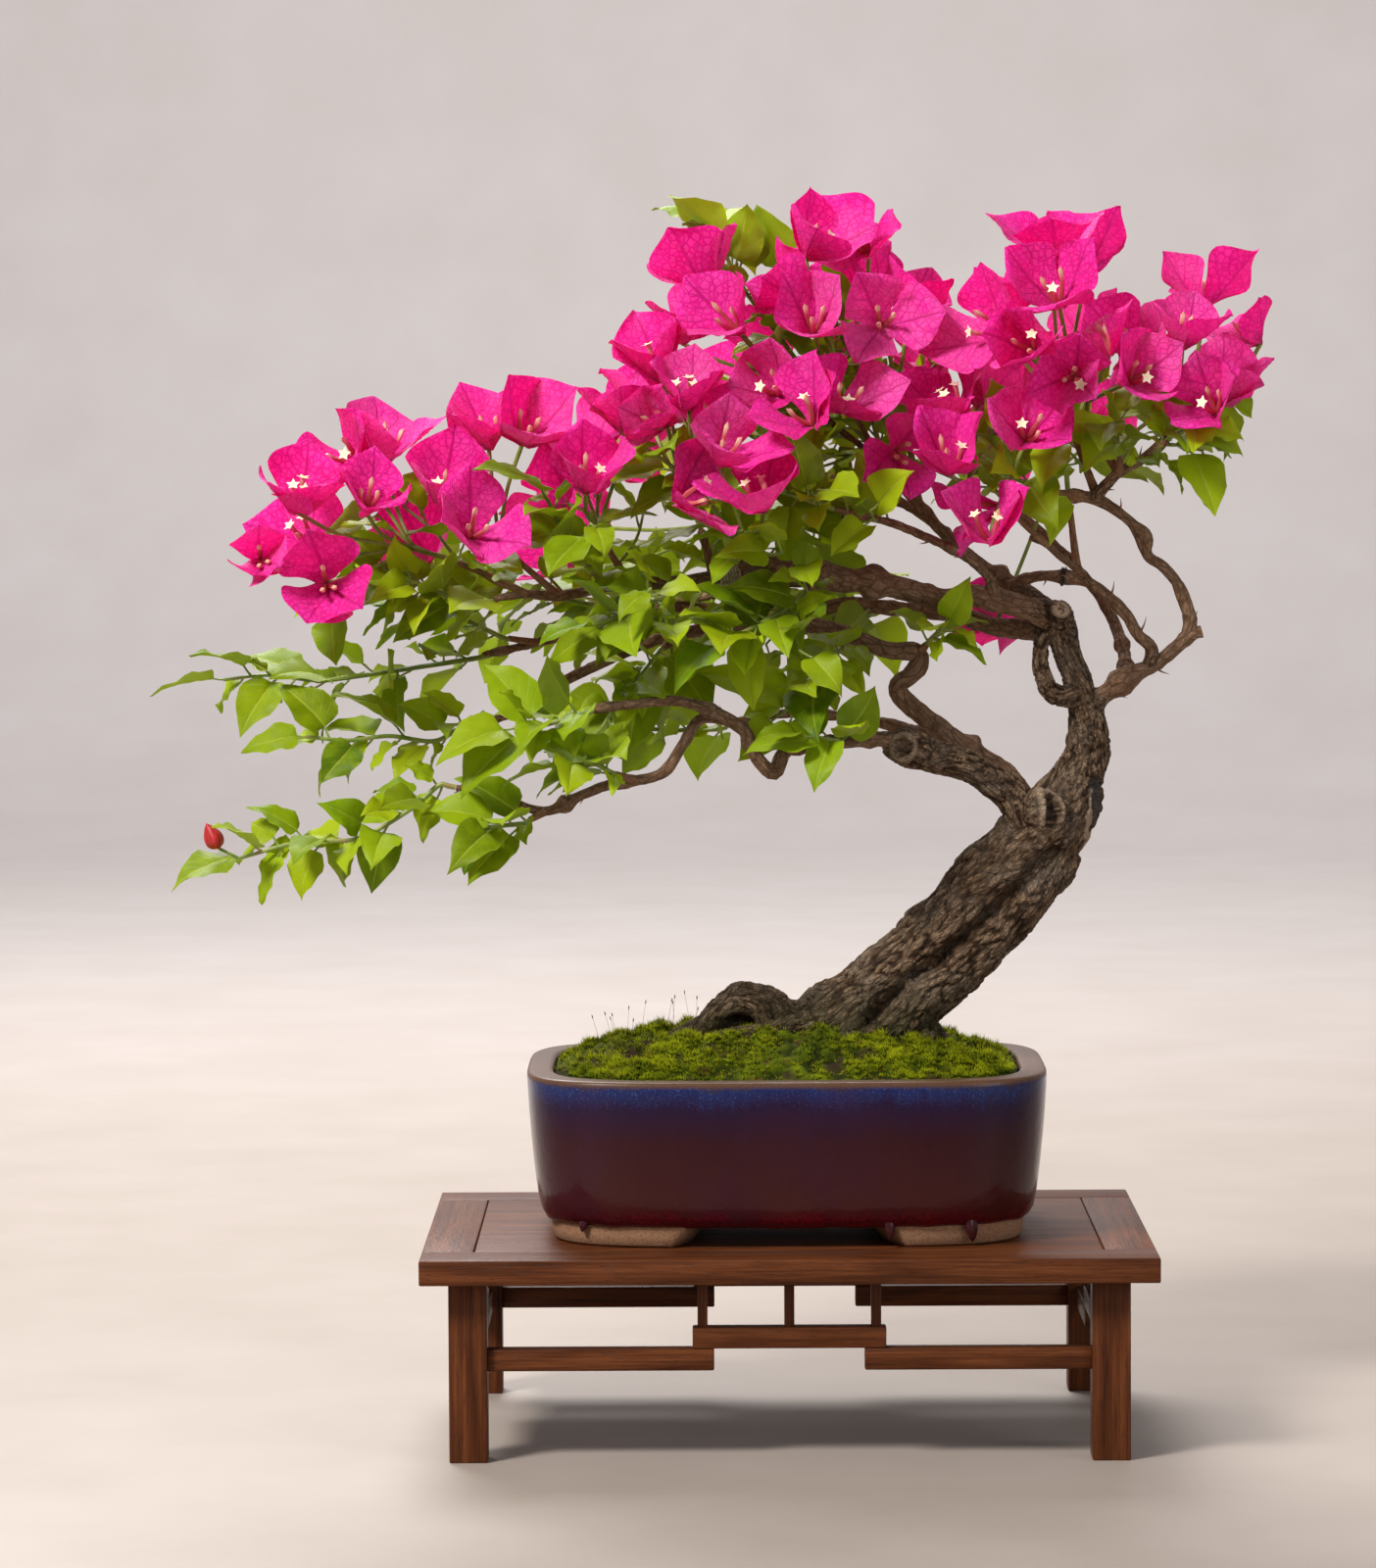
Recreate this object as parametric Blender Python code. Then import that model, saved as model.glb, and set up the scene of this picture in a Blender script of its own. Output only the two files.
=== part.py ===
# Bougainvillea bonsai: an old leaning trunk with a wide crown swept to the left, leafy shoots and
# papery magenta blooms, standing in a filled glazed pot on a low wooden display stand.
#
# All sizes are in millimetres round the pot's centre, with z = 0 on the table under the stand,
# +X to the viewer's right and +Y away from the viewer. Meshes are made in metres.

import math
import random

import bmesh
import bpy
from mathutils import Matrix, Vector, noise
from mathutils.bvhtree import BVHTree

MM = 0.001
GAP = 0.3  # left between pieces that touch

# The pot stands right of the middle of the whole spread, because the crown is swept to the left.
POT_X = 36.5
POT_Y = -6.5

# Display stand
STAND_LENGTH = 365.0
STAND_DEPTH = 250.0
STAND_HEIGHT = 103.0
TOP_THICKNESS = 12.5
LONG_BOARD_WIDTH = 31.0
END_BOARD_WIDTH = 26.0
LEG_SIZE = 19.0
LEG_OUTER_X = 168.7
LEG_OUTER_Y = 111.0
RAIL_INSET = 4.5
RAIL_THICKNESS = 10.0
LOWER_RAIL_Z = (45.0, 56.0)
BRIDGE_RAIL_Z = (56.0, 66.5)
BRIDGE_HALF = 48.0  # half the raised middle rail, on the long sides
LOWER_RAIL_GAP_HALF = 37.3
STRUT_OFFSET = 43.0
STRUT_WIDTH = 5.0

# Pot: a rounded rectangle, as a superellipse
POT_HALF_LENGTH = 131.75
POT_HALF_DEPTH = 97.0
POT_SQUARENESS = 4.3
POT_SEGMENTS = 28
RIM_Z = 187.0
LIP_WIDTH = 13.0
POT_UNDERSIDE_Z = 113.0
POT_FLOOR_Z = 122.0
WALL_THICKNESS = 8.0
LIP_DROP = 8.0  # the lip's inner side runs straight down this far before the wall turns out
FOOT_Z = STAND_HEIGHT + GAP
FOOT_SPREAD = 0.62  # half of the angle that a foot covers, seen from the pot's middle
FOOT_STEPS = 4
FOOT_END_SLOPE = 4.0
FOOT_INSET = (12.0, 34.0)
FOOT_ROOT = 4.0  # how far a foot is sunk into the pot's underside
DRAIN_X = 60.0
DRAIN_RADIUS = 9.0
# Outer wall: height and how far the outline stands inside the rim's outline
UNDERSIDE_INSET = 10.0
POT_PROFILE = [
    (POT_UNDERSIDE_Z, UNDERSIDE_INSET), (118.0, 6.2), (142.0, 3.1), (185.2, 0.0), (RIM_Z, 1.8),
]

# Soil and moss
SOIL_TOP_Z = 178.0
MOSS_EDGE_Z = 186.0
MOSS_RISE = 19.0
MOSS_LUMP = 2.6
MOSS_SHOULDER = 2.6  # the higher, the flatter the top of the moss and the steeper its edge
MOSS_RINGS = (0.84, 0.5)
MOSS_ROOM = 0.6  # between the moss and the pot's lip
SOIL_ROOM = 0.5  # between the soil and the pot's wall
ROOT_ROOM = 0.6  # round the roots, in the soil and the moss
MOSS_SEGMENTS = 20

# Wood: each limb is a list of (x, y, z, radius), and every limb starts inside the one it grows from.
LIMBS = {
    "trunk_left_lobe": [
        (-5, 5, 163, 27), (9, 5, 183, 27), (26, 4, 203, 25), (44, 2, 219, 21), (61, 1, 233, 19.5),
        (82, 0, 254, 19.5), (104, -1, 278, 19.5), (124, -2, 298, 19),
    ],
    "trunk_right_lobe": [
        (30, -5, 169, 18), (42, -6, 188, 18), (55, -7, 207, 16.5), (69, -7, 222, 15.5),
        (84, -6, 234, 15), (104, -5, 254, 15), (124, -4, 276, 15.5), (139, -3, 298, 15),
    ],
    "upper_trunk": [
        (114, -2, 285, 21), (130, -2, 301, 21.5), (143, -1, 318, 19), (150, 0, 332, 14.5),
        (155, 1, 348, 12), (153, 1, 366, 9.8), (150, 0, 378, 7.8), (144, -1, 395, 7.5),
        (141, -2, 406, 8), (139, -3, 416, 8),
    ],
    "cut_stub": [
        (138, -3, 409, 7), (139, -9, 414, 6.2), (140, -15, 418, 5.6),
    ],
    "hollow_stub": [
        (144, -8, 312, 8), (137, -17, 318, 6.5), (131, -24, 321, 5),
    ],
    "left_root": [
        (30, 6, 198, 17), (7, 4, 205, 13), (-13, 0, 204, 12.5), (-35, -5, 201, 12),
        (-55, -9, 196, 9.5), (-68, -12, 190, 5),
    ],
    "root_knob": [
        (6, 2, 204, 9), (-8, -4, 216, 9), (-22, -6, 220, 8.5), (-34, -8, 214, 6.5), (-41, -8, 206, 5),
    ],
    "rootlet": [
        (-30, -10, 213, 3.2), (-39, -13, 215, 2.2), (-44, -14, 210, 1.6), (-46, -14, 204, 1.2),
    ],
    "front_root": [
        (39, -8, 204, 13), (33, -28, 199, 9), (30, -42, 192, 5.5), (28, -50, 187, 3),
    ],
    "right_root": [
        (62, 0, 204, 13), (75, 6, 195, 9), (84, 14, 187, 6), (88, 20, 181, 3),
    ],
    "back_root": [
        (35, 10, 202, 15), (29, 34, 195, 10), (20, 52, 187, 6), (14, 62, 179, 3),
    ],
    "lower_limb": [
        (133, -6, 293, 11), (116, -13, 321, 9), (102, -19, 334, 8.3), (88, -25, 341, 8),
        (73, -31, 345, 8.5), (64, -35, 349, 10.5), (55, -38, 353, 7.5),
    ],
    "lower_branch": [
        (62, -36, 350, 5.5), (52, -42, 354, 4), (40, -46, 354, 3.5), (25, -50, 353, 3.3),
        (6, -54, 351, 3.3), (-1, -56, 348, 3.6), (-6, -57, 339, 4), (-13, -58, 344, 3.5),
        (-18, -59, 352, 3.2), (-21, -60, 360, 3), (-33, -62, 368, 2.8), (-53, -66, 375, 2.6),
        (-75, -70, 374, 2.3), (-93, -73, 372, 2),
    ],
    "low_left_branch": [
        (-20, -60, 360, 3), (-30, -56, 365, 2.8), (-43, -54, 365, 2.8), (-52, -56, 352, 2.8),
        (-63, -58, 338, 2.7), (-88, -60, 333, 2.6), (-102, -60, 328, 2.5), (-121, -60, 320, 2.4),
        (-143, -60, 327, 2), (-163, -60, 332, 1.8),
    ],
    "middle_branch": [
        (132, 0, 300, 7.5), (115, 3, 330, 6.2), (100, 3, 341, 5.8), (88, 0, 350, 5.6),
        (71, -4, 363, 5.2), (59, -8, 374, 4.8), (58, -10, 380, 4.7), (64, -12, 385, 4.6),
        (68, -14, 390, 4.5), (68, -14, 396, 4.4), (60, -14, 397, 4.2), (50, -12, 398, 4.2),
        (33, -8, 405, 4), (12, -4, 411, 3.9), (-6, 0, 410, 3.7), (-23, 3, 409, 3.5),
        (-38, 4, 408, 3.3), (-64, 5, 403, 3.1), (-89, 4, 393, 2.8), (-116, 0, 380, 2.5),
        (-132, -6, 369, 2.2), (-150, -12, 362, 1.8),
    ],
    "top_branch": [
        (139, -4, 413, 7), (121, -8, 419, 6), (106, -11, 423, 5.6), (94, -13, 425, 5.6),
        (81, -16, 423, 5.8), (71, -18, 426, 5.6), (56, -22, 430, 5.5), (41, -26, 433, 5.8),
        (28, -29, 434, 6.4), (17, -31, 437, 7), (7, -33, 439, 5.8), (-6, -35, 441, 4.6),
        (-23, -38, 438, 3.8), (-48, -42, 434, 3.2), (-68, -45, 433, 3), (-88, -47, 432, 2.8),
        (-113, -48, 427, 2.5), (-129, -47, 428, 2.2), (-144, -46, 426, 1.8),
    ],
    "second_branch": [
        (141, 0, 405, 5), (131, 6, 406, 5.4), (120, 11, 407, 5), (106, 19, 408, 4.6), (93, 26, 413, 4.3),
        (76, 34, 415, 4), (53, 42, 417, 3.8), (34, 47, 419, 3.6), (15, 52, 415, 3.4),
        (-5, 56, 412, 3.2), (-28, 59, 415, 3), (-59, 61, 417, 2.8), (-87, 60, 411, 2.6),
        (-117, 56, 402, 2.4), (-137, 52, 397, 2), (-152, 48, 394, 1.8),
    ],
    "crown_branch": [
        (134, 2, 417, 5), (123, 8, 426, 4.4), (113, 13, 431, 4), (103, 17, 438, 3.6),
        (93, 20, 446, 3.3), (81, 22, 457, 3), (69, 22, 471, 2.7), (58, 20, 482, 2.4), (51, 18, 492, 2),
    ],
    "pale_twig": [
        (106, -12, 425, 3), (104, -16, 433, 2.5), (100, -19, 438, 2.4), (90, -24, 446, 2.3),
        (74, -30, 454, 2.2), (55, -37, 462, 2.1), (39, -42, 466, 1.9), (29, -45, 467, 1.7),
    ],
    "loop_branch": [
        (146, -5, 373, 7), (138, -10, 374, 6.6), (133, -13, 379, 6.2), (130, -13, 388, 5.4),
        (130, -10, 397, 5.2), (131, -5, 404, 5.4),
    ],
    "right_branch": [
        (154, 0, 366, 6), (160, -1, 372, 4.8), (167, -2, 377, 4.3), (177, -3, 384, 4),
        (188, -4, 389, 3.8), (198, -5, 397, 3.6), (206, -6, 404, 3.6), (212, -6, 406, 3.2),
    ],
    "right_riser": [
        (205, -6, 403, 3.4), (206, -6, 412, 3), (203, -7, 422, 2.9), (199, -8, 431, 2.8),
        (192, -10, 439, 2.8), (184, -12, 445, 2.7), (182, -13, 454, 2.6), (177, -14, 460, 2.6),
        (169, -15, 467, 2.7), (159, -16, 473, 3.2), (151, -17, 475, 2.9), (142, -18, 475, 2.4),
    ],
    "right_arm": [
        (157, -16, 474, 3.2), (162, -18, 480, 2.8), (169, -20, 487, 2.6), (180, -22, 493, 2.3),
        (189, -24, 499, 1.9),
    ],
    "return_branch": [
        (186, -4, 388, 3.4), (186, -8, 398, 3.1), (179, -12, 405, 3), (173, -15, 415, 2.9),
        (164, -17, 424, 2.8), (155, -18, 431, 2.7), (144, -17, 434, 2.7), (132, -14, 435, 2.6),
        (122, -6, 433, 2.5), (115, 6, 430, 2.4),
    ],
    "return_twig": [
        (155, -18, 431, 2.2), (149, -20, 438, 1.9), (140, -22, 444, 1.8), (132, -24, 451, 1.7),
        (124, -26, 455, 1.5),
    ],
    "back_left_branch": [
        (100, 22, 410, 4.2), (84, 50, 416, 3.7), (62, 74, 423, 3.3), (34, 90, 428, 2.9),
        (3, 99, 428, 2.5), (-28, 103, 423, 2.2), (-51, 104, 419, 1.8),
    ],
    "back_low_branch": [
        (105, 6, 336, 4.2), (87, 36, 346, 3.6), (61, 62, 354, 3.1), (31, 78, 359, 2.7),
        (0, 86, 360, 2.3), (-25, 88, 356, 1.8),
    ],
    "back_right_branch": [
        (174, 0, 382, 3.6), (174, 26, 397, 3.2), (167, 50, 417, 2.8), (153, 66, 436, 2.5),
        (136, 74, 454, 2.2), (121, 78, 467, 1.8),
    ],
    "back_crown_branch": [
        (93, 18, 445, 3), (81, 44, 458, 2.6), (61, 66, 471, 2.3), (37, 80, 480, 2), (16, 88, 487, 1.7),
    ],
}

# Leafy shoots: number of leaves, leaf size, and the route. The route's first point lies on a limb,
# the second is where the brown twig ends and the green shoot begins.
SPRAYS = {
    "low_left": (11, 0.9, [
        (-156, -60, 330), (-165, -60, 332), (-174, -60, 333), (-187, -61, 322), (-201, -62, 315),
        (-214, -62, 307), (-232, -61, 307), (-253, -60, 303), (-274, -60, 297),
    ]),
    "low_middle": (6, 1.0, [
        (-121, -60, 320), (-128, -66, 316), (-138, -72, 314), (-150, -76, 313),
    ]),
    "low_inner": (6, 1.05, [
        (-80, -60, 334), (-85, -70, 339), (-96, -80, 345), (-109, -86, 345),
    ]),
    "left_lower": (8, 0.95, [
        (-144, -10, 364), (-153, -14, 361), (-165, -18, 359), (-178, -22, 353), (-200, -26, 356),
        (-220, -28, 354), (-242, -30, 356),
    ]),
    "left_middle": (11, 1.0, [
        (-146, 50, 396), (-155, 46, 393), (-167, 40, 391), (-186, 30, 388), (-209, 20, 386),
        (-229, 10, 383), (-242, 4, 383), (-263, -4, 386), (-285, -8, 384),
    ]),
    "left_upper": (9, 1.0, [
        (-130, 54, 399), (-142, 46, 402), (-157, 36, 410), (-174, 24, 418), (-191, 14, 425),
        (-205, 6, 431), (-216, 0, 438),
    ]),
    "left_front": (7, 0.95, [
        (-139, -46, 427), (-146, -47, 425), (-158, -50, 424), (-171, -54, 428), (-182, -58, 433),
        (-192, -62, 437),
    ]),
    "left_rise": (8, 1.0, [
        (-88, -47, 432), (-96, -56, 439), (-104, -64, 450), (-112, -70, 463), (-118, -72, 476),
    ]),
    "green_shoot": (9, 0.95, [
        (-15, -36, 440), (-20, -44, 445), (-28, -56, 459), (-40, -66, 476), (-55, -72, 491),
        (-69, -76, 501),
    ]),
    "front_fall": (8, 1.1, [
        (-56, 4, 404), (-62, -16, 399), (-72, -34, 388), (-83, -46, 375), (-92, -52, 361),
    ]),
    "branch_tip": (7, 1.05, [
        (-87, -72, 372), (-96, -75, 371), (-108, -80, 368), (-122, -84, 364), (-135, -86, 363),
    ]),
    "under_top": (8, 1.1, [
        (17, -31, 436), (11, -42, 428), (-1, -54, 420), (-16, -64, 411), (-32, -72, 404),
    ]),
    "top_front": (8, 1.0, [
        (-50, -42, 434), (-58, -54, 428), (-69, -66, 423), (-81, -76, 418), (-96, -84, 414),
    ]),
    "inner_front": (7, 1.15, [
        (33, -8, 405), (28, -22, 399), (20, -34, 388), (10, -42, 378), (-1, -46, 368),
    ]),
    "lower_front": (6, 0.9, [
        (32, -48, 353), (26, -58, 354), (19, -64, 356), (11, -68, 357),
    ]),
    "knee": (4, 0.8, [
        (67, -14, 395), (72, -20, 401), (77, -24, 407), (80, -28, 410),
    ]),
    "pale_shoot": (8, 1.1, [
        (35, -44, 467), (25, -50, 470), (12, -58, 474), (-2, -66, 479), (-15, -74, 481),
    ]),
    "crown_rise": (8, 1.0, [
        (54, 19, 487), (50, 16, 497), (46, 10, 512), (41, 4, 529), (34, 0, 548), (25, -4, 563),
    ]),
    "top_tip": (9, 0.9, [
        (58, 20, 482), (43, 24, 502), (20, 24, 528), (-2, 20, 557), (-18, 14, 578), (-27, 8, 593),
        (-30, 4, 603),
    ]),
    "right_inner": (8, 0.95, [
        (149, -17, 475), (138, -22, 477), (126, -28, 481), (113, -34, 486), (102, -38, 494),
    ]),
    "right_tip": (8, 0.9, [
        (186, -23, 497), (193, -26, 503), (199, -30, 506), (208, -34, 511),
    ]),
    "right_middle": (7, 0.95, [
        (169, -20, 487), (169, -30, 496), (165, -38, 505), (159, -42, 511),
    ]),
    "back_left": (8, 1.05, [
        (-45, 104, 420), (-55, 104, 419), (-74, 100, 417), (-96, 94, 417), (-118, 88, 421),
        (-138, 82, 426),
    ]),
    "back_low": (7, 1.05, [
        (-20, 88, 357), (-29, 88, 354), (-45, 86, 352), (-65, 82, 352), (-87, 76, 354),
    ]),
    "back_middle": (7, 1.05, [
        (34, 90, 428), (27, 94, 438), (15, 94, 452), (-2, 92, 464), (-20, 86, 473),
    ]),
    "back_right": (7, 0.95, [
        (126, 76, 462), (118, 80, 470), (106, 82, 482), (95, 80, 496), (85, 74, 512),
    ]),
    "back_crown": (7, 1.0, [
        (20, 87, 486), (12, 90, 490), (-4, 92, 499), (-22, 88, 508), (-43, 80, 512),
    ]),
}

# Bloom clusters: the twig's route, which ends in a fork, and the middle of each bloom.
BLOOM_CLUSTERS = {
    "far_left": ([
        (-129, -47, 428), (-163, -52, 444), (-188, -58, 452),
    ], [
        (-197, -34, 510), (-223, -52, 504), (-237, -74, 484), (-207, -86, 480), (-245, -52, 462),
        (-254, -78, 445), (-231, -92, 441),
    ]),
    "left": ([
        (-113, -48, 427), (-134, -42, 445), (-145, -44, 457),
    ], [
        (-170, -62, 486), (-151, -92, 467), (-149, -46, 515), (-126, -70, 514), (-185, -20, 457),
    ]),
    "left_middle": ([
        (-80, -46, 433), (-89, -34, 451), (-94, -36, 464),
    ], [
        (-104, -30, 510), (-82, -56, 515), (-98, -92, 491), (-120, -26, 484),
    ]),
    "middle_left": ([
        (-31, -39, 437), (-42, -30, 459), (-50, -30, 479),
    ], [
        (-66, -40, 547), (-50, -70, 533), (-75, -16, 527), (-69, -88, 509), (-33, -40, 519),
    ]),
    "middle_front": ([
        (-6, -35, 441), (-15, -52, 452), (-22, -66, 460),
    ], [
        (-14, -98, 484), (-46, -95, 478), (-27, -94, 504), (-33, -102, 456),
    ]),
    "top_left": ([
        (43, 24, 502), (10, -4, 524), (-6, -16, 539),
    ], [
        (-44, -20, 594), (-55, -4, 573), (-32, -46, 567), (-12, -62, 535), (4, -92, 524),
    ]),
    "top": ([
        (51, 18, 492), (35, -8, 519), (27, -18, 543),
    ], [
        (20, -30, 609), (38, -12, 603), (2, -34, 586), (15, -62, 569), (33, -66, 526),
    ]),
    "top_dark": ([
        (69, 22, 471), (63, 4, 508), (56, 0, 534),
    ], [
        (66, -20, 577), (48, -50, 567), (40, 22, 586), (76, 14, 549),
    ]),
    "centre_right": ([
        (90, -24, 446), (92, -26, 468), (93, -28, 484),
    ], [
        (82, -36, 530), (104, -14, 531), (82, -74, 502), (61, -60, 494),
    ]),
    "hanging": ([
        (128, -25, 453), (117, -44, 465), (110, -58, 480),
    ], [
        (99, -84, 467), (122, -62, 510), (90, -40, 469),
    ]),
    "right_top": ([
        (159, -16, 473), (148, -4, 504), (141, -2, 529),
    ], [
        (134, -10, 609), (133, -40, 584), (113, -14, 575), (103, -50, 556), (118, -84, 555),
        (150, 26, 604),
    ]),
    "right_stalk": ([
        (169, -20, 487), (155, -10, 509), (154, -14, 525),
    ], [
        (149, -42, 563), (173, -12, 559), (177, -50, 540), (145, -70, 535),
    ]),
    "far_right": ([
        (180, -22, 493), (199, -10, 511), (207, -8, 524),
    ], [
        (213, -6, 585), (202, -40, 563), (226, 16, 570), (208, -46, 528), (224, -14, 533),
    ]),
    "back_left": ([
        (3, 99, 428), (-15, 86, 448), (-30, 80, 462),
    ], [
        (-103, 92, 466), (-72, 98, 492), (-36, 104, 488), (-122, 66, 447), (-56, 60, 528),
    ]),
    "back_top": ([
        (37, 80, 480), (31, 62, 508), (26, 56, 528),
    ], [
        (0, 60, 564), (32, 52, 573), (-20, 88, 538), (32, 104, 528), (67, 92, 528),
    ]),
    "back_right": ([
        (153, 66, 436), (148, 60, 477), (146, 54, 503),
    ], [
        (122, 56, 538), (158, 66, 559), (119, 104, 507), (165, 92, 513), (193, 50, 528),
        (106, 40, 413),
    ]),
}

# Blades: lengths and widths, and the powers that shape each outline
LEAF_LENGTH = (27.0, 40.0)
LEAF_WIDTH = (0.62, 0.76)  # of the leaf's length
LEAF_PROFILE = (0.55, 1.1)
BRACT_LENGTH = (35.0, 42.0)
BRACT_WIDTH = (0.84, 0.96)
BRACT_PROFILE = (0.6, 0.72)
BRACT_ROOM = 1.0
FLOWER_LENGTH = 0.45  # of its bracts' length
FLOWER_RADIUS = (0.7, 2.8)
RIB_THICKNESS = 1.3
RIM_STEPS = (0.26, 0.64)
MID_STEP = 0.42
CLEARANCE = 1.4
PETIOLE_RADIUS = 0.9
STALK_RADIUS = 1.0
TWIG_RADIUS = (2.4, 1.5)  # at a twig's start and end
SHOOT_RADIUS = 1.4
SHOOT_TAPER = 0.6
TWIG_SLACK = 2.0  # how far a straightened twig or shoot may stray from its smooth route
SHOOT_SLACK = 1.3
LEAF_TURN = 2.4  # from each leaf to the next round its shoot, in radians
LEAF_TRIES = 26
BLOOM_TRIES = 60
CROWN_REACH = (252.0, -126.4, 633.0)  # no bract goes further right, forward or up

# The closed red bud on the lowest shoot: its tip, and half its width
BUD_BASE = (-284.0, -60.0, 302.0)
BUD_TIP = (-290.0, -62.0, 315.0)
BUD_RADIUS = 5.2

COLOURS = {
    "wood": ((0.20, 0.13, 0.085), 0.85),
    "leaf": ((0.13, 0.30, 0.02), 0.45),
    "bract": ((0.80, 0.02, 0.26), 0.6),
    "glaze": ((0.05, 0.035, 0.16), 0.12),
    "soil": ((0.045, 0.03, 0.02), 0.95),
    "moss": ((0.14, 0.22, 0.02), 0.95),
    "walnut": ((0.24, 0.11, 0.045), 0.4),
}


# Scene and materials

def clear_scene():
    for obj in list(bpy.data.objects):
        bpy.data.objects.remove(obj, do_unlink=True)


def make_material(name):
    colour, roughness = COLOURS[name]
    material = bpy.data.materials.new(name)
    material.use_nodes = True
    shader = material.node_tree.nodes["Principled BSDF"]
    shader.inputs["Base Color"].default_value = (*colour, 1.0)
    shader.inputs["Roughness"].default_value = roughness
    shader.inputs["Metallic"].default_value = 0.0
    material.diffuse_color = (*colour, 1.0)
    return material


# Solids are pairs of (points in mm, faces) until they become objects.

def add_object(name, solid, material, collection=None):
    points, faces = solid
    mesh = bpy.data.meshes.new(name)
    mesh.from_pydata([Vector(p) * MM for p in points], [], faces)
    shape = bmesh.new()
    shape.from_mesh(mesh)
    bmesh.ops.recalc_face_normals(shape, faces=shape.faces)
    shape.to_mesh(mesh)
    shape.free()
    mesh.materials.append(material)
    obj = bpy.data.objects.new(name, mesh)
    (collection or bpy.context.scene.collection).objects.link(obj)
    return obj


def combine(name, first, others, material, operation="UNION"):
    """One solid from the first, joined with (or cut by) the others."""
    pieces = bpy.data.collections.new(name + "_pieces")
    bpy.context.scene.collection.children.link(pieces)
    base = add_object(name, first, material)
    for number, solid in enumerate(others):
        add_object(f"{name}_{number}", solid, material, pieces)
    join = base.modifiers.new("combine", "BOOLEAN")
    join.operation = operation
    join.operand_type = "COLLECTION"
    join.collection = pieces
    join.solver = "MANIFOLD"
    bpy.context.view_layer.update()
    joined = bpy.data.meshes.new_from_object(base.evaluated_get(bpy.context.evaluated_depsgraph_get()))
    base.modifiers.clear()
    base.data = joined
    for obj in list(pieces.objects):
        bpy.data.objects.remove(obj, do_unlink=True)
    bpy.data.collections.remove(pieces)
    return base


def as_solid(obj):
    return [v.co / MM for v in obj.data.vertices], [list(p.vertices) for p in obj.data.polygons]


def smooth_rounds(obj):
    obj.data.shade_smooth()
    obj.data.set_sharp_from_angle(angle=math.radians(40))


# Routes and tubes

def smooth_route(points, spacing):
    """Points on a smooth curve through the given ones, which all stay on it."""
    knots = [Vector(p) for p in points]
    knots = [2 * knots[0] - knots[1]] + knots + [2 * knots[-1] - knots[-2]]
    route = []
    for before, start, end, after in zip(knots, knots[1:], knots[2:], knots[3:]):
        steps = max(1, round((end - start).length / spacing))
        for step in range(steps):
            t = step / steps
            route.append(0.5 * (
                2 * start
                + (end - before) * t
                + (2 * before - 5 * start + 4 * end - after) * t ** 2
                + (3 * start - before - 3 * end + after) * t ** 3
            ))
    route.append(knots[-2])
    return route


def straightened(route, slack):
    """The fewest points of a route that stay within some slack of its own line."""
    start, end = Vector(route[0][:3]), Vector(route[-1][:3])
    line = end - start
    worst, index = 0.0, 0
    for number in range(1, len(route) - 1):
        place = Vector(route[number][:3]) - start
        share = max(0.0, min(1.0, place.dot(line) / line.length_squared))
        taper = route[0][3] + (route[-1][3] - route[0][3]) * share
        off = (place - line * share).length + abs(route[number][3] - taper)
        if off > worst:
            worst, index = off, number
    if worst <= slack:
        return [route[0], route[-1]]
    return straightened(route[:index + 1], slack)[:-1] + straightened(route[index:], slack)


def tangents(centres):
    result = []
    for index in range(len(centres)):
        ahead = centres[min(index + 1, len(centres) - 1)]
        behind = centres[max(index - 1, 0)]
        result.append((ahead - behind).normalized())
    return result


def tube(route, sides, phase=0.0, knobbly=0.0, swell=0.0):
    """A closed tube along (x, y, z, radius) points, with rings turned as little as possible."""
    centres = [Vector(p[:3]) for p in route]
    directions = tangents(centres)
    side = directions[0].orthogonal().normalized()
    points = []
    faces = []
    for ring, (centre, direction, place) in enumerate(zip(centres, directions, route)):
        side = (side - direction * side.dot(direction)).normalized()
        other = direction.cross(side)
        for corner in range(sides):
            angle = phase + 2 * math.pi * corner / sides
            spoke = side * math.cos(angle) + other * math.sin(angle)
            bump = 1.0
            if knobbly:
                bump += knobbly * noise.noise((centre + spoke * place[3]) / 14)
            points.append(centre + spoke * (place[3] * bump + swell))
        if ring:
            low = (ring - 1) * sides
            for corner in range(sides):
                after = (corner + 1) % sides
                faces.append([low + corner, low + after, low + sides + after])
                faces.append([low + corner, low + sides + after, low + sides + corner])
    faces.append(list(range(sides))[::-1])
    last = (len(route) - 1) * sides
    faces.append(list(range(last, last + sides)))
    return points, faces


def stem_from_point(route, phase=0.0):
    """A three-sided stem that grows from a point and is left open at its far end."""
    points, faces = tube(route[1:], 3, phase)
    faces = faces[:-2]
    points.append(Vector(route[0][:3]))
    root = len(points) - 1
    faces += [[root, (corner + 1) % 3, corner] for corner in range(3)]
    return points, faces, [len(points) - 4, len(points) - 3, len(points) - 2]


def nearest_on_limbs(limbs, place):
    """The point on any limb's middle line that lies nearest to a place, with its radius."""
    return min(
        (p for route in limbs.values() for p in route),
        key=lambda p: (Vector(p[:3]) - Vector(place)).length,
    )


# Leaf and bract blades

def profile(t, shape):
    rise, fall = shape
    peak = rise / (rise + fall)
    widest = peak ** rise * (1 - peak) ** fall
    return t ** rise * (1 - t) ** fall / widest


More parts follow.
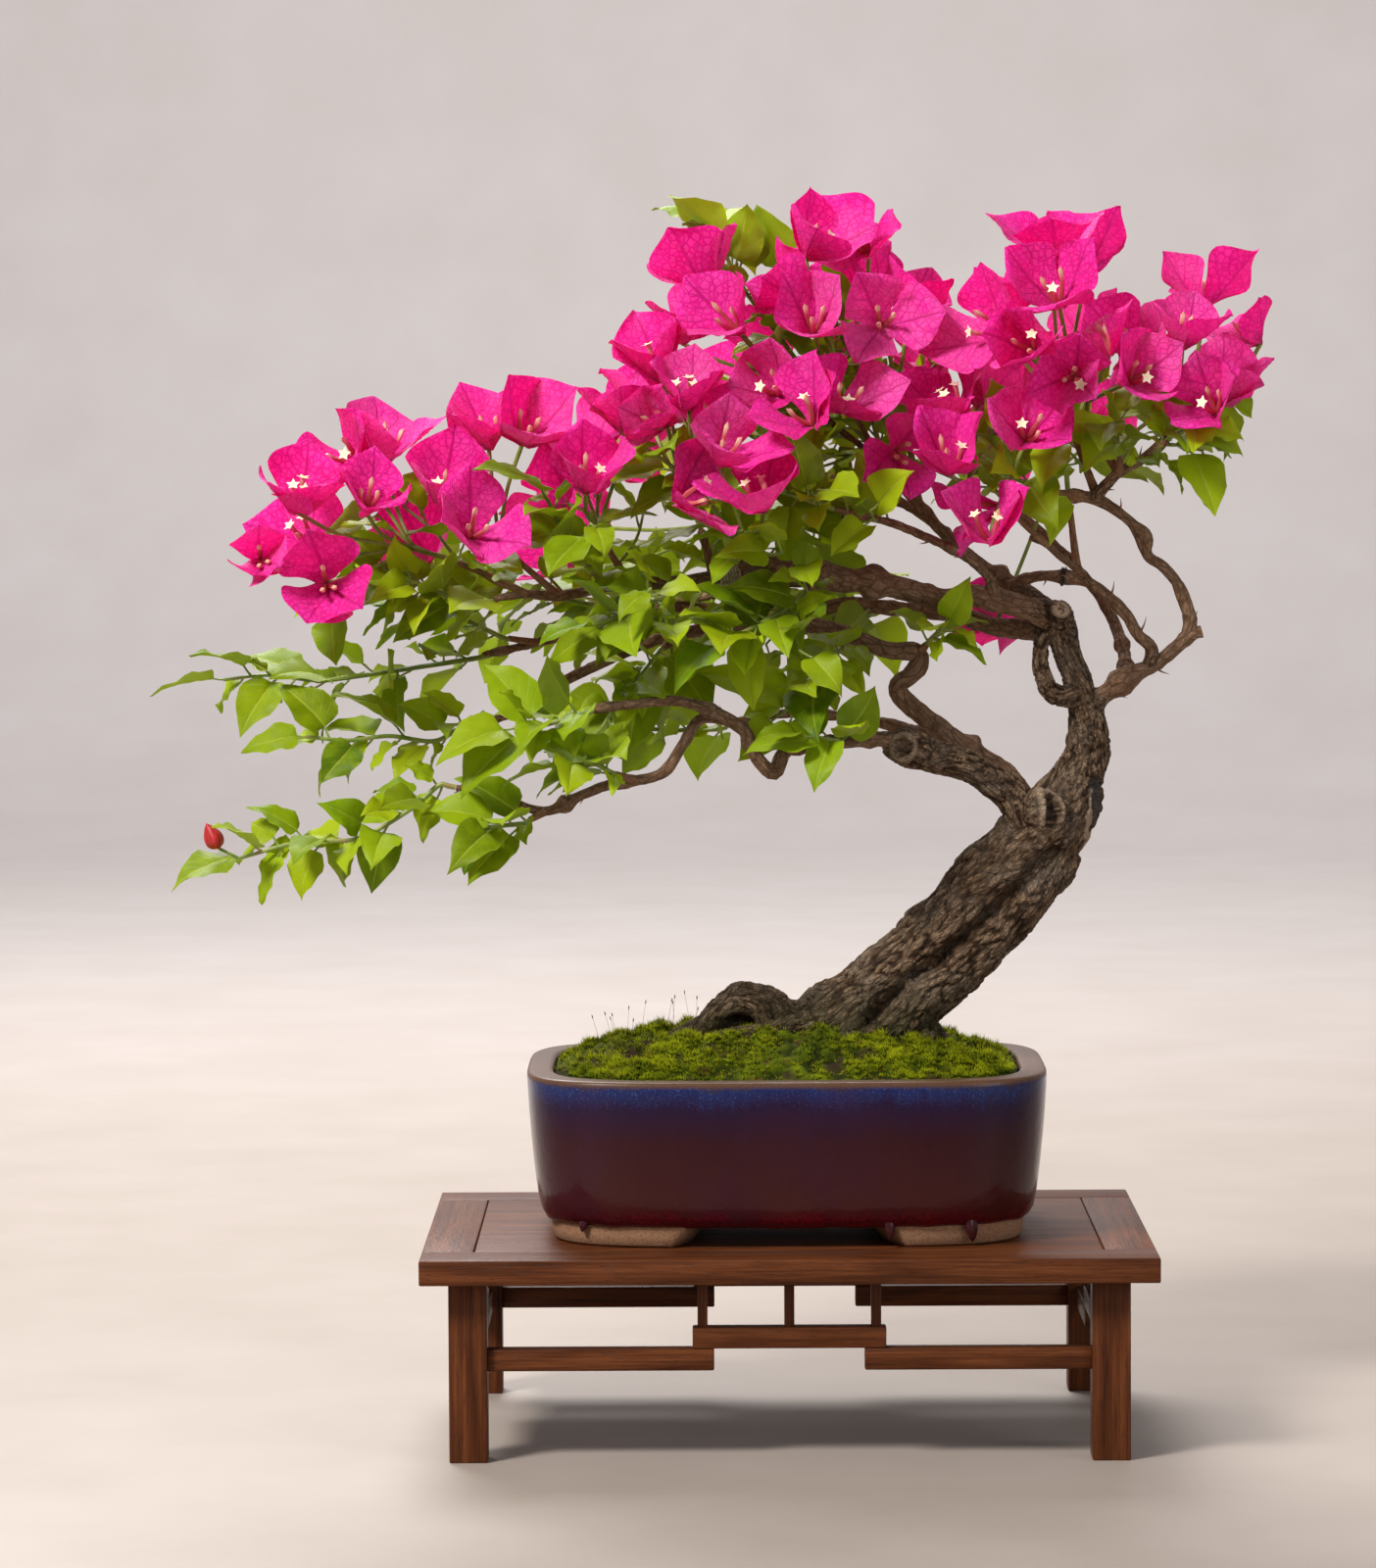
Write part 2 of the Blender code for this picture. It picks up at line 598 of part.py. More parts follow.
class Blade:
    """A leaf or bract as a curved surface: t runs from base to tip, s across from -1 to 1."""

    def __init__(self, root, along, up, length, width, shape, curl, fold, cup, wave, phase, room=9.0):
        self.root = root
        self.along = along.normalized()
        self.side = self.along.cross(up).normalized()
        self.up = self.side.cross(self.along)
        self.length = length
        self.width = width
        self.shape = shape
        self.curl = curl
        self.fold = fold
        self.cup = cup
        self.wave = wave
        self.phase = phase
        self.room = room  # how fast the blade may widen from its base, beside its neighbours

    def point(self, t, s, widen=1.0):
        half = self.width / 2 * profile(min(t, 1.0), self.shape) * widen
        half = min(half, self.room * self.length * t)
        ripple = math.sin(7.5 * t + self.phase + (1.9 if s > 0 else 0.0))
        lift = self.curl * self.length * t * t
        lift += (self.fold * abs(s) + self.cup * s * s) * half
        lift += self.wave * ripple * s * s
        return self.root + self.along * self.length * t + self.side * s * half + self.up * lift


def fan(faces, centre, loop):
    for index, point in enumerate(loop):
        faces.append([centre, point, loop[(index + 1) % len(loop)]])


def grow_blade(points, faces, blade, minus, plus, over=(), under=()):
    """Adds a thin blade between two base points; its two faces share a sharp rim and one split."""
    first = len(points)
    for t in RIM_STEPS:
        points.append(blade.point(t, -1))
    points.append(blade.point(1.0, 0))
    for t in reversed(RIM_STEPS):
        points.append(blade.point(t, 1))
    middle = blade.point(MID_STEP, 0)
    points.append(middle + blade.up * RIB_THICKNESS / 2)
    points.append(middle - blade.up * RIB_THICKNESS / 2)
    rim = [minus] + list(range(first, first + 2 * len(RIM_STEPS) + 1)) + [plus]
    fan(faces, len(points) - 2, rim + list(over))
    fan(faces, len(points) - 1, (rim + list(under))[::-1])


def envelope(blade, start=0.1):
    """A thicker, slightly larger slab round a blade, to keep its neighbours clear of it."""
    rim = [blade.point(start, -1, 1.08)]
    rim += [blade.point(t, -1, 1.08) for t in RIM_STEPS]
    rim += [blade.point(1.0, 0) + blade.along * 1.2]
    rim += [blade.point(t, 1, 1.08) for t in reversed(RIM_STEPS)]
    rim += [blade.point(start, 1, 1.08)]
    count = len(rim)
    lift = blade.up * CLEARANCE
    middle = blade.point(MID_STEP, 0)
    points = [p + lift for p in rim] + [p - lift for p in rim] + [middle + lift, middle - lift]
    faces = []
    fan(faces, 2 * count, list(range(count)))
    fan(faces, 2 * count + 1, list(range(count, 2 * count))[::-1])
    for index in range(count):
        after = (index + 1) % count
        faces.append([index, index + count, after])
        faces.append([after, index + count, after + count])
    return points, faces


class Crowd:
    """What already stands in the crown, so that nothing new is placed through it."""

    def __init__(self):
        self.items = []

    def reach(self, solid):
        points = solid[0]
        centre = sum(points, Vector((0, 0, 0))) / len(points)
        return centre, max((p - centre).length for p in points)

    def add(self, solid, owner):
        centre, radius = self.reach(solid)
        self.items.append((centre, radius, BVHTree.FromPolygons(*solid), owner))

    def is_clear(self, solid, ignore=None):
        centre, radius = self.reach(solid)
        tree = None
        for other, size, other_tree, owner in self.items:
            if owner == ignore or (other - centre).length > size + radius:
                continue
            tree = tree or BVHTree.FromPolygons(*solid)
            if tree.overlap(other_tree):
                return False
        return True


def turned(direction, axis, angle):
    return Matrix.Rotation(angle, 3, axis) @ direction


def scatter(draw, amount):
    return Vector((draw.uniform(-1, 1), draw.uniform(-1, 1), draw.uniform(-1, 1))) * amount


# Leafy shoots

def leaf_solid(blade, foot):
    """A leaf with its three-sided stem, from a foot inside the shoot to the blade."""
    stem = (blade.root - foot).normalized()
    side = stem.cross(blade.up).normalized()
    over = side.cross(stem)
    ring = [-side + over * 0.3, side + over * 0.3, -over]
    points = [blade.root + spoke * PETIOLE_RADIUS for spoke in ring]
    points.append(foot - stem * 0.3)
    faces = [[corner, (corner + 1) % 3, 3] for corner in range(3)]
    grow_blade(points, faces, blade, 0, 1, under=(2,))
    return points, faces


def try_leaf(draw, foot, tangent, radial, size, spread):
    """One way for a leaf to stand: off the shoot, with its face to the light and outwards."""
    out = Vector((-0.2, max(-1.0, min(1.0, foot.y / 45)), 0.0))
    stem = tangent * 0.6 + radial * 0.9 + Vector((0, 0, 0.25)) + scatter(draw, 0.25 + spread)
    stem.normalize()
    face = Vector((0, 0, 0.8)) + out * 0.6 + stem * 0.1 + scatter(draw, 0.45 + spread)
    along = stem * 0.9 + out * 0.25 + Vector((-0.1, 0, -0.15)) + scatter(draw, 0.2 + spread)
    length = draw.uniform(*LEAF_LENGTH) * size
    root = foot + stem * draw.uniform(5.0, 8.0)
    return Blade(
        root, along, face, length, length * draw.uniform(*LEAF_WIDTH), LEAF_PROFILE,
        curl=draw.uniform(-0.3, -0.02), fold=draw.uniform(0.12, 0.38), cup=0.0,
        wave=draw.uniform(0.6, 1.8), phase=draw.uniform(0, math.tau),
    )


def spray_leaves(name, route, count, size, crowd):
    """Leaves set spirally along a shoot, each in the first clear place that a draw finds."""
    centres = [Vector(p[:3]) for p in route]
    lengths = [0.0]
    for start, end in zip(centres, centres[1:]):
        lengths.append(lengths[-1] + (end - start).length)
    directions = tangents(centres)
    draw = random.Random(name)
    azimuth = draw.uniform(0, math.tau)
    leaves = []
    for number in range(count):
        reach = lengths[-1] * (0.06 + 0.93 * number / (count - 1))
        index = max(i for i, length in enumerate(lengths[:-1]) if length <= reach)
        part = (reach - lengths[index]) / (lengths[index + 1] - lengths[index])
        foot = centres[index].lerp(centres[index + 1], part)
        tangent = directions[index].lerp(directions[index + 1], part).normalized()
        azimuth += LEAF_TURN
        across = tangent.orthogonal().normalized()
        for attempt in range(LEAF_TRIES):
            spread = attempt * 0.035
            radial = turned(across, tangent, azimuth + draw.uniform(-0.5, 0.5) * (1 + attempt * 0.25))
            if number == count - 1:
                radial = tangent
            shrink = 1.0 if attempt < LEAF_TRIES / 2 else 0.8
            blade = try_leaf(draw, foot, tangent, radial, size * shrink, spread)
            slab = envelope(blade)
            stem = tube([(*foot, PETIOLE_RADIUS), (*blade.root, PETIOLE_RADIUS)], 3)
            if crowd.is_clear(slab) and crowd.is_clear(stem, ignore=name):
                crowd.add(slab, name)
                leaves.append((blade, foot))
                break
    return leaves


def bud_solid(route):
    """A closed, pointed bud on a short stalk from the end of a shoot."""
    base, tip = Vector(BUD_BASE), Vector(BUD_TIP)
    foot = min((Vector(p[:3]) for p in route), key=lambda p: (p - base).length)
    places = [(*foot, PETIOLE_RADIUS), (*base, PETIOLE_RADIUS)]
    for share, fullness in ((0.25, 0.85), (0.55, 1.0), (0.82, 0.6), (1.0, 0.1)):
        places.append((*base.lerp(tip, share), BUD_RADIUS * fullness))
    return tube(places, 5)


# Blooms

def bract_blades(draw, base, axis, ring, length):
    """Three bracts that flare from the base and curve up, like a paper lantern."""
    flare = math.radians(draw.uniform(38, 60))
    blades = []
    for index in range(3):
        edge = (ring[index] + ring[(index + 1) % 3]) / 2
        spoke = (edge - base) - axis * (edge - base).dot(axis)
        spoke.normalize()
        lean = flare + draw.uniform(-0.16, 0.16)
        along = axis * math.cos(lean) + spoke * math.sin(lean)
        up = axis * math.sin(lean) - spoke * math.cos(lean)
        size = length * draw.uniform(0.92, 1.06)
        blades.append(Blade(
            edge, along, up, size, size * draw.uniform(*BRACT_WIDTH), BRACT_PROFILE,
            curl=draw.uniform(0.1, 0.3), fold=draw.uniform(0.0, 0.15), cup=draw.uniform(0.05, 0.35),
            wave=draw.uniform(0.6, 2.0), phase=draw.uniform(0, math.tau), room=BRACT_ROOM,
        ))
    return blades


def bloom_solid(stalk, phase, blades, base, axis, length):
    """Stalk, three bracts and the small tubular flower between them, as one closed skin."""
    points, faces, rim = stem_from_point(stalk, phase)
    throat = len(points)
    for rise, radius in ((1.5, FLOWER_RADIUS[0]), (length * FLOWER_LENGTH, FLOWER_RADIUS[1])):
        for corner in rim:
            spoke = (points[corner] - base).normalized()
            points.append(base + axis * rise + spoke * radius)
    for corner in range(3):
        after = (corner + 1) % 3
        faces.append([throat + corner, throat + after, throat + 3 + after, throat + 3 + corner])
    faces.append([throat + 3, throat + 4, throat + 5])
    for index, blade in enumerate(blades):
        after = (index + 1) % 3
        grow_blade(points, faces, blade, rim[after], rim[index], over=(throat + index, throat + after))
    return points, faces


def make_bloom(draw, fork, centre, spread):
    """One way for a bloom to stand at its place, held by a stalk from the fork."""
    outward = (centre - fork).normalized()
    out = Vector((0, max(-1.0, min(1.0, centre.y / 70)), 1.0))
    axis = (outward * 0.5 + out * 0.6 + scatter(draw, 0.5 + spread)).normalized()
    length = draw.uniform(*BRACT_LENGTH) * (0.86 if spread > 0.4 else 1.0)
    place = centre + scatter(draw, 1.5 + 14 * spread)
    base = place - axis * length * 0.42
    bend = fork.lerp(base, 0.55) - axis * 3 + scatter(draw, 3)
    route = smooth_route([
        (*fork, STALK_RADIUS), (*bend, STALK_RADIUS), (*base, STALK_RADIUS * 1.15),
    ], 60)
    phase = draw.uniform(0, math.tau / 3)
    points, _, rim = stem_from_point(route, phase)
    blades = bract_blades(draw, base, axis, [points[corner] for corner in rim], length)
    return route, phase, blades, base, axis, length


def within_reach(solid):
    right, front, top = CROWN_REACH
    return all(p.x < right and p.y > front and p.z < top for p in solid[0])


def cluster_blooms(name, fork, places, crowd):
    draw = random.Random(name)
    blooms = []
    for place in places:
        for attempt in range(BLOOM_TRIES):
            spread = attempt * 0.014
            bloom = make_bloom(draw, fork, Vector(place), spread)
            route, phase, blades, base, axis, length = bloom
            slabs = [envelope(blade) for blade in blades]
            stem = tube([(*p[:3], p[3] * 1.5) for p in route[1:]], 3)
            if not all(within_reach(slab) for slab in slabs):
                continue
            if all(crowd.is_clear(slab) for slab in slabs) and crowd.is_clear(stem, ignore=name):
                for slab in slabs:
                    crowd.add(slab, name)
                crowd.add(tube(route, 3), name)
                blooms.append(bloom)
                break
    return blooms


# Wood

def limb_sides(route):
    widest = max(p[3] for p in route)
    if widest > 14:
        return 11
    if widest > 7:
        return 7
    return 5 if widest > 3.7 else 4


def limb_slack(route):
    return 1.8 if max(p[3] for p in route) > 7 else 2.4


def limb_tube(route, swell=0.0):
    knobbly = 0.16 if route[0][3] > 6 else 0.0
    return tube(straightened(route, limb_slack(route)), limb_sides(route), knobbly=knobbly, swell=swell)


def ring_solid(rings):
    """A closed solid from stacked rings with the same number of points each."""
    count = len(rings[0])
    points = [p for ring in rings for p in ring]
    faces = [list(range(count))[::-1], list(range((len(rings) - 1) * count, len(rings) * count))]
    for level in range(len(rings) - 1):
        for index in range(count):
            after = (index + 1) % count
            low = level * count
            faces.append([low + index, low + after, low + count + after, low + count + index])
    return points, faces


def rim_point(angle, inset, z):
    """A point of the pot's rounded-rectangle outline at a height, set in from the rim's outline."""
    power = 2 / POT_SQUARENESS
    x = math.copysign(abs(math.cos(angle)) ** power, math.cos(angle)) * (POT_HALF_LENGTH - inset)
    y = math.copysign(abs(math.sin(angle)) ** power, math.sin(angle)) * (POT_HALF_DEPTH - inset)
    return Vector((x, y, z))


def outline(inset, z, segments=POT_SEGMENTS):
    return [rim_point(math.tau * (index + 0.5) / segments, inset, z) for index in range(segments)]


def box(low, high):
    x0, y0, z0 = low
    x1, y1, z1 = high
    rings = [[Vector(p) for p in ((x0, y0, z), (x1, y0, z), (x1, y1, z), (x0, y1, z))] for z in (z0, z1)]
    return ring_solid(rings)


def make_wood(material):
    limbs = {name: smooth_route(points, 15 if points[0][3] > 9 else 13) for name, points in LIMBS.items()}
    twigs = []
    shoots = {}
    forks = {}
    for kind, table in (("spray", SPRAYS), ("cluster", BLOOM_CLUSTERS)):
        for name, entry in table.items():
            places = entry[2] if kind == "spray" else entry[0]
            start = nearest_on_limbs(limbs, places[0])
            first = min(TWIG_RADIUS[0], start[3] * 0.8)
            knots = [(*start[:3], first), (*places[1], TWIG_RADIUS[1])]
            for number, place in enumerate(places[2:], 1):
                knots.append((*place, SHOOT_RADIUS - SHOOT_TAPER * number / len(places)))
            whole = smooth_route(knots, 11)
            joint = min(range(len(whole)), key=lambda i: (Vector(whole[i][:3]) - Vector(places[1])).length)
            twig = straightened(whole[:joint + 1], TWIG_SLACK)
            twigs.append(twig)
            end = Vector(twig[-1][:3])
            onward = (end - Vector(twig[-2][:3])).normalized()
            butt = [Vector((*(end + onward * step), SHOOT_RADIUS)) for step in (GAP, 4.0)]
            rest = butt + straightened(whole[joint:], SHOOT_SLACK)[1:]
            (shoots if kind == "spray" else forks)[name] = rest
    solids = [limb_tube(route) for route in limbs.values()]
    solids += [tube(route, 3) for route in twigs]
    wood = combine("trunk_and_branches", solids[0], solids[1:], material)
    return wood, solids, limbs, shoots, forks


def make_crown(wood_solids, shoots, forks, leaf_material, bract_material):
    crowd = Crowd()
    for solid in wood_solids:
        crowd.add(solid, "wood")
    for name, route in shoots.items():
        crowd.add(tube(route, 3), name)
    for name, route in forks.items():
        crowd.add(tube(route, 3), name)
    made = []
    for name, (_, places) in BLOOM_CLUSTERS.items():
        stem = forks[name]
        end, before = Vector(stem[-1][:3]), Vector(stem[-2][:3])
        fork = end - (end - before).normalized() * 2.5
        blooms = cluster_blooms(name, fork, places, crowd)
        solids = [bloom_solid(*bloom) for bloom in blooms]
        made.append(combine(f"blooms_{name}", tube(stem, 3), solids, bract_material))
    crowd.add(bud_solid(shoots["low_left"]), "low_left")
    for name, (count, size, _) in SPRAYS.items():
        leaves = spray_leaves(name, shoots[name], count, size, crowd)
        solids = [leaf_solid(blade, foot) for blade, foot in leaves]
        if name == "low_left":
            solids.append(bud_solid(shoots[name]))
        made.append(combine(f"leaves_{name}", tube(shoots[name], 3), solids, leaf_material))
    return made


# Pot, soil and moss

def foot_solid(start, end):
    """A low foot under one corner of the pot, following its outline between two angles."""
    outer, inner = FOOT_INSET
    root = POT_UNDERSIDE_Z + FOOT_ROOT
    rings = []
    for step in range(FOOT_STEPS + 1):
        angle = start + (end - start) * step / FOOT_STEPS
        slope = FOOT_END_SLOPE if step in (0, FOOT_STEPS) else 0.0
        rings.append([
            rim_point(angle, outer, FOOT_Z), rim_point(angle, outer - slope, root),
            rim_point(angle, inner + 2, root), rim_point(angle, inner, FOOT_Z),
        ])
    return ring_solid(rings)


def make_pot(material):
    rings = [outline(inset, z) for z, inset in POT_PROFILE]
    rings.append(outline(LIP_WIDTH, RIM_Z))
    rings.append(outline(LIP_WIDTH + 1.0, RIM_Z - LIP_DROP))
    rings.append(outline(UNDERSIDE_INSET + WALL_THICKNESS, POT_FLOOR_Z))
    body = ring_solid(rings)
    feet = []
    for corner in range(4):
        middle = math.pi / 4 + corner * math.pi / 2
        feet.append(foot_solid(middle - FOOT_SPREAD, middle + FOOT_SPREAD))
    pot = combine("pot", body, feet, material)
    drains = []
    for x in (-DRAIN_X, DRAIN_X):
        route = [(x, 0, z, DRAIN_RADIUS) for z in (POT_UNDERSIDE_Z - 5, POT_FLOOR_Z + 5)]
        drains.append(tube(route, 12))
    cut = combine("pot_with_drains", as_solid(pot), drains, material, "DIFFERENCE")
    pot.data = cut.data
    bpy.data.objects.remove(cut, do_unlink=True)
    return pot


def inside_pot(z, clearance):
    """How far the pot's inner wall stands inside the rim's outline, plus a clearance."""
    upper = RIM_Z - LIP_DROP
    slope = (UNDERSIDE_INSET + WALL_THICKNESS - LIP_WIDTH - 1.0) / (upper - POT_FLOOR_Z)
    return LIP_WIDTH + 1.0 + max(0.0, upper - z) * slope + clearance


def moss_height(x, y, share):
    lump = noise.noise(Vector((x, y, 3.0)) / 17) + 0.6 * noise.noise(Vector((x, y, 9.0)) / 8)
    return MOSS_EDGE_Z + (MOSS_RISE + MOSS_LUMP * lump) * (1 - share ** MOSS_SHOULDER)


def root_holes(limbs):
    """Where the trunk's foot and the roots stand in the soil: their own shapes, slightly larger."""
    names = (
        "trunk_left_lobe", "trunk_right_lobe", "left_root", "root_knob", "rootlet", "front_root",
        "right_root", "back_root",
    )
    return [limb_tube(limbs[name], ROOT_ROOM) for name in names]


def make_ground(limbs, soil_material, moss_material):
    walls = [(inside_pot(z, SOIL_ROOM), z) for z in (POT_FLOOR_Z + GAP, SOIL_TOP_Z)]
    soil_rings = [outline(inset, z, MOSS_SEGMENTS) for inset, z in walls]
    soil = combine("soil", ring_solid(soil_rings), root_holes(limbs), soil_material, "DIFFERENCE")
    edge = inside_pot(RIM_Z, MOSS_ROOM)
    moss_rings = [outline(edge, z, MOSS_SEGMENTS) for z in (SOIL_TOP_Z + GAP, MOSS_EDGE_Z)]
    for share in MOSS_RINGS:
        ring = [p * share for p in outline(edge, 0, MOSS_SEGMENTS)]
        moss_rings.append([Vector((p.x, p.y, moss_height(p.x, p.y, share))) for p in ring])
    moss = combine("moss", ring_solid(moss_rings), root_holes(limbs), moss_material, "DIFFERENCE")
    return soil, moss


# Display stand

def mirrored_box(low, high, sign_x, sign_y):
    xs = sorted((low[0] * sign_x, high[0] * sign_x))
    ys = sorted((low[1] * sign_y, high[1] * sign_y))
    return box((xs[0], ys[0], low[2]), (xs[1], ys[1], high[2]))


def make_stand(material):
    half_x = STAND_LENGTH / 2
    half_y = STAND_DEPTH / 2
    low = STAND_HEIGHT - TOP_THICKNESS
    top = STAND_HEIGHT
    inner_x = half_x - END_BOARD_WIDTH
    inner_y = half_y - LONG_BOARD_WIDTH
    made = []
    for side, sign in (("front", -1), ("back", 1)):
        board = mirrored_box((-half_x, inner_y, low), (half_x, half_y, top), 1, sign)
        made.append(add_object(f"stand_{side}_board", board, material))
    for side, sign in (("left", -1), ("right", 1)):
        board = mirrored_box((inner_x, -inner_y + GAP, low), (half_x, inner_y - GAP, top), sign, 1)
        made.append(add_object(f"stand_{side}_board", board, material))
    panel = box((-inner_x + GAP, -inner_y + GAP, low), (inner_x - GAP, inner_y - GAP, top))
    made.append(add_object("stand_panel", panel, material))
    for end, sign_x in (("left", -1), ("right", 1)):
        for side, sign_y in (("front", -1), ("back", 1)):
            leg = mirrored_box(
                (LEG_OUTER_X - LEG_SIZE, LEG_OUTER_Y - LEG_SIZE, 0), (LEG_OUTER_X, LEG_OUTER_Y, low - GAP),
                sign_x, sign_y,
            )
            made.append(add_object(f"stand_leg_{side}_{end}", leg, material))
    reach_x = LEG_OUTER_X - LEG_SIZE - GAP
    reach_y = LEG_OUTER_Y - LEG_SIZE - GAP
    for side, sign in (("front", -1), ("back", 1)):
        made.append(make_apron(f"stand_apron_{side}", reach_x, LEG_OUTER_Y, sign, False, material))
    for side, sign in (("left", -1), ("right", 1)):
        made.append(make_apron(f"stand_apron_{side}", reach_y, LEG_OUTER_X, sign, True, material))
    return made


def make_apron(name, reach, outer, sign, turn, material):
    """Stepped rail between two legs: low at the ends, raised in the middle, with three short struts."""
    scale = reach / (LEG_OUTER_X - LEG_SIZE - GAP)
    bridge = BRIDGE_HALF * scale
    gap_half = LOWER_RAIL_GAP_HALF * scale
    strut = STRUT_OFFSET * scale
    front = outer - RAIL_INSET
    back = front - RAIL_THICKNESS
    strut_top = STAND_HEIGHT - TOP_THICKNESS - GAP
    spans = [
        (-reach, -gap_half, back, front, *LOWER_RAIL_Z),
        (gap_half, reach, back, front, *LOWER_RAIL_Z),
        (-bridge, bridge, back - 0.4, front + 0.4, LOWER_RAIL_Z[1] - 0.5, BRIDGE_RAIL_Z[1]),
    ]
    for middle in (-strut, 0.0, strut):
        spans.append((
            middle - STRUT_WIDTH / 2, middle + STRUT_WIDTH / 2, back + 2, front - 1.5,
            BRIDGE_RAIL_Z[1] - 2, strut_top,
        ))
    solids = []
    for start, end, inner, face, low, high in spans:
        if turn:
            solids.append(mirrored_box((inner, start, low), (face, end, high), sign, 1))
        else:
            solids.append(mirrored_box((start, inner, low), (end, face, high), 1, sign))
    return combine(name, solids[0], solids[1:], material)


def main():
    clear_scene()
    materials = {name: make_material(name) for name in COLOURS}
    wood, wood_solids, limbs, shoots, forks = make_wood(materials["wood"])
    made = [wood]
    made += make_crown(wood_solids, shoots, forks, materials["leaf"], materials["bract"])
    pot = make_pot(materials["glaze"])
    smooth_rounds(pot)
    made.append(pot)
    made += make_ground(limbs, materials["soil"], materials["moss"])
    made += make_stand(materials["walnut"])
    middle = bpy.data.objects.new("display_middle", None)
    middle.location = (POT_X * MM, POT_Y * MM, 0)
    bpy.context.scene.collection.objects.link(middle)
    for obj in made:
        obj.parent = middle


main()
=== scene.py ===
# Bougainvillea bonsai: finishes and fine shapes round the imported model.
# Everything is worked out in millimetres round the pot's middle and moved into the frame at the end.

import itertools
import math
import random

import bmesh
import bpy
import numpy as np
from mathutils import Matrix, Vector, noise
from mathutils.bvhtree import BVHTree
from mathutils.kdtree import KDTree


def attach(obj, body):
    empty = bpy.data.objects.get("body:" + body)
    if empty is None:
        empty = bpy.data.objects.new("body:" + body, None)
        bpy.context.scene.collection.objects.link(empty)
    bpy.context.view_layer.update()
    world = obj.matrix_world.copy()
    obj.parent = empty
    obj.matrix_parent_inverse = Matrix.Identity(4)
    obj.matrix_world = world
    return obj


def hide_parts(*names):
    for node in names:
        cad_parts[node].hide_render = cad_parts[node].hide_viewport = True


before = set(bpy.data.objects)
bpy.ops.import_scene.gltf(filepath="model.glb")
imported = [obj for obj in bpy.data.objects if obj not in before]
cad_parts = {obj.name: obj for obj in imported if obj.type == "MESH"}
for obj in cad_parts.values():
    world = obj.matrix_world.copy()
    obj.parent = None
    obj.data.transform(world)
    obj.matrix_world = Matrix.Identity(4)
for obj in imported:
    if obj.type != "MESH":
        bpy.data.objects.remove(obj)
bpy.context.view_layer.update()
print("frame loaded:", len(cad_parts), "nodes")

mm = 0.001
potMiddle = Vector((36.5, -6.5, 0.0))  # where the pot stands in the frame
twoPi = 2 * math.pi

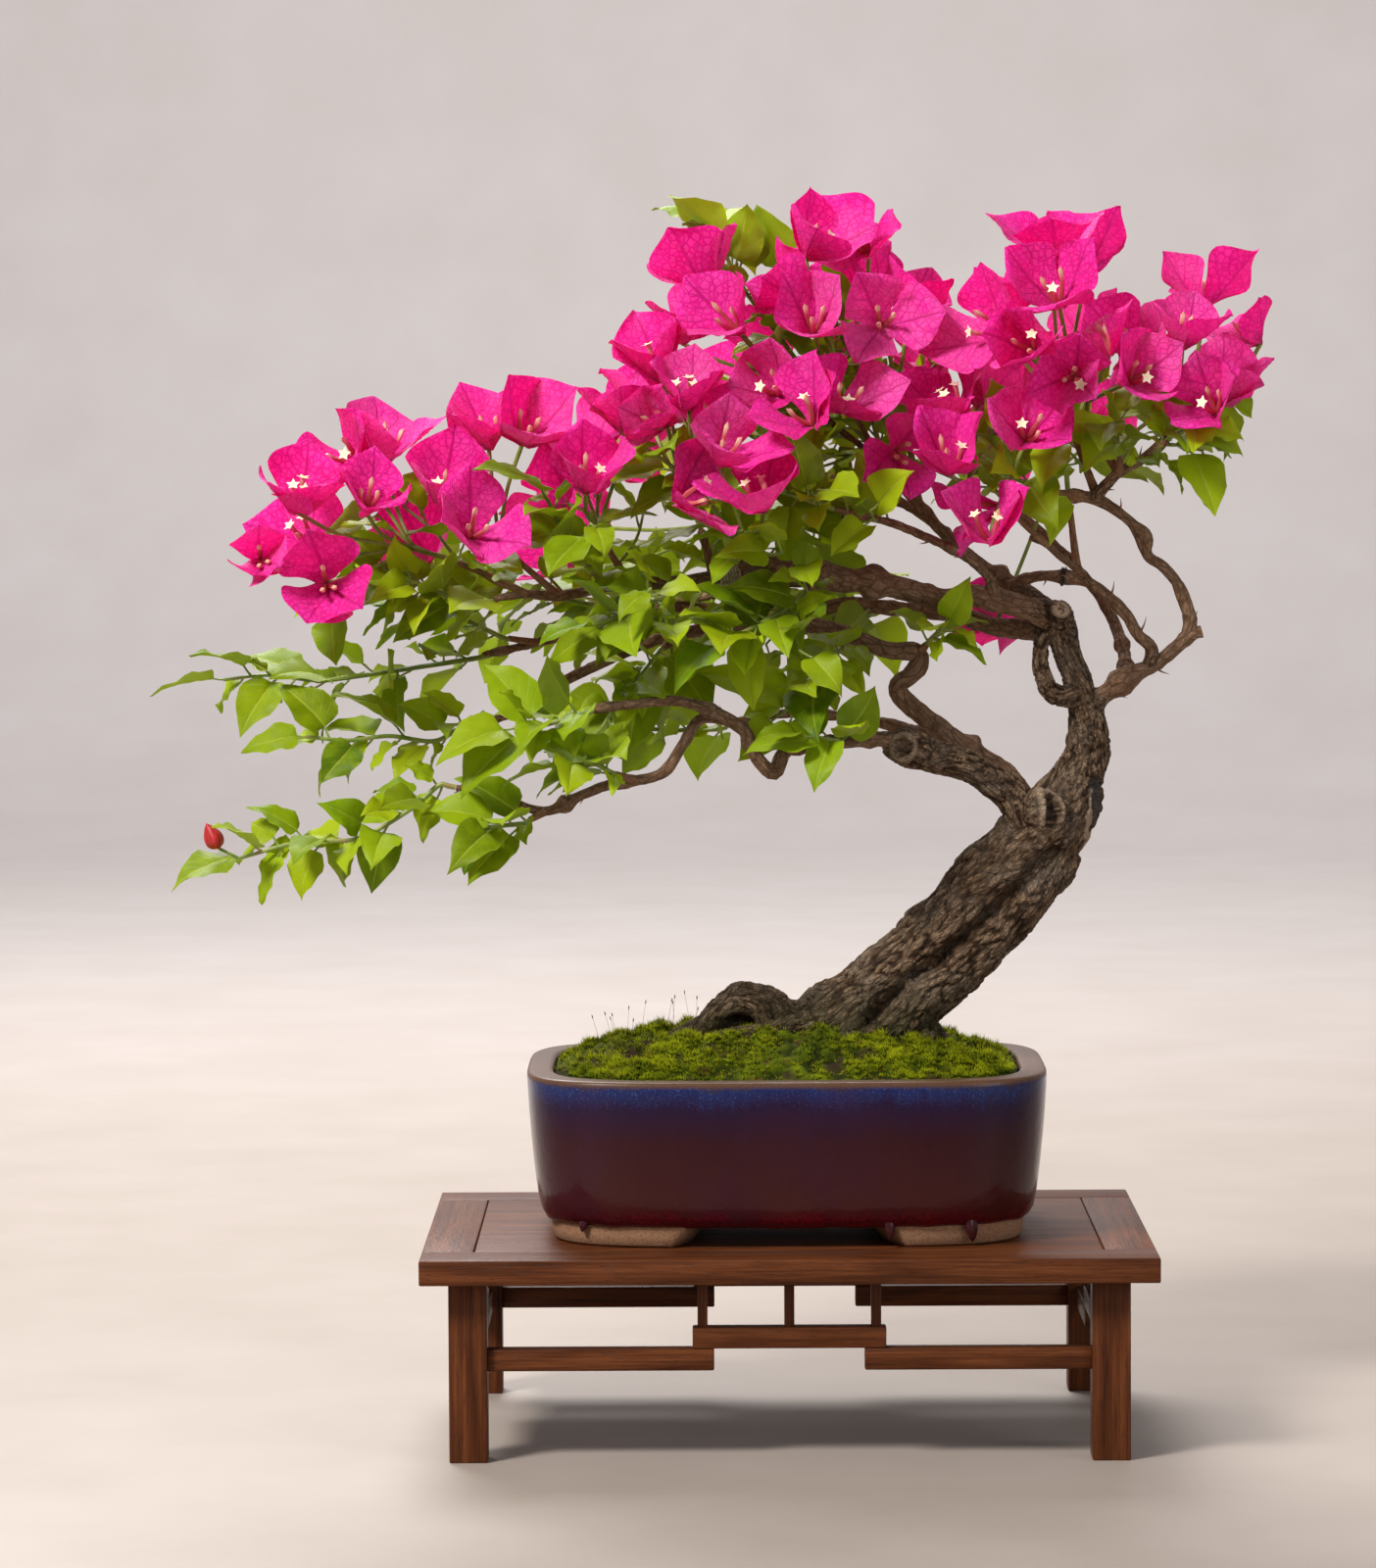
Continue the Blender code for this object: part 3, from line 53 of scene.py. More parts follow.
# Wood: each limb is a list of (x, y, z, radius) points, and starts inside the one it grows from
limbRoutes = {
    "trunk_left_lobe": [(-5, 5, 163, 27), (9, 5, 183, 27), (26, 4, 203, 25), (44, 2, 219, 21),
        (61, 1, 233, 19.5), (82, 0, 254, 19.5), (104, -1, 278, 19.5), (124, -2, 298, 19)],
    "trunk_right_lobe": [(30, -5, 169, 18), (42, -6, 188, 18), (55, -7, 207, 16.5), (69, -7, 222, 15.5),
        (84, -6, 234, 15), (104, -5, 254, 15), (124, -4, 276, 15.5), (139, -3, 298, 15)],
    "upper_trunk": [(114, -2, 285, 21), (130, -2, 301, 21.5), (143, -1, 318, 19), (150, 0, 332, 14.5),
        (155, 1, 348, 12), (153, 1, 366, 9.8), (150, 0, 378, 7.8), (144, -1, 395, 7.5), (141, -2, 406, 8),
        (139, -3, 416, 8)],
    "cut_stub": [(138, -3, 409, 7), (139, -9, 414, 6.2), (140, -15, 418, 5.6)],
    "hollow_stub": [(144, -8, 312, 8), (137, -17, 318, 6.5), (131, -24, 321, 5)],
    "left_root": [(30, 6, 198, 17), (7, 4, 205, 13), (-13, 0, 204, 12.5), (-35, -5, 201, 12),
        (-55, -9, 196, 9.5), (-68, -12, 190, 5)],
    "root_knob": [(6, 2, 204, 9), (-8, -4, 216, 9), (-22, -6, 220, 8.5), (-34, -8, 214, 6.5),
        (-41, -8, 206, 5)],
    "rootlet": [(-30, -10, 213, 3.2), (-39, -13, 215, 2.2), (-44, -14, 210, 1.6), (-46, -14, 204, 1.2)],
    "front_root": [(39, -8, 204, 13), (33, -28, 199, 9), (30, -42, 192, 5.5), (28, -50, 187, 3)],
    "right_root": [(62, 0, 204, 13), (75, 6, 195, 9), (84, 14, 187, 6), (88, 20, 181, 3)],
    "back_root": [(35, 10, 202, 15), (29, 34, 195, 10), (20, 52, 187, 6), (14, 62, 179, 3)],
    "lower_limb": [(133, -6, 293, 11), (116, -13, 321, 9), (102, -19, 334, 8.3), (88, -25, 341, 8),
        (73, -31, 345, 8.5), (64, -35, 349, 10.5), (55, -38, 353, 7.5)],
    "lower_branch": [(62, -36, 350, 5.5), (52, -42, 354, 4), (40, -46, 354, 3.5), (25, -50, 353, 3.3),
        (6, -54, 351, 3.3), (-1, -56, 348, 3.6), (-6, -57, 339, 4), (-13, -58, 344, 3.5),
        (-18, -59, 352, 3.2), (-21, -60, 360, 3), (-33, -62, 368, 2.8), (-53, -66, 375, 2.6),
        (-75, -70, 374, 2.3), (-93, -73, 372, 2)],
    "low_left_branch": [(-20, -60, 360, 3), (-30, -56, 365, 2.8), (-43, -54, 365, 2.8),
        (-52, -56, 352, 2.8), (-63, -58, 338, 2.7), (-88, -60, 333, 2.6), (-102, -60, 328, 2.5),
        (-121, -60, 320, 2.4), (-143, -60, 327, 2), (-163, -60, 332, 1.8)],
    "middle_branch": [(132, 0, 300, 7.5), (115, 3, 330, 6.2), (100, 3, 341, 5.8), (88, 0, 350, 5.6),
        (71, -4, 363, 5.2), (59, -8, 374, 4.8), (58, -10, 380, 4.7), (64, -12, 385, 4.6),
        (68, -14, 390, 4.5), (68, -14, 396, 4.4), (60, -14, 397, 4.2), (50, -12, 398, 4.2),
        (33, -8, 405, 4), (12, -4, 411, 3.9), (-6, 0, 410, 3.7), (-23, 3, 409, 3.5), (-38, 4, 408, 3.3),
        (-64, 5, 403, 3.1), (-89, 4, 393, 2.8), (-116, 0, 380, 2.5), (-132, -6, 369, 2.2),
        (-150, -12, 362, 1.8)],
    "top_branch": [(139, -4, 413, 7), (121, -8, 419, 6), (106, -11, 423, 5.6), (94, -13, 425, 5.6),
        (81, -16, 423, 5.8), (71, -18, 426, 5.6), (56, -22, 430, 5.5), (41, -26, 433, 5.8),
        (28, -29, 434, 6.4), (17, -31, 437, 7), (7, -33, 439, 5.8), (-6, -35, 441, 4.6),
        (-23, -38, 438, 3.8), (-48, -42, 434, 3.2), (-68, -45, 433, 3), (-88, -47, 432, 2.8),
        (-113, -48, 427, 2.5), (-129, -47, 428, 2.2), (-144, -46, 426, 1.8)],
    "second_branch": [(141, 0, 405, 5), (131, 6, 406, 5.4), (120, 11, 407, 5), (106, 19, 408, 4.6),
        (93, 26, 413, 4.3), (76, 34, 415, 4), (53, 42, 417, 3.8), (34, 47, 419, 3.6), (15, 52, 415, 3.4),
        (-5, 56, 412, 3.2), (-28, 59, 415, 3), (-59, 61, 417, 2.8), (-87, 60, 411, 2.6),
        (-117, 56, 402, 2.4), (-137, 52, 397, 2), (-152, 48, 394, 1.8)],
    "crown_branch": [(134, 2, 417, 5), (123, 8, 426, 4.4), (113, 13, 431, 4), (103, 17, 438, 3.6),
        (93, 20, 446, 3.3), (81, 22, 457, 3), (69, 22, 471, 2.7), (58, 20, 482, 2.4), (51, 18, 492, 2)],
    "pale_twig": [(106, -12, 425, 3), (104, -16, 433, 2.5), (100, -19, 438, 2.4), (90, -24, 446, 2.3),
        (74, -30, 454, 2.2), (55, -37, 462, 2.1), (39, -42, 466, 1.9), (29, -45, 467, 1.7)],
    "loop_branch": [(146, -5, 373, 7), (138, -10, 374, 6.6), (133, -13, 379, 6.2), (130, -13, 388, 5.4),
        (130, -10, 397, 5.2), (131, -5, 404, 5.4)],
    "right_branch": [(154, 0, 366, 6), (160, -1, 372, 4.8), (167, -2, 377, 4.3), (177, -3, 384, 4),
        (188, -4, 389, 3.8), (198, -5, 397, 3.6), (206, -6, 404, 3.6), (212, -6, 406, 3.2)],
    "right_riser": [(205, -6, 403, 3.4), (206, -6, 412, 3), (203, -7, 422, 2.9), (199, -8, 431, 2.8),
        (192, -10, 439, 2.8), (184, -12, 445, 2.7), (182, -13, 454, 2.6), (177, -14, 460, 2.6),
        (169, -15, 467, 2.7), (159, -16, 473, 3.2), (151, -17, 475, 2.9), (142, -18, 475, 2.4)],
    "right_arm": [(157, -16, 474, 3.2), (162, -18, 480, 2.8), (169, -20, 487, 2.6), (180, -22, 493, 2.3),
        (189, -24, 499, 1.9)],
    "return_branch": [(186, -4, 388, 3.4), (186, -8, 398, 3.1), (179, -12, 405, 3), (173, -15, 415, 2.9),
        (164, -17, 424, 2.8), (155, -18, 431, 2.7), (144, -17, 434, 2.7), (132, -14, 435, 2.6),
        (122, -6, 433, 2.5), (115, 6, 430, 2.4)],
    "return_twig": [(155, -18, 431, 2.2), (149, -20, 438, 1.9), (140, -22, 444, 1.8), (132, -24, 451, 1.7),
        (124, -26, 455, 1.5)],
    "back_left_branch": [(100, 22, 410, 4.2), (84, 50, 416, 3.7), (62, 74, 423, 3.3), (34, 90, 428, 2.9),
        (3, 99, 428, 2.5), (-28, 103, 423, 2.2), (-51, 104, 419, 1.8)],
    "back_low_branch": [(105, 6, 336, 4.2), (87, 36, 346, 3.6), (61, 62, 354, 3.1), (31, 78, 359, 2.7),
        (0, 86, 360, 2.3), (-25, 88, 356, 1.8)],
    "back_right_branch": [(174, 0, 382, 3.6), (174, 26, 397, 3.2), (167, 50, 417, 2.8), (153, 66, 436, 2.5),
        (136, 74, 454, 2.2), (121, 78, 467, 1.8)],
    "back_crown_branch": [(93, 18, 445, 3), (81, 44, 458, 2.6), (61, 66, 471, 2.3), (37, 80, 480, 2),
        (16, 88, 487, 1.7)],
}

# Leafy shoots: number of leaves, their size, and the route from a limb to the tip
leafyShoots = {
    "low_left": (11, 0.9, [(-156, -60, 330), (-165, -60, 332), (-174, -60, 333), (-187, -61, 322),
        (-201, -62, 315), (-214, -62, 307), (-232, -61, 307), (-253, -60, 303), (-274, -60, 297)]),
    "low_middle": (6, 1.0, [(-121, -60, 320), (-128, -66, 316), (-138, -72, 314), (-150, -76, 313)]),
    "low_inner": (6, 1.05, [(-80, -60, 334), (-85, -70, 339), (-96, -80, 345), (-109, -86, 345)]),
    "left_lower": (8, 0.95, [(-144, -10, 364), (-153, -14, 361), (-165, -18, 359), (-178, -22, 353),
        (-200, -26, 356), (-220, -28, 354), (-242, -30, 356)]),
    "left_middle": (11, 1.0, [(-146, 50, 396), (-155, 46, 393), (-167, 40, 391), (-186, 30, 388),
        (-209, 20, 386), (-229, 10, 383), (-242, 4, 383), (-263, -4, 386), (-285, -8, 384)]),
    "left_upper": (9, 1.0, [(-130, 54, 399), (-142, 46, 402), (-157, 36, 410), (-174, 24, 418),
        (-191, 14, 425), (-205, 6, 431), (-216, 0, 438)]),
    "left_front": (7, 0.95, [(-139, -46, 427), (-146, -47, 425), (-158, -50, 424), (-171, -54, 428),
        (-182, -58, 433), (-192, -62, 437)]),
    "left_rise": (8, 1.0, [(-88, -47, 432), (-96, -56, 439), (-104, -64, 450), (-112, -70, 463),
        (-118, -72, 476)]),
    "green_shoot": (9, 0.95, [(-15, -36, 440), (-20, -44, 445), (-28, -56, 459), (-40, -66, 476),
        (-55, -72, 491), (-69, -76, 501)]),
    "front_fall": (8, 1.1, [(-56, 4, 404), (-62, -16, 399), (-72, -34, 388), (-83, -46, 375),
        (-92, -52, 361)]),
    "branch_tip": (7, 1.05, [(-87, -72, 372), (-96, -75, 371), (-108, -80, 368), (-122, -84, 364),
        (-135, -86, 363)]),
    "under_top": (8, 1.1, [(17, -31, 436), (11, -42, 428), (-1, -54, 420), (-16, -64, 411),
        (-32, -72, 404)]),
    "top_front": (8, 1.0, [(-50, -42, 434), (-58, -54, 428), (-69, -66, 423), (-81, -76, 418),
        (-96, -84, 414)]),
    "inner_front": (7, 1.15, [(33, -8, 405), (28, -22, 399), (20, -34, 388), (10, -42, 378),
        (-1, -46, 368)]),
    "lower_front": (6, 0.9, [(32, -48, 353), (26, -58, 354), (19, -64, 356), (11, -68, 357)]),
    "knee": (4, 0.8, [(67, -14, 395), (72, -20, 401), (77, -24, 407), (80, -28, 410)]),
    "pale_shoot": (8, 1.1, [(35, -44, 467), (25, -50, 470), (12, -58, 474), (-2, -66, 479),
        (-15, -74, 481)]),
    "crown_rise": (8, 1.0, [(54, 19, 487), (50, 16, 497), (46, 10, 512), (41, 4, 529), (34, 0, 548),
        (25, -4, 563)]),
    "top_tip": (9, 0.9, [(58, 20, 482), (43, 24, 502), (20, 24, 528), (-2, 20, 557), (-18, 14, 578),
        (-27, 8, 593), (-30, 4, 603)]),
    "right_inner": (8, 0.95, [(149, -17, 475), (138, -22, 477), (126, -28, 481), (113, -34, 486),
        (102, -38, 494)]),
    "right_tip": (8, 0.9, [(186, -23, 497), (193, -26, 503), (199, -30, 506), (208, -34, 511)]),
    "right_middle": (7, 0.95, [(169, -20, 487), (169, -30, 496), (165, -38, 505), (159, -42, 511)]),
    "back_left": (8, 1.05, [(-45, 104, 420), (-55, 104, 419), (-74, 100, 417), (-96, 94, 417),
        (-118, 88, 421), (-138, 82, 426)]),
    "back_low": (7, 1.05, [(-20, 88, 357), (-29, 88, 354), (-45, 86, 352), (-65, 82, 352), (-87, 76, 354)]),
    "back_middle": (7, 1.05, [(34, 90, 428), (27, 94, 438), (15, 94, 452), (-2, 92, 464), (-20, 86, 473)]),
    "back_right": (7, 0.95, [(126, 76, 462), (118, 80, 470), (106, 82, 482), (95, 80, 496), (85, 74, 512)]),
    "back_crown": (7, 1.0, [(20, 87, 486), (12, 90, 490), (-4, 92, 499), (-22, 88, 508), (-43, 80, 512)]),
}

# Bloom clusters: the twig's route from a limb to its fork, and the middle of each bloom
bloomClusters = {
    "far_left": ([(-129, -47, 428), (-163, -52, 444), (-188, -58, 452)], [(-197, -34, 510),
        (-223, -52, 504), (-237, -74, 484), (-207, -86, 480), (-245, -52, 462), (-254, -78, 445),
        (-231, -92, 441)]),
    "left": ([(-113, -48, 427), (-134, -42, 445), (-145, -44, 457)], [(-170, -62, 486), (-151, -92, 467),
        (-149, -46, 515), (-126, -70, 514), (-185, -20, 457)]),
    "left_middle": ([(-80, -46, 433), (-89, -34, 451), (-94, -36, 464)], [(-104, -30, 510), (-82, -56, 515),
        (-98, -92, 491), (-120, -26, 484)]),
    "middle_left": ([(-31, -39, 437), (-42, -30, 459), (-50, -30, 479)], [(-66, -40, 547), (-50, -70, 533),
        (-75, -16, 527), (-69, -88, 509), (-33, -40, 519)]),
    "middle_front": ([(-6, -35, 441), (-15, -52, 452), (-22, -66, 460)], [(-14, -98, 484), (-46, -95, 478),
        (-27, -94, 504), (-33, -102, 456)]),
    "top_left": ([(43, 24, 502), (10, -4, 524), (-6, -16, 539)], [(-44, -20, 594), (-55, -4, 573),
        (-32, -46, 567), (-12, -62, 535), (4, -92, 524)]),
    "top": ([(51, 18, 492), (35, -8, 519), (27, -18, 543)], [(20, -30, 609), (38, -12, 603), (2, -34, 586),
        (15, -62, 569), (33, -66, 526)]),
    "top_dark": ([(69, 22, 471), (63, 4, 508), (56, 0, 534)], [(66, -20, 577), (48, -50, 567),
        (40, 22, 586), (76, 14, 549)]),
    "centre_right": ([(90, -24, 446), (92, -26, 468), (93, -28, 484)], [(82, -36, 530), (104, -14, 531),
        (82, -74, 502), (61, -60, 494)]),
    "hanging": ([(128, -25, 453), (117, -44, 465), (110, -58, 480)], [(99, -84, 467), (122, -62, 510),
        (90, -40, 469)]),
    "right_top": ([(159, -16, 473), (148, -4, 504), (141, -2, 529)], [(134, -10, 609), (133, -40, 584),
        (113, -14, 575), (103, -50, 556), (118, -84, 555), (150, 26, 604)]),
    "right_stalk": ([(169, -20, 487), (155, -10, 509), (154, -14, 525)], [(149, -42, 563), (173, -12, 559),
        (177, -50, 540), (145, -70, 535)]),
    "far_right": ([(180, -22, 493), (199, -10, 511), (207, -8, 524)], [(213, -6, 585), (202, -40, 563),
        (226, 16, 570), (208, -46, 528), (224, -14, 533)]),
    "back_left": ([(3, 99, 428), (-15, 86, 448), (-30, 80, 462)], [(-103, 92, 466), (-72, 98, 492),
        (-36, 104, 488), (-122, 66, 447), (-56, 60, 528)]),
    "back_top": ([(37, 80, 480), (31, 62, 508), (26, 56, 528)], [(0, 60, 564), (32, 52, 573),
        (-20, 88, 538), (32, 104, 528), (67, 92, 528)]),
    "back_right": ([(153, 66, 436), (148, 60, 477), (146, 54, 503)], [(122, 56, 538), (158, 66, 559),
        (119, 104, 507), (165, 92, 513), (193, 50, 528), (106, 40, 413)]),
}

# How leaves and blooms grow, with the same numbers and the same order of draws as the solids
growth = {
    "leafLength": (27.0, 40.0),
    "leafWidth": (0.62, 0.76),
    "leafProfile": (0.55, 1.1),
    "leafTurn": 2.4,
    "leafTries": 26,
    "bractLength": (35.0, 42.0),
    "bractWidth": (0.84, 0.96),
    "bractProfile": (0.6, 0.72),
    "bloomTries": 60,
    "crownReach": (252.0, -126.4, 633.0),  # no bract goes further right, forward or up
    "rimSteps": (0.26, 0.64),
    "midStep": 0.42,
    "clearance": 1.4,
    "petiole": 0.9,
    "stalk": 1.0,
    "twig": (2.4, 1.5),
    "shoot": 1.4,
    "shootTaper": 0.6,
    "twigSlack": 2.0,
    "shootSlack": 1.3,
    "gap": 0.3,
    "budBase": (-284.0, -60.0, 302.0),
    "budTip": (-290.0, -62.0, 315.0),
    "budRadius": 5.2,
}


def smoothRoute(points, spacing):
    knots = [Vector(p) for p in points]
    knots = [2 * knots[0] - knots[1]] + knots + [2 * knots[-1] - knots[-2]]
    route = []
    for before, start, end, after in zip(knots, knots[1:], knots[2:], knots[3:]):
        steps = max(1, round((end - start).length / spacing))
        for step in range(steps):
            t = step / steps
            route.append(0.5 * (
                2 * start
                + (end - before) * t
                + (2 * before - 5 * start + 4 * end - after) * t ** 2
                + (3 * start - before - 3 * end + after) * t ** 3
            ))
    route.append(knots[-2])
    return route


def straightened(route, slack):
    start, end = Vector(route[0][:3]), Vector(route[-1][:3])
    line = end - start
    worst, index = 0.0, 0
    for number in range(1, len(route) - 1):
        place = Vector(route[number][:3]) - start
        share = max(0.0, min(1.0, place.dot(line) / line.length_squared))
        taper = route[0][3] + (route[-1][3] - route[0][3]) * share
        off = (place - line * share).length + abs(route[number][3] - taper)
        if off > worst:
            worst, index = off, number
    if worst <= slack:
        return [route[0], route[-1]]
    return straightened(route[:index + 1], slack)[:-1] + straightened(route[index:], slack)


def tangentsOf(centres):
    ends = list(zip([centres[0]] + centres[:-1], centres[1:] + [centres[-1]]))
    return [(ahead - behind).normalized() for behind, ahead in ends]


def distances(centres):
    # how far along a line each of its points lies
    result = [0.0]
    for before, after in zip(centres, centres[1:]):
        result.append(result[-1] + (after - before).length)
    return result


def squareTo(axis):
    side = axis.orthogonal().normalized()
    return side, axis.cross(side)


def spokeAt(side, other, angle):
    return side * math.cos(angle) + other * math.sin(angle)


def quads(rings, around, inward=False):
    # the faces between closed rings of points that follow each other
    faces = []
    for low in range(0, (rings - 1) * around, around):
        for corner in range(around):
            after = (corner + 1) % around
            face = (low + corner, low + after, low + around + after, low + around + corner)
            faces.append((face[0], face[3], face[2], face[1]) if inward else face)
    return faces


def fanned(loop, tip):
    # triangles from a closed loop of points to one point
    return [(point, after, tip) for point, after in zip(loop, [*loop[1:], loop[0]])]


def tube(route, sides, phase=0.0, knobbly=0.0):
    centres = [Vector(p[:3]) for p in route]
    directions = tangentsOf(centres)
    side = directions[0].orthogonal().normalized()
    points, faces = [], []
    for ring, (centre, direction, place) in enumerate(zip(centres, directions, route)):
        side = (side - direction * side.dot(direction)).normalized()
        other = direction.cross(side)
        for corner in range(sides):
            spoke = spokeAt(side, other, phase + 2 * math.pi * corner / sides)
            bump = 1.0 + knobbly * noise.noise((centre + spoke * place[3]) / 14) if knobbly else 1.0
            points.append(centre + spoke * (place[3] * bump))
        if ring:
            low = (ring - 1) * sides
            for corner in range(sides):
                after = (corner + 1) % sides
                faces.append([low + corner, low + after, low + sides + after])
                faces.append([low + corner, low + sides + after, low + sides + corner])
    faces.append(list(range(sides))[::-1])
    faces.append(list(range(len(points) - sides, len(points))))
    return points, faces


def stemRing(route, phase):
    return tube(route[1:], 3, phase)[0][-3:]


def profile(t, shape):
    rise, fall = shape
    peak = rise / (rise + fall)
    widest = peak ** rise * (1 - peak) ** fall
    return t ** rise * (1 - t) ** fall / widest


class Blade:
    # a leaf or bract as a curved surface: t runs from base to tip, s across from -1 to 1
    def __init__(self, root, along, up, length, width, shape, curl, fold, cup, wave, phase, room=9.0):
        self.root, self.along = root, along.normalized()
        self.side = self.along.cross(up).normalized()
        self.up = self.side.cross(self.along)
        self.length, self.width, self.shape, self.room = length, width, shape, room
        self.curl, self.fold, self.cup, self.wave, self.phase = curl, fold, cup, wave, phase

    def point(self, t, s, widen=1.0):
        half = self.width / 2 * profile(min(t, 1.0), self.shape) * widen
        half = min(half, self.room * self.length * t)
        ripple = math.sin(7.5 * t + self.phase + (1.9 if s > 0 else 0.0))
        lift = self.curl * self.length * t * t
        lift += (self.fold * abs(s) + self.cup * s * s) * half
        lift += self.wave * ripple * s * s
        return self.root + self.along * self.length * t + self.side * s * half + self.up * lift


def envelope(blade, start=0.1):
    # a closed slab a little larger than the blade, which keeps its neighbours clear of it
    steps = growth["rimSteps"]
    rim = [blade.point(t, -1, 1.08) for t in (start, *steps)]
    rim += [blade.point(1.0, 0) + blade.along * 1.2]
    rim += [blade.point(t, 1, 1.08) for t in (*reversed(steps), start)]
    count = len(rim)
    lift = blade.up * growth["clearance"]
    middle = blade.point(growth["midStep"], 0)
    points = [p + lift for p in rim] + [p - lift for p in rim] + [middle + lift, middle - lift]
    faces = fanned(range(count), 2 * count) + fanned(range(count, 2 * count)[::-1], 2 * count + 1)
    for index in range(count):
        after = (index + 1) % count
        faces += [(index, index + count, after), (after, index + count, after + count)]
    return points, faces


class Crowd:
    # what already stands in the crown, so that nothing new is placed through it
    def __init__(self):
        self.items = []

    def reach(self, solid):
        points = solid[0]
        centre = sum(points, Vector((0, 0, 0))) / len(points)
        return centre, max((p - centre).length for p in points)

    def add(self, solid, owner):
        centre, radius = self.reach(solid)
        self.items.append((centre, radius, BVHTree.FromPolygons(*solid), owner))

    def isClear(self, solid, ignore=None):
        centre, radius = self.reach(solid)
        tree = None
        for other, size, otherTree, owner in self.items:
            if owner == ignore or (other - centre).length > size + radius:
                continue
            tree = tree or BVHTree.FromPolygons(*solid)
            if tree.overlap(otherTree):
                return False
        return True


def aside(axis, angle):
    # a direction square to an axis
    return Matrix.Rotation(angle, 3, axis) @ axis.orthogonal().normalized()


def nearestOn(route, place):
    return min(route, key=lambda p: (Vector(p[:3]) - Vector(place)).length)


def endOf(route):
    # the last place of a route and the way it runs there
    end, before = Vector(route[-1][:3]), Vector(route[-2][:3])
    return end, (end - before).normalized()


def scatter(draw, amount):
    return Vector((draw.uniform(-1, 1), draw.uniform(-1, 1), draw.uniform(-1, 1))) * amount


def tryLeaf(draw, foot, tangent, radial, size, spread):
    out = Vector((-0.2, max(-1.0, min(1.0, foot.y / 45)), 0.0))
    stem = tangent * 0.6 + radial * 0.9 + Vector((0, 0, 0.25)) + scatter(draw, 0.25 + spread)
    stem.normalize()
    face = Vector((0, 0, 0.8)) + out * 0.6 + stem * 0.1 + scatter(draw, 0.45 + spread)
    along = stem * 0.9 + out * 0.25 + Vector((-0.1, 0, -0.15)) + scatter(draw, 0.2 + spread)
    length = draw.uniform(*growth["leafLength"]) * size
    root = foot + stem * draw.uniform(5.0, 8.0)
    return Blade(
        root, along, face, length, length * draw.uniform(*growth["leafWidth"]), growth["leafProfile"],
        curl=draw.uniform(-0.3, -0.02), fold=draw.uniform(0.12, 0.38), cup=0.0,
        wave=draw.uniform(0.6, 1.8), phase=draw.uniform(0, twoPi),
    )


def shootLeaves(name, route, count, size, crowd):
    centres = [Vector(p[:3]) for p in route]
    lengths, directions = distances(centres), tangentsOf(centres)
    draw = random.Random(name)
    azimuth = draw.uniform(0, twoPi)
    leaves = []
    for number in range(count):
        reach = lengths[-1] * (0.06 + 0.93 * number / (count - 1))
        index = max(i for i, length in enumerate(lengths[:-1]) if length <= reach)
        part = (reach - lengths[index]) / (lengths[index + 1] - lengths[index])
        foot = centres[index].lerp(centres[index + 1], part)
        tangent = directions[index].lerp(directions[index + 1], part).normalized()
        azimuth += growth["leafTurn"]
        for attempt in range(growth["leafTries"]):
            spread = attempt * 0.035
            turn = azimuth + draw.uniform(-0.5, 0.5) * (1 + attempt * 0.25)
            radial = aside(tangent, turn) if number < count - 1 else tangent
            shrink = 1.0 if attempt < growth["leafTries"] / 2 else 0.8
            blade = tryLeaf(draw, foot, tangent, radial, size * shrink, spread)
            slab = envelope(blade)
            stem = tube([(*foot, growth["petiole"]), (*blade.root, growth["petiole"])], 3)
            if crowd.isClear(slab) and crowd.isClear(stem, ignore=name):
                crowd.add(slab, name)
                leaves.append((blade, foot))
                break
    return leaves


def budTube(route):
    base, tip = Vector(growth["budBase"]), Vector(growth["budTip"])
    places = [(*nearestOn(route, base)[:3], growth["petiole"]), (*base, growth["petiole"])]
    for share, fullness in ((0.25, 0.85), (0.55, 1.0), (0.82, 0.6), (1.0, 0.1)):
        places.append((*base.lerp(tip, share), growth["budRadius"] * fullness))
    return places


def bractBlades(draw, base, axis, ring, length):
    flare = math.radians(draw.uniform(38, 60))
    blades = []
    for index in range(3):
        edge = (ring[index] + ring[(index + 1) % 3]) / 2
        spoke = (edge - base) - axis * (edge - base).dot(axis)
        spoke.normalize()
        lean = flare + draw.uniform(-0.16, 0.16)
        along = axis * math.cos(lean) + spoke * math.sin(lean)
        up = axis * math.sin(lean) - spoke * math.cos(lean)
        size = length * draw.uniform(0.92, 1.06)
        blades.append(Blade(
            edge, along, up, size, size * draw.uniform(*growth["bractWidth"]), growth["bractProfile"],
            curl=draw.uniform(0.1, 0.3), fold=draw.uniform(0.0, 0.15), cup=draw.uniform(0.05, 0.35),
            wave=draw.uniform(0.6, 2.0), phase=draw.uniform(0, twoPi), room=1.0,
        ))
    return blades


def makeBloom(draw, fork, centre, spread):
    outward = (centre - fork).normalized()
    out = Vector((0, max(-1.0, min(1.0, centre.y / 70)), 1.0))
    axis = (outward * 0.5 + out * 0.6 + scatter(draw, 0.5 + spread)).normalized()
    length = draw.uniform(*growth["bractLength"]) * (0.86 if spread > 0.4 else 1.0)
    place = centre + scatter(draw, 1.5 + 14 * spread)
    base = place - axis * length * 0.42
    bend = fork.lerp(base, 0.55) - axis * 3 + scatter(draw, 3)
    stalk = growth["stalk"]
    route = smoothRoute([(*fork, stalk), (*bend, stalk), (*base, stalk * 1.15)], 60)
    phase = draw.uniform(0, twoPi / 3)
    blades = bractBlades(draw, base, axis, stemRing(route, phase), length)
    return route, blades, base, axis, length


def withinReach(solid):
    right, front, top = growth["crownReach"]
    return all(p.x < right and p.y > front and p.z < top for p in solid[0])


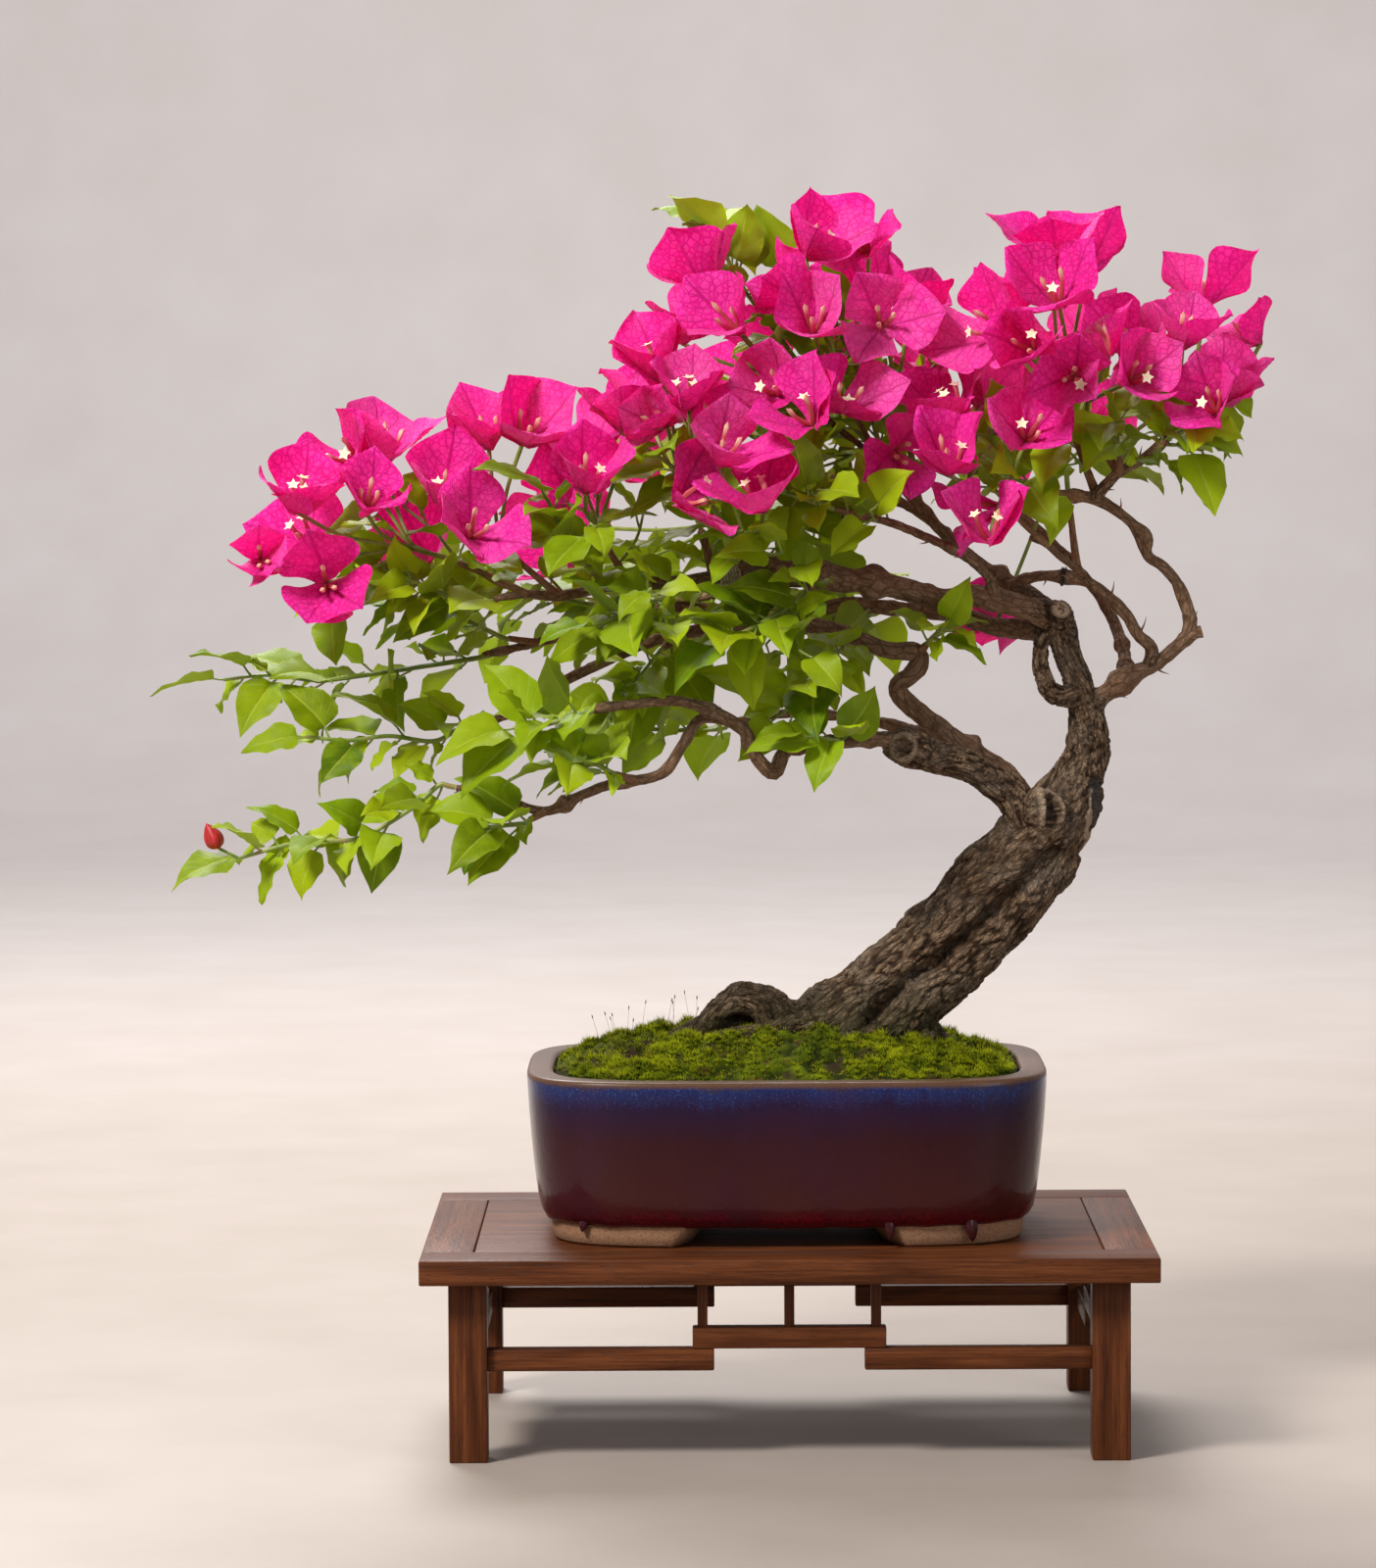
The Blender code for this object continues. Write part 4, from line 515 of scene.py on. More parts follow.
def clusterBlooms(name, fork, places, crowd):
    draw = random.Random(name)
    blooms = []
    for place in places:
        for attempt in range(growth["bloomTries"]):
            spread = attempt * 0.014
            bloom = makeBloom(draw, fork, Vector(place), spread)
            route, blades = bloom[:2]
            slabs = [envelope(blade) for blade in blades]
            stem = tube([(*p[:3], p[3] * 1.5) for p in route[1:]], 3)
            if not all(withinReach(slab) for slab in slabs):
                continue
            if all(crowd.isClear(slab) for slab in slabs) and crowd.isClear(stem, ignore=name):
                for slab in slabs:
                    crowd.add(slab, name)
                crowd.add(tube(route, 3), name)
                blooms.append(bloom)
                break
    return blooms


def limbSides(route):
    widest = max(p[3] for p in route)
    if widest > 14:
        return 11
    if widest > 7:
        return 7
    return 5 if widest > 3.7 else 4


def limbSolid(route):
    slack = 1.8 if max(p[3] for p in route) > 7 else 2.4
    knobbly = 0.16 if route[0][3] > 6 else 0.0
    return tube(straightened(route, slack), limbSides(route), knobbly=knobbly)


def growTree():
    limbs = {name: smoothRoute(points, 15 if points[0][3] > 9 else 13) for name, points in limbRoutes.items()}
    twigs, twigRoutes = [], []
    shoots, forks = {}, {}
    wholeWood = [p for route in limbs.values() for p in route]
    for table, into in ((leafyShoots, shoots), (bloomClusters, forks)):
        for name, entry in table.items():
            places = entry[2] if into is shoots else entry[0]
            start = nearestOn(wholeWood, places[0])
            first = min(growth["twig"][0], start[3] * 0.8)
            knots = [(*start[:3], first), (*places[1], growth["twig"][1])]
            for number, place in enumerate(places[2:], 1):
                knots.append((*place, growth["shoot"] - growth["shootTaper"] * number / len(places)))
            whole = smoothRoute(knots, 11)
            joint = whole.index(nearestOn(whole, places[1]))
            twig = straightened(whole[:joint + 1], growth["twigSlack"])
            twigs.append(twig)
            twigRoutes.append(whole[:joint + 1])
            end, onward = endOf(twig)
            butt = [Vector((*(end + onward * step), growth["shoot"])) for step in (growth["gap"], 4.0)]
            into[name] = butt + straightened(whole[joint:], growth["shootSlack"])[1:]
    crowd = Crowd()
    for route in limbs.values():
        crowd.add(limbSolid(route), "wood")
    for route in twigs:
        crowd.add(tube(route, 3), "wood")
    for name, route in list(shoots.items()) + list(forks.items()):
        crowd.add(tube(route, 3), name)
    blooms = {}
    for name, (_, places) in bloomClusters.items():
        end, onward = endOf(forks[name])
        blooms[name] = clusterBlooms(name, end - onward * 2.5, places, crowd)
    crowd.add(tube(budTube(shoots["low_left"]), 5), "low_left")
    leaves = {}
    for name, (count, size, _) in leafyShoots.items():
        leaves[name] = shootLeaves(name, shoots[name], count, size, crowd)
    return limbs, twigRoutes, shoots, forks, blooms, leaves, crowd


# Mesh building

def intoScene(name, data):
    made = bpy.data.objects.new(name, data)
    bpy.context.scene.collection.objects.link(made)
    return made


class MeshParts:
    # gathers points, faces and what the materials read at each point, and makes one mesh of them
    def __init__(self):
        self.points, self.faces, self.slots = [], [], []
        self.notes = {}

    def add(self, points, faces, slot=0, **notes):
        first = len(self.points)
        self.points.extend(tuple(p) for p in points)
        self.faces.extend([tuple(first + i for i in face) for face in faces])
        self.slots.extend([slot] * len(faces))
        for name, values in notes.items():
            self.notes.setdefault(name, []).append((first, np.array(values, dtype=np.float32).reshape(-1, 3)))

    def build(self, name, materials, nodes=(), sharpAngle=50):
        mesh = bpy.data.meshes.new(name)
        world = (np.array(self.points) + np.array(potMiddle)) * mm
        mesh.from_pydata(world.tolist(), [], self.faces)
        for noteName, rows in self.notes.items():
            layer = mesh.attributes.new(noteName, "FLOAT_VECTOR", "POINT")
            values = np.zeros((len(self.points), 3), dtype=np.float32)
            for first, row in rows:
                values[first:first + len(row)] = row
            layer.data.foreach_set("vector", values.ravel())
        for material in materials:
            mesh.materials.append(material)
        mesh.polygons.foreach_set("material_index", self.slots)
        mesh.shade_smooth()
        mesh.set_sharp_from_angle(angle=math.radians(sharpAngle))
        piece = intoScene(name, mesh)
        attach(piece, "root")
        if nodes:
            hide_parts(*nodes)


def bladeTemplate(rows, columns):
    # which points of the grid a thin closed blade uses, above and below, and its faces
    above = np.zeros((rows + 1, columns + 1), dtype=int)
    below = np.zeros((rows + 1, columns + 1), dtype=int)
    picks = [(0, 0, 0)]
    for row in range(1, rows):
        for column in range(columns + 1):
            above[row, column] = below[row, column] = len(picks)
            picks.append((row, column, 0 if column in (0, columns) else 1))
        for column in range(1, columns):
            below[row, column] = len(picks)
            picks.append((row, column, -1))
    above[rows, :] = below[rows, :] = len(picks)
    picks.append((rows, 0, 0))
    faces = []
    for row in range(rows):
        for column in range(columns):
            for grid, order in ((above, (0, 1, 2, 3)), (below, (3, 2, 1, 0))):
                corners = [*grid[row, column:column + 2], *grid[row + 1, column:column + 2][::-1]]
                face = []
                for corner in (corners[i] for i in order):
                    if corner not in face:
                        face.append(int(corner))
                faces.append(face)
    return np.array(picks), faces


def bladeNet(blade, rows, columns, finish):
    # the blade's own surface on a grid, with the fine waves that the solid leaves out
    t = np.array(rows)[:, None]
    s = np.array(columns)[None, :]
    rise, fall = blade.shape
    peak = rise / (rise + fall)
    widest = peak ** rise * (1 - peak) ** fall
    half = blade.width / 2 * t ** rise * (1 - t) ** fall / widest
    half = half * (1 - finish["point"] * np.clip((t - 0.6) / 0.4, 0, 1) ** 2)
    half = np.minimum(half * finish["widen"], blade.room * blade.length * t)
    ripple = np.sin(7.5 * t + blade.phase + np.where(s > 0, 1.9, 0.0))
    lift = blade.curl * blade.length * t * t + (blade.fold * np.abs(s) + blade.cup * s * s) * half
    lift = lift + blade.wave * ripple * s * s
    edge = np.sin(finish["frill"] * t + 3 * blade.phase + np.where(s > 0, 0.7, 0.0))
    lift += finish["frillDepth"] * edge * np.abs(s) ** 3 * np.sqrt(np.clip(half / blade.width, 0, 1))
    quilt = np.abs(np.sin(finish["veins"] * (t - finish["slant"] * np.abs(s)) * math.pi)) ** 0.7
    lift += finish["quilt"] * quilt * (1 - s * s) * np.sqrt(t * (1 - t))
    lift -= finish["groove"] * np.exp(-(s / 0.12) ** 2) * (1 - t)
    lift -= finish["droop"] * blade.length * np.clip(t - 0.7, 0, 1) ** 2
    root, along = np.array(blade.root), np.array(blade.along)
    side, up = np.array(blade.side), np.array(blade.up)
    sway = finish["sway"] * blade.length * np.sin(2.2 * t + blade.phase) * t * t
    across = (s * half + sway)[..., None]
    forward = blade.length * (t - finish["heart"] * s * s * np.minimum(t * 9, 1) * (1 - t) ** 3)
    forward = np.broadcast_to(forward, lift.shape)[..., None]
    return root + along * forward + side * across + up * lift[..., None]


def addBlade(parts, blade, finish, draw, slot=0, age=0.5):
    rows, columns = finish["rows"], finish["columns"]
    if "template" not in finish:
        finish["template"] = bladeTemplate(len(rows) - 1, len(columns) - 1)
    picks, faces = finish["template"]
    net = bladeNet(blade, rows, columns, finish)
    points = net[picks[:, 0], picks[:, 1]]
    points = points + np.array(blade.up) * (finish["thickness"] / 2) * picks[:, 2:3]
    s = np.array(columns)[picks[:, 1]] * 0.5 + 0.5
    s[0] = s[-1] = 0.5
    t = np.array(rows)[picks[:, 0]]
    seed, tint = draw.random(), draw.random()
    place = np.stack([s, t, np.full(len(s), seed)], axis=1)
    shade = np.stack([0.5 - 0.5 * picks[:, 2], np.full(len(s), age), np.full(len(s), tint)], axis=1)
    parts.add(points, faces, slot, blade=place, shade=shade)


def fineTube(parts, route, sides, slot=0, depth=0.0, barkSize=4.0, knots=0.0, flare=0.0, age=0.5):
    # a round tube along (x, y, z, radius) points, with bark worked into its surface
    centres = [Vector(p[:3]) for p in route]
    directions = tangentsOf(centres)
    side = directions[0].orthogonal().normalized()
    heading = (centres[-1] - centres[0]).normalized() * 0.35
    points, bark, keys = [], [], []
    for centre, direction, place, travelled in zip(centres, directions, route, distances(centres)):
        side = (side - direction * side.dot(direction)).normalized()
        other = direction.cross(side)
        radius = place[3] * (1 + flare * math.exp(-travelled / (2.5 * place[3] + 1)))
        if knots:
            radius *= 1 + knots * max(0.0, noise.noise(centre / 11)) ** 2 * 3
        for corner in range(sides):
            spoke = spokeAt(side, other, twoPi * corner / sides)
            keys.append(spoke * place[3] + heading * travelled + centres[0])
            height = barkHeight(keys[-1] / barkSize) if depth else 0.0
            points.append(centre + spoke * (radius + depth * (height - 0.6)))
            bark.append((height, age, place[3]))
    first, last = range(sides), range(len(points) - sides, len(points))
    faces = quads(len(route), sides)
    faces += [face[1::-1] + face[2:] for face in fanned(first, len(points))] + fanned(last, len(points) + 1)
    for end, ring in ((0, first), (-1, last)):
        points.append(centres[end])
        bark.append((0.3, age, route[end][3]))
        keys.append(keys[ring[0]])
    parts.add(points, faces, slot, bark=bark, **({"barkKey": keys} if depth else {}))


def barkHeight(key):
    # 0 in the cracks, about 1 on the plates between them
    crack = abs(noise.noise(key + Vector((3.1, 0.0, 7.7))) + 0.35 * noise.noise(key * 2.3))
    plate = min(1.0, crack / 0.3)
    return plate * plate * (3 - 2 * plate) + 0.18 * noise.noise(key * 5.1)


# Materials: a small bench that wires nodes, so that each finish reads as one recipe

class Bench:
    def __init__(self, name):
        self.material = bpy.data.materials.new(name)
        self.material.use_nodes = True
        self.nodes = self.material.node_tree.nodes
        self.links = self.material.node_tree.links
        self.nodes.clear()
        self.output = self.nodes.new("ShaderNodeOutputMaterial")
        self.shader = self.nodes.new("ShaderNodeBsdfPrincipled")
        self.links.new(self.shader.outputs["BSDF"], self.output.inputs["Surface"])

    def put(self, socket, value):
        if isinstance(value, bpy.types.NodeSocket):
            self.links.new(value, socket)
        elif isinstance(value, tuple) and len(value) == 3 and socket.type == "RGBA":
            socket.default_value = (*value, 1.0)
        else:
            socket.default_value = value

    def node(self, kind, entries, result=0, **settings):
        # a node with its settings and entries made; what comes back is the socket of its result
        made = self.nodes.new("ShaderNode" + kind)
        for name, setting in settings.items():
            setattr(made, name, setting)
        for key, value in entries.items():
            self.put(made.inputs[key], value)
        return made.outputs[result]

    def sum(self, operation, *values):
        return self.node("Math", dict(enumerate(values)), operation=operation)

    def plus(self, *values):
        return self.sum("ADD", *values)

    def less(self, *values):
        return self.sum("SUBTRACT", *values)

    def times(self, *values):
        return self.sum("MULTIPLY", *values)

    def between(self, value, low, high, start=0.0, end=1.0):
        entries = dict(enumerate((value, low, high, start, end)))
        return self.node("MapRange", entries, interpolation_type="SMOOTHSTEP")

    def mix(self, share, first, second, blend="MIX"):
        return self.node("Mix", {0: share, 6: first, 7: second}, 2, data_type="RGBA", blend_type=blend)

    def ramp(self, value, *stops):
        result = self.node("ValToRGB", {0: value})
        marks = result.node.color_ramp.elements
        while len(marks) < len(stops):
            marks.new(0.5)
        for mark, (place, colour) in zip(marks, stops):
            mark.position = place
            mark.color = (*colour, 1.0)
        return result

    def stretched(self, where, scale):
        return self.node("Mapping", {"Vector": where, "Scale": scale})

    def place(self, scale=(1.0, 1.0, 1.0)):
        # millimetres in the frame, stretched by scale
        return self.stretched(self.node("TexCoord", {}, "Object"), [1000 * s for s in scale])

    def noted(self, name, part=None):
        vector = self.node("Attribute", {}, "Vector", attribute_name=name)
        return vector if part is None else self.node("SeparateXYZ", {0: vector}, part)

    def noise(self, where, size, detail=3.0, rough=0.55):
        entries = {"Vector": where, "Scale": 1 / size, "Detail": detail, "Roughness": rough}
        return self.node("TexNoise", entries)

    def cells(self, where, size, feature="F1"):
        return self.node("TexVoronoi", {"Vector": where, "Scale": 1 / size}, feature=feature)

    def bump(self, height, strength, distance):
        return self.node("Bump", {"Height": height, "Strength": strength, "Distance": distance})

    def finish(self, colour, roughness, normal=None, **fixed):
        self.put(self.shader.inputs["Base Color"], colour)
        self.put(self.shader.inputs["Roughness"], roughness)
        if normal is not None:
            self.put(self.shader.inputs["Normal"], normal)
        for name, value in fixed.items():
            self.shader.inputs[name.replace("_", " ")].default_value = value
        return self.material

    def seeThrough(self, colour, share, normal):
        # part of the light comes through from behind
        glow = self.node("BsdfTranslucent", {"Color": colour, "Normal": normal})
        both = self.node("MixShader", {0: share, 1: self.shader.outputs["BSDF"], 2: glow})
        self.links.new(both, self.output.inputs["Surface"])


leafLook = {
    "young": (0.46, 0.61, 0.010),
    "grown": (0.205, 0.350, 0.003),
    "old": (0.076, 0.170, 0.003),
    "vein": (0.52, 0.60, 0.07),
    "glow": (0.78, 0.86, 0.008),
    "warm": (0.36, 0.34, 0.004),
    "under": (0.30, 0.38, 0.07),
    "glowShare": 0.40,
    "sideVeins": 6.5,
    "slant": 0.34,
}


def bladeBench(name, sideVeins, slant):
    # what leaf and bract share: their own tint, how far along and off the rib a spot is, and the side veins
    bench = Bench(name)
    t = bench.noted("blade", 1)
    off = bench.sum("ABSOLUTE", bench.less(bench.times(bench.noted("blade", 0), 2.0), 1.0))
    wave = bench.sum("PINGPONG", bench.times(bench.less(t, bench.times(off, slant)), sideVeins * 2), 1.0)
    return bench, t, off, wave, bench.noted("shade", 2)


def leafMaterial():
    look = leafLook
    bench, t, off, wave, tint = bladeBench("leafBlade", look["sideVeins"], look["slant"])
    age = bench.noted("shade", 1)
    green = bench.ramp(age, (0.0, look["young"]), (0.55, look["grown"]), (1.0, look["old"]))
    blotch = bench.noise(bench.place(), 7.0)
    green = bench.mix(bench.between(blotch, 0.35, 0.75, 0.0, 0.35), green, look["young"])
    green = bench.mix(bench.times(tint, 0.3), green, look["warm"])
    side = bench.times(bench.between(wave, 0.0, 0.14, 1.0, 0.0), bench.between(off, 0.75, 1.0, 1.0, 0.0))
    veins = bench.sum("MAXIMUM", bench.between(off, 0.02, 0.09, 1.0, 0.0), bench.times(side, 0.35))
    green = bench.mix(bench.times(veins, 0.55), green, look["vein"])
    under = bench.between(bench.noted("shade", 0), 0.5, 0.7)
    colour = bench.mix(under, green, bench.mix(0.45, green, look["under"]))
    colour = bench.mix(bench.times(bench.between(off, 0.93, 1.0), 0.3), colour, look["vein"])
    grain = bench.noise(bench.place(), 0.8, 2.0)
    normal = bench.bump(bench.less(bench.times(grain, 0.25), veins), 0.5, 0.0004)
    glow = bench.mix(0.55, bench.mix(0.5, green, colour, "SCREEN"), look["glow"])
    bench.seeThrough(glow, look["glowShare"], normal)
    return bench.finish(colour, bench.between(grain, 0.3, 0.7, 0.38, 0.54), normal, Specular_IOR_Level=0.22)


bractLook = {
    "deep": (0.88, 0.006, 0.34),
    "main": (1.0, 0.028, 0.53),
    "pale": (1.0, 0.20, 0.62),
    "vein": (0.56, 0.001, 0.17),
    "throat": (0.92, 0.34, 0.46),
    "glow": (1.0, 0.06, 0.50),
    "glowShare": 0.50,
    "sideVeins": 4.5,
    "slant": 0.42,
}


def bractMaterial():
    look = bractLook
    bench, t, off, wave, tint = bladeBench("bractPaper", look["sideVeins"], look["slant"])
    hue = bench.plus(bench.times(bench.noise(bench.place(), 11.0), 0.6), bench.times(tint, 0.45))
    pink = bench.ramp(hue, (0.2, look["deep"]), (0.5, look["main"]), (0.95, look["pale"]))
    net = bench.cells(bench.place(), 3.4, "DISTANCE_TO_EDGE")
    side = bench.times(bench.between(wave, 0.0, 0.12, 1.0, 0.0), 0.7)
    mesh = bench.times(bench.between(net, 0.0, 0.10, 1.0, 0.0), 0.5)
    rib = bench.between(off, 0.015, 0.07, 1.0, 0.0)
    veins = bench.sum("MAXIMUM", rib, bench.sum("MAXIMUM", side, mesh))
    # lighter towards the middle of each vein cell: painted highlight on the raised quilted panels
    pink = bench.mix(bench.between(net, 0.02, 0.3, 0.0, 0.22), pink, look["pale"])
    colour = bench.mix(bench.times(veins, 0.62), pink, look["vein"])
    colour = bench.mix(bench.between(t, 0.0, 0.16, 0.75, 0.0), colour, look["throat"])
    crease = bench.noise(bench.place(), 1.3, 3.0, 0.6)
    normal = bench.bump(bench.plus(bench.times(veins, 0.8), bench.times(crease, 0.6)), 0.8, 0.0007)
    bench.seeThrough(bench.mix(0.6, colour, look["glow"]), look["glowShare"], normal)
    return bench.finish(colour, 0.58, normal, Specular_IOR_Level=0.2, Sheen_Weight=0.06, Sheen_Roughness=0.5)


def mottled(name, size, stops, rough, height, distance, detail=2.0, stretch=(1.0, 1.0, 1.0), bumpSize=None,
            **fixed):
    # a plain finish: one noise sets the colour, and the same or a finer one the relief
    bench = Bench(name)
    patch = bench.noise(bench.place(stretch), size, detail)
    relief = bench.noise(bench.place(), bumpSize, 2.0) if bumpSize else patch
    return bench.finish(bench.ramp(patch, *stops), rough, bench.bump(relief, height, distance), **fixed)


def flowerMaterial():
    bench = Bench("creamFlower")
    t = bench.noted("blade", 1)
    colour = bench.ramp(t, (0.0, (0.45, 0.05, 0.07)), (0.45, (0.62, 0.13, 0.14)), (0.7, (0.83, 0.72, 0.45)),
                        (1.0, (0.95, 0.90, 0.66)))
    normal = bench.bump(bench.noise(bench.place(), 0.5, 2.0), 0.3, 0.0001)
    return bench.finish(colour, 0.6, normal)


barkLook = {
    "crack": (0.022, 0.012, 0.007),
    "plate": (0.160, 0.095, 0.054),
    "worn": (0.30, 0.200, 0.125),
    "dust": (0.26, 0.205, 0.15),
    "twig": (0.34, 0.205, 0.135),
}


def barkMaterial(name, wounded):
    bench = Bench(name)
    height, age, radius = (bench.noted("bark", part) for part in range(3))
    broad = bench.noise(bench.place(), 16.0, 4.0)
    fine = bench.noise(bench.place(), 1.5, 4.0, 0.65)
    colour = bench.ramp(height, (0.05, barkLook["crack"]), (0.55, barkLook["plate"]), (1.0, barkLook["worn"]))
    colour = bench.mix(bench.between(broad, 0.4, 0.72, 0.0, 0.65), colour, barkLook["dust"])
    if not wounded:
        colour = bench.mix(0.45, colour, barkLook["twig"])
    key = bench.noted("barkKey")
    ragged = bench.times(bench.less(bench.noise(key, 1.6, 3.0, 0.6), 0.5), 0.3)
    plates = bench.plus(bench.cells(key, 3.3, "DISTANCE_TO_EDGE"), ragged)
    flakes = bench.plus(bench.cells(key, 1.3, "DISTANCE_TO_EDGE"), ragged)
    split = bench.between(plates, 0.02, 0.13, 1.0, 0.0)
    nick = bench.between(flakes, 0.0, 0.12, 0.55, 0.0)
    split = bench.sum("MAXIMUM", split, nick)
    colour = bench.mix(bench.times(split, 0.62), colour, barkLook["crack"])
    colour = bench.mix(bench.between(fine, 0.42, 0.62, 0.35, 0.0), colour, (0.05, 0.030, 0.017))
    colour = bench.mix(bench.times(age, 0.6), colour, (0.34, 0.17, 0.075))
    if wounded:
        scar, pale, mossFilmAndShade = (bench.noted("wound", part) for part in range(3))
        slate = bench.mix(bench.between(fine, 0.4, 0.7), (0.055, 0.048, 0.045), (0.14, 0.12, 0.105))
        colour = bench.mix(scar, colour, slate)
        colour = bench.mix(pale, colour, bench.mix(fine, (0.24, 0.16, 0.10), (0.52, 0.41, 0.29)))
        # the film darkens the low bark: partly moss, partly painted shade at the foot of the trunk
        film = bench.times(mossFilmAndShade, bench.between(broad, 0.35, 0.6, 0.35, 0.9))
        colour = bench.mix(film, colour, (0.032, 0.034, 0.007))
    relief = bench.less(bench.plus(bench.times(fine, 0.6), height), split)
    normal = bench.bump(relief, 0.9, 0.0011 if wounded else 0.0005)
    return bench.finish(colour, 0.88, normal, Specular_IOR_Level=0.12)


def cutWoodMaterial():
    # the sawn faces of old stubs: pale wood with a dark ring of bark
    bench = Bench("cutWood")
    ring = bench.noted("bark", 1)
    grain = bench.noise(bench.place(), 1.2, 3.0)
    colour = bench.ramp(ring, (0.0, (0.10, 0.06, 0.035)), (0.35, (0.42, 0.31, 0.20)),
                        (0.75, (0.34, 0.23, 0.14)), (1.0, (0.05, 0.03, 0.02)))
    colour = bench.mix(bench.between(grain, 0.4, 0.7, 0.0, 0.4), colour, (0.20, 0.13, 0.08))
    return bench.finish(colour, 0.8, bench.bump(grain, 0.6, 0.0004))


mossLook = {
    # deep: partly the moss's own darker base, partly painted shade in hollows and gaps
    "deep": (0.010, 0.013, 0.001),
    "body": (0.130, 0.170, 0.003),
    "tip": (0.560, 0.600, 0.010),
    "dark": (0.040, 0.085, 0.003),
    "rust": (0.110, 0.062, 0.012),
    "earth": (0.032, 0.018, 0.010),
}


def mossMaterial():
    bench = Bench("moss")
    tip, tint, bare = (bench.noted("growth", part) for part in range(3))
    patch = bench.noise(bench.place(), 24.0, 3.0)
    clump = bench.noise(bench.place(), 5.0, 3.0)
    # the deep colour at the foot of each moss leaf and low in the bed is partly the moss's darker base,
    # partly painted shade
    colour = bench.ramp(tip, (0.0, mossLook["deep"]), (0.5, mossLook["body"]), (1.0, mossLook["tip"]))
    dark = bench.mix(tip, mossLook["deep"], mossLook["dark"])
    colour = bench.mix(bench.between(patch, 0.45, 0.68, 0.0, 0.75), colour, dark)
    # patches from this noise take the deep colour: painted shade in the gaps between clumps
    colour = bench.mix(bench.between(clump, 0.46, 0.70, 0.0, 0.62), colour, mossLook["deep"])
    dry = bench.noise(bench.place(), 8.5, 3.0, 0.65)
    colour = bench.mix(bench.between(dry, 0.56, 0.68, 0.0, 0.75), colour, mossLook["rust"])
    colour = bench.mix(bare, colour, mossLook["earth"])
    normal = bench.bump(bench.noise(bench.place(), 0.8, 3.0, 0.7), 0.9, 0.0008)
    return bench.finish(colour, 0.92, normal, Specular_IOR_Level=0.08)


def soilMaterial():
    bench = Bench("pottingSoil")
    crumb = bench.cells(bench.place(), 3.0)
    grit = bench.noise(bench.place(), 1.0, 4.0, 0.7)
    colour = bench.ramp(grit, (0.3, (0.018, 0.012, 0.008)), (0.6, (0.06, 0.04, 0.025)),
                        (0.85, (0.16, 0.12, 0.085)))
    normal = bench.bump(bench.plus(crumb, grit), 1.0, 0.001)
    return bench.finish(colour, 0.95, normal, Specular_IOR_Level=0.2)


glazeLook = {
    "top": (0.010, 0.018, 0.088),
    "upper": (0.013, 0.003, 0.026),
    "middle": (0.030, 0.0035, 0.007),
    "low": (0.052, 0.009, 0.008),
    "edge": (0.120, 0.003, 0.006),
    "speck": (0.07, 0.13, 0.36),
    "lip": (0.105, 0.050, 0.026),
    "clay": (0.34, 0.185, 0.100),
}


def glazeMaterial():
    # the attribute holds the height up the wall, how far a spot is glazed, and how far it is lip
    bench = Bench("potGlaze")
    height, glazed, lip = (bench.noted("glaze", part) for part in range(3))
    drift = bench.noise(bench.place((1.0, 1.0, 0.35)), 30.0, 4.0)
    runs = bench.noise(bench.place((1.0, 1.0, 0.12)), 5.0, 3.0)
    level = bench.plus(height, bench.times(bench.less(drift, 0.5), 0.18))
    level = bench.plus(level, bench.times(bench.less(runs, 0.5), 0.10))
    colour = bench.ramp(
        level, (0.0, glazeLook["edge"]), (0.10, glazeLook["low"]), (0.58, glazeLook["middle"]),
        (0.82, glazeLook["upper"]), (0.945, glazeLook["top"]), (1.0, (0.045, 0.028, 0.03)),
    )
    speck = bench.noise(bench.place(), 0.9, 2.0, 0.7)
    near = bench.between(level, 0.76, 0.97)
    share = bench.times(bench.between(speck, 0.56, 0.68), bench.times(near, 0.55))
    colour = bench.mix(share, colour, glazeLook["speck"])
    haze = bench.noise(bench.place((1.0, 1.0, 0.6)), 46.0, 3.0)
    colour = bench.mix(bench.between(haze, 0.48, 0.66, 0.0, 0.28), colour, (0.034, 0.006, 0.024))
    fleck = bench.cells(bench.place(), 2.3)
    rust = bench.times(bench.between(fleck, 0.0, 0.16, 1.0, 0.0), bench.between(level, 0.1, 0.6, 0.35, 0.1))
    colour = bench.mix(rust, colour, (0.16, 0.03, 0.015))
    craze = bench.noise(bench.place(), 1.7, 3.0, 0.7)
    low = bench.between(level, 0.02, 0.16, 0.7, 0.0)
    colour = bench.mix(bench.times(bench.between(craze, 0.45, 0.62), low), colour, (0.030, 0.001, 0.010))
    grog = bench.noise(bench.place(), 1.1, 4.0, 0.7)
    clay = bench.mix(bench.between(grog, 0.42, 0.66), glazeLook["clay"], (0.22, 0.11, 0.06))
    worn = bench.mix(bench.between(grog, 0.4, 0.7), glazeLook["lip"], (0.075, 0.038, 0.024))
    colour = bench.mix(lip, colour, worn)
    colour = bench.mix(glazed, clay, colour)
    rough = bench.mix(glazed, (0.85, 0.85, 0.85), (0.17, 0.17, 0.17))
    rough = bench.mix(lip, rough, (0.34, 0.34, 0.34))
    orange = bench.noise(bench.place(), 7.0, 2.0)
    bumps = bench.plus(bench.times(orange, 0.8), bench.times(grog, bench.less(1.06, glazed)))
    return bench.finish(colour, rough, bench.bump(bumps, 0.35, 0.0008), Specular_IOR_Level=0.22)


walnutLook = {
    "dark": (0.030, 0.0075, 0.0022),
    "body": (0.092, 0.025, 0.0065),
    "light": (0.175, 0.054, 0.016),
}


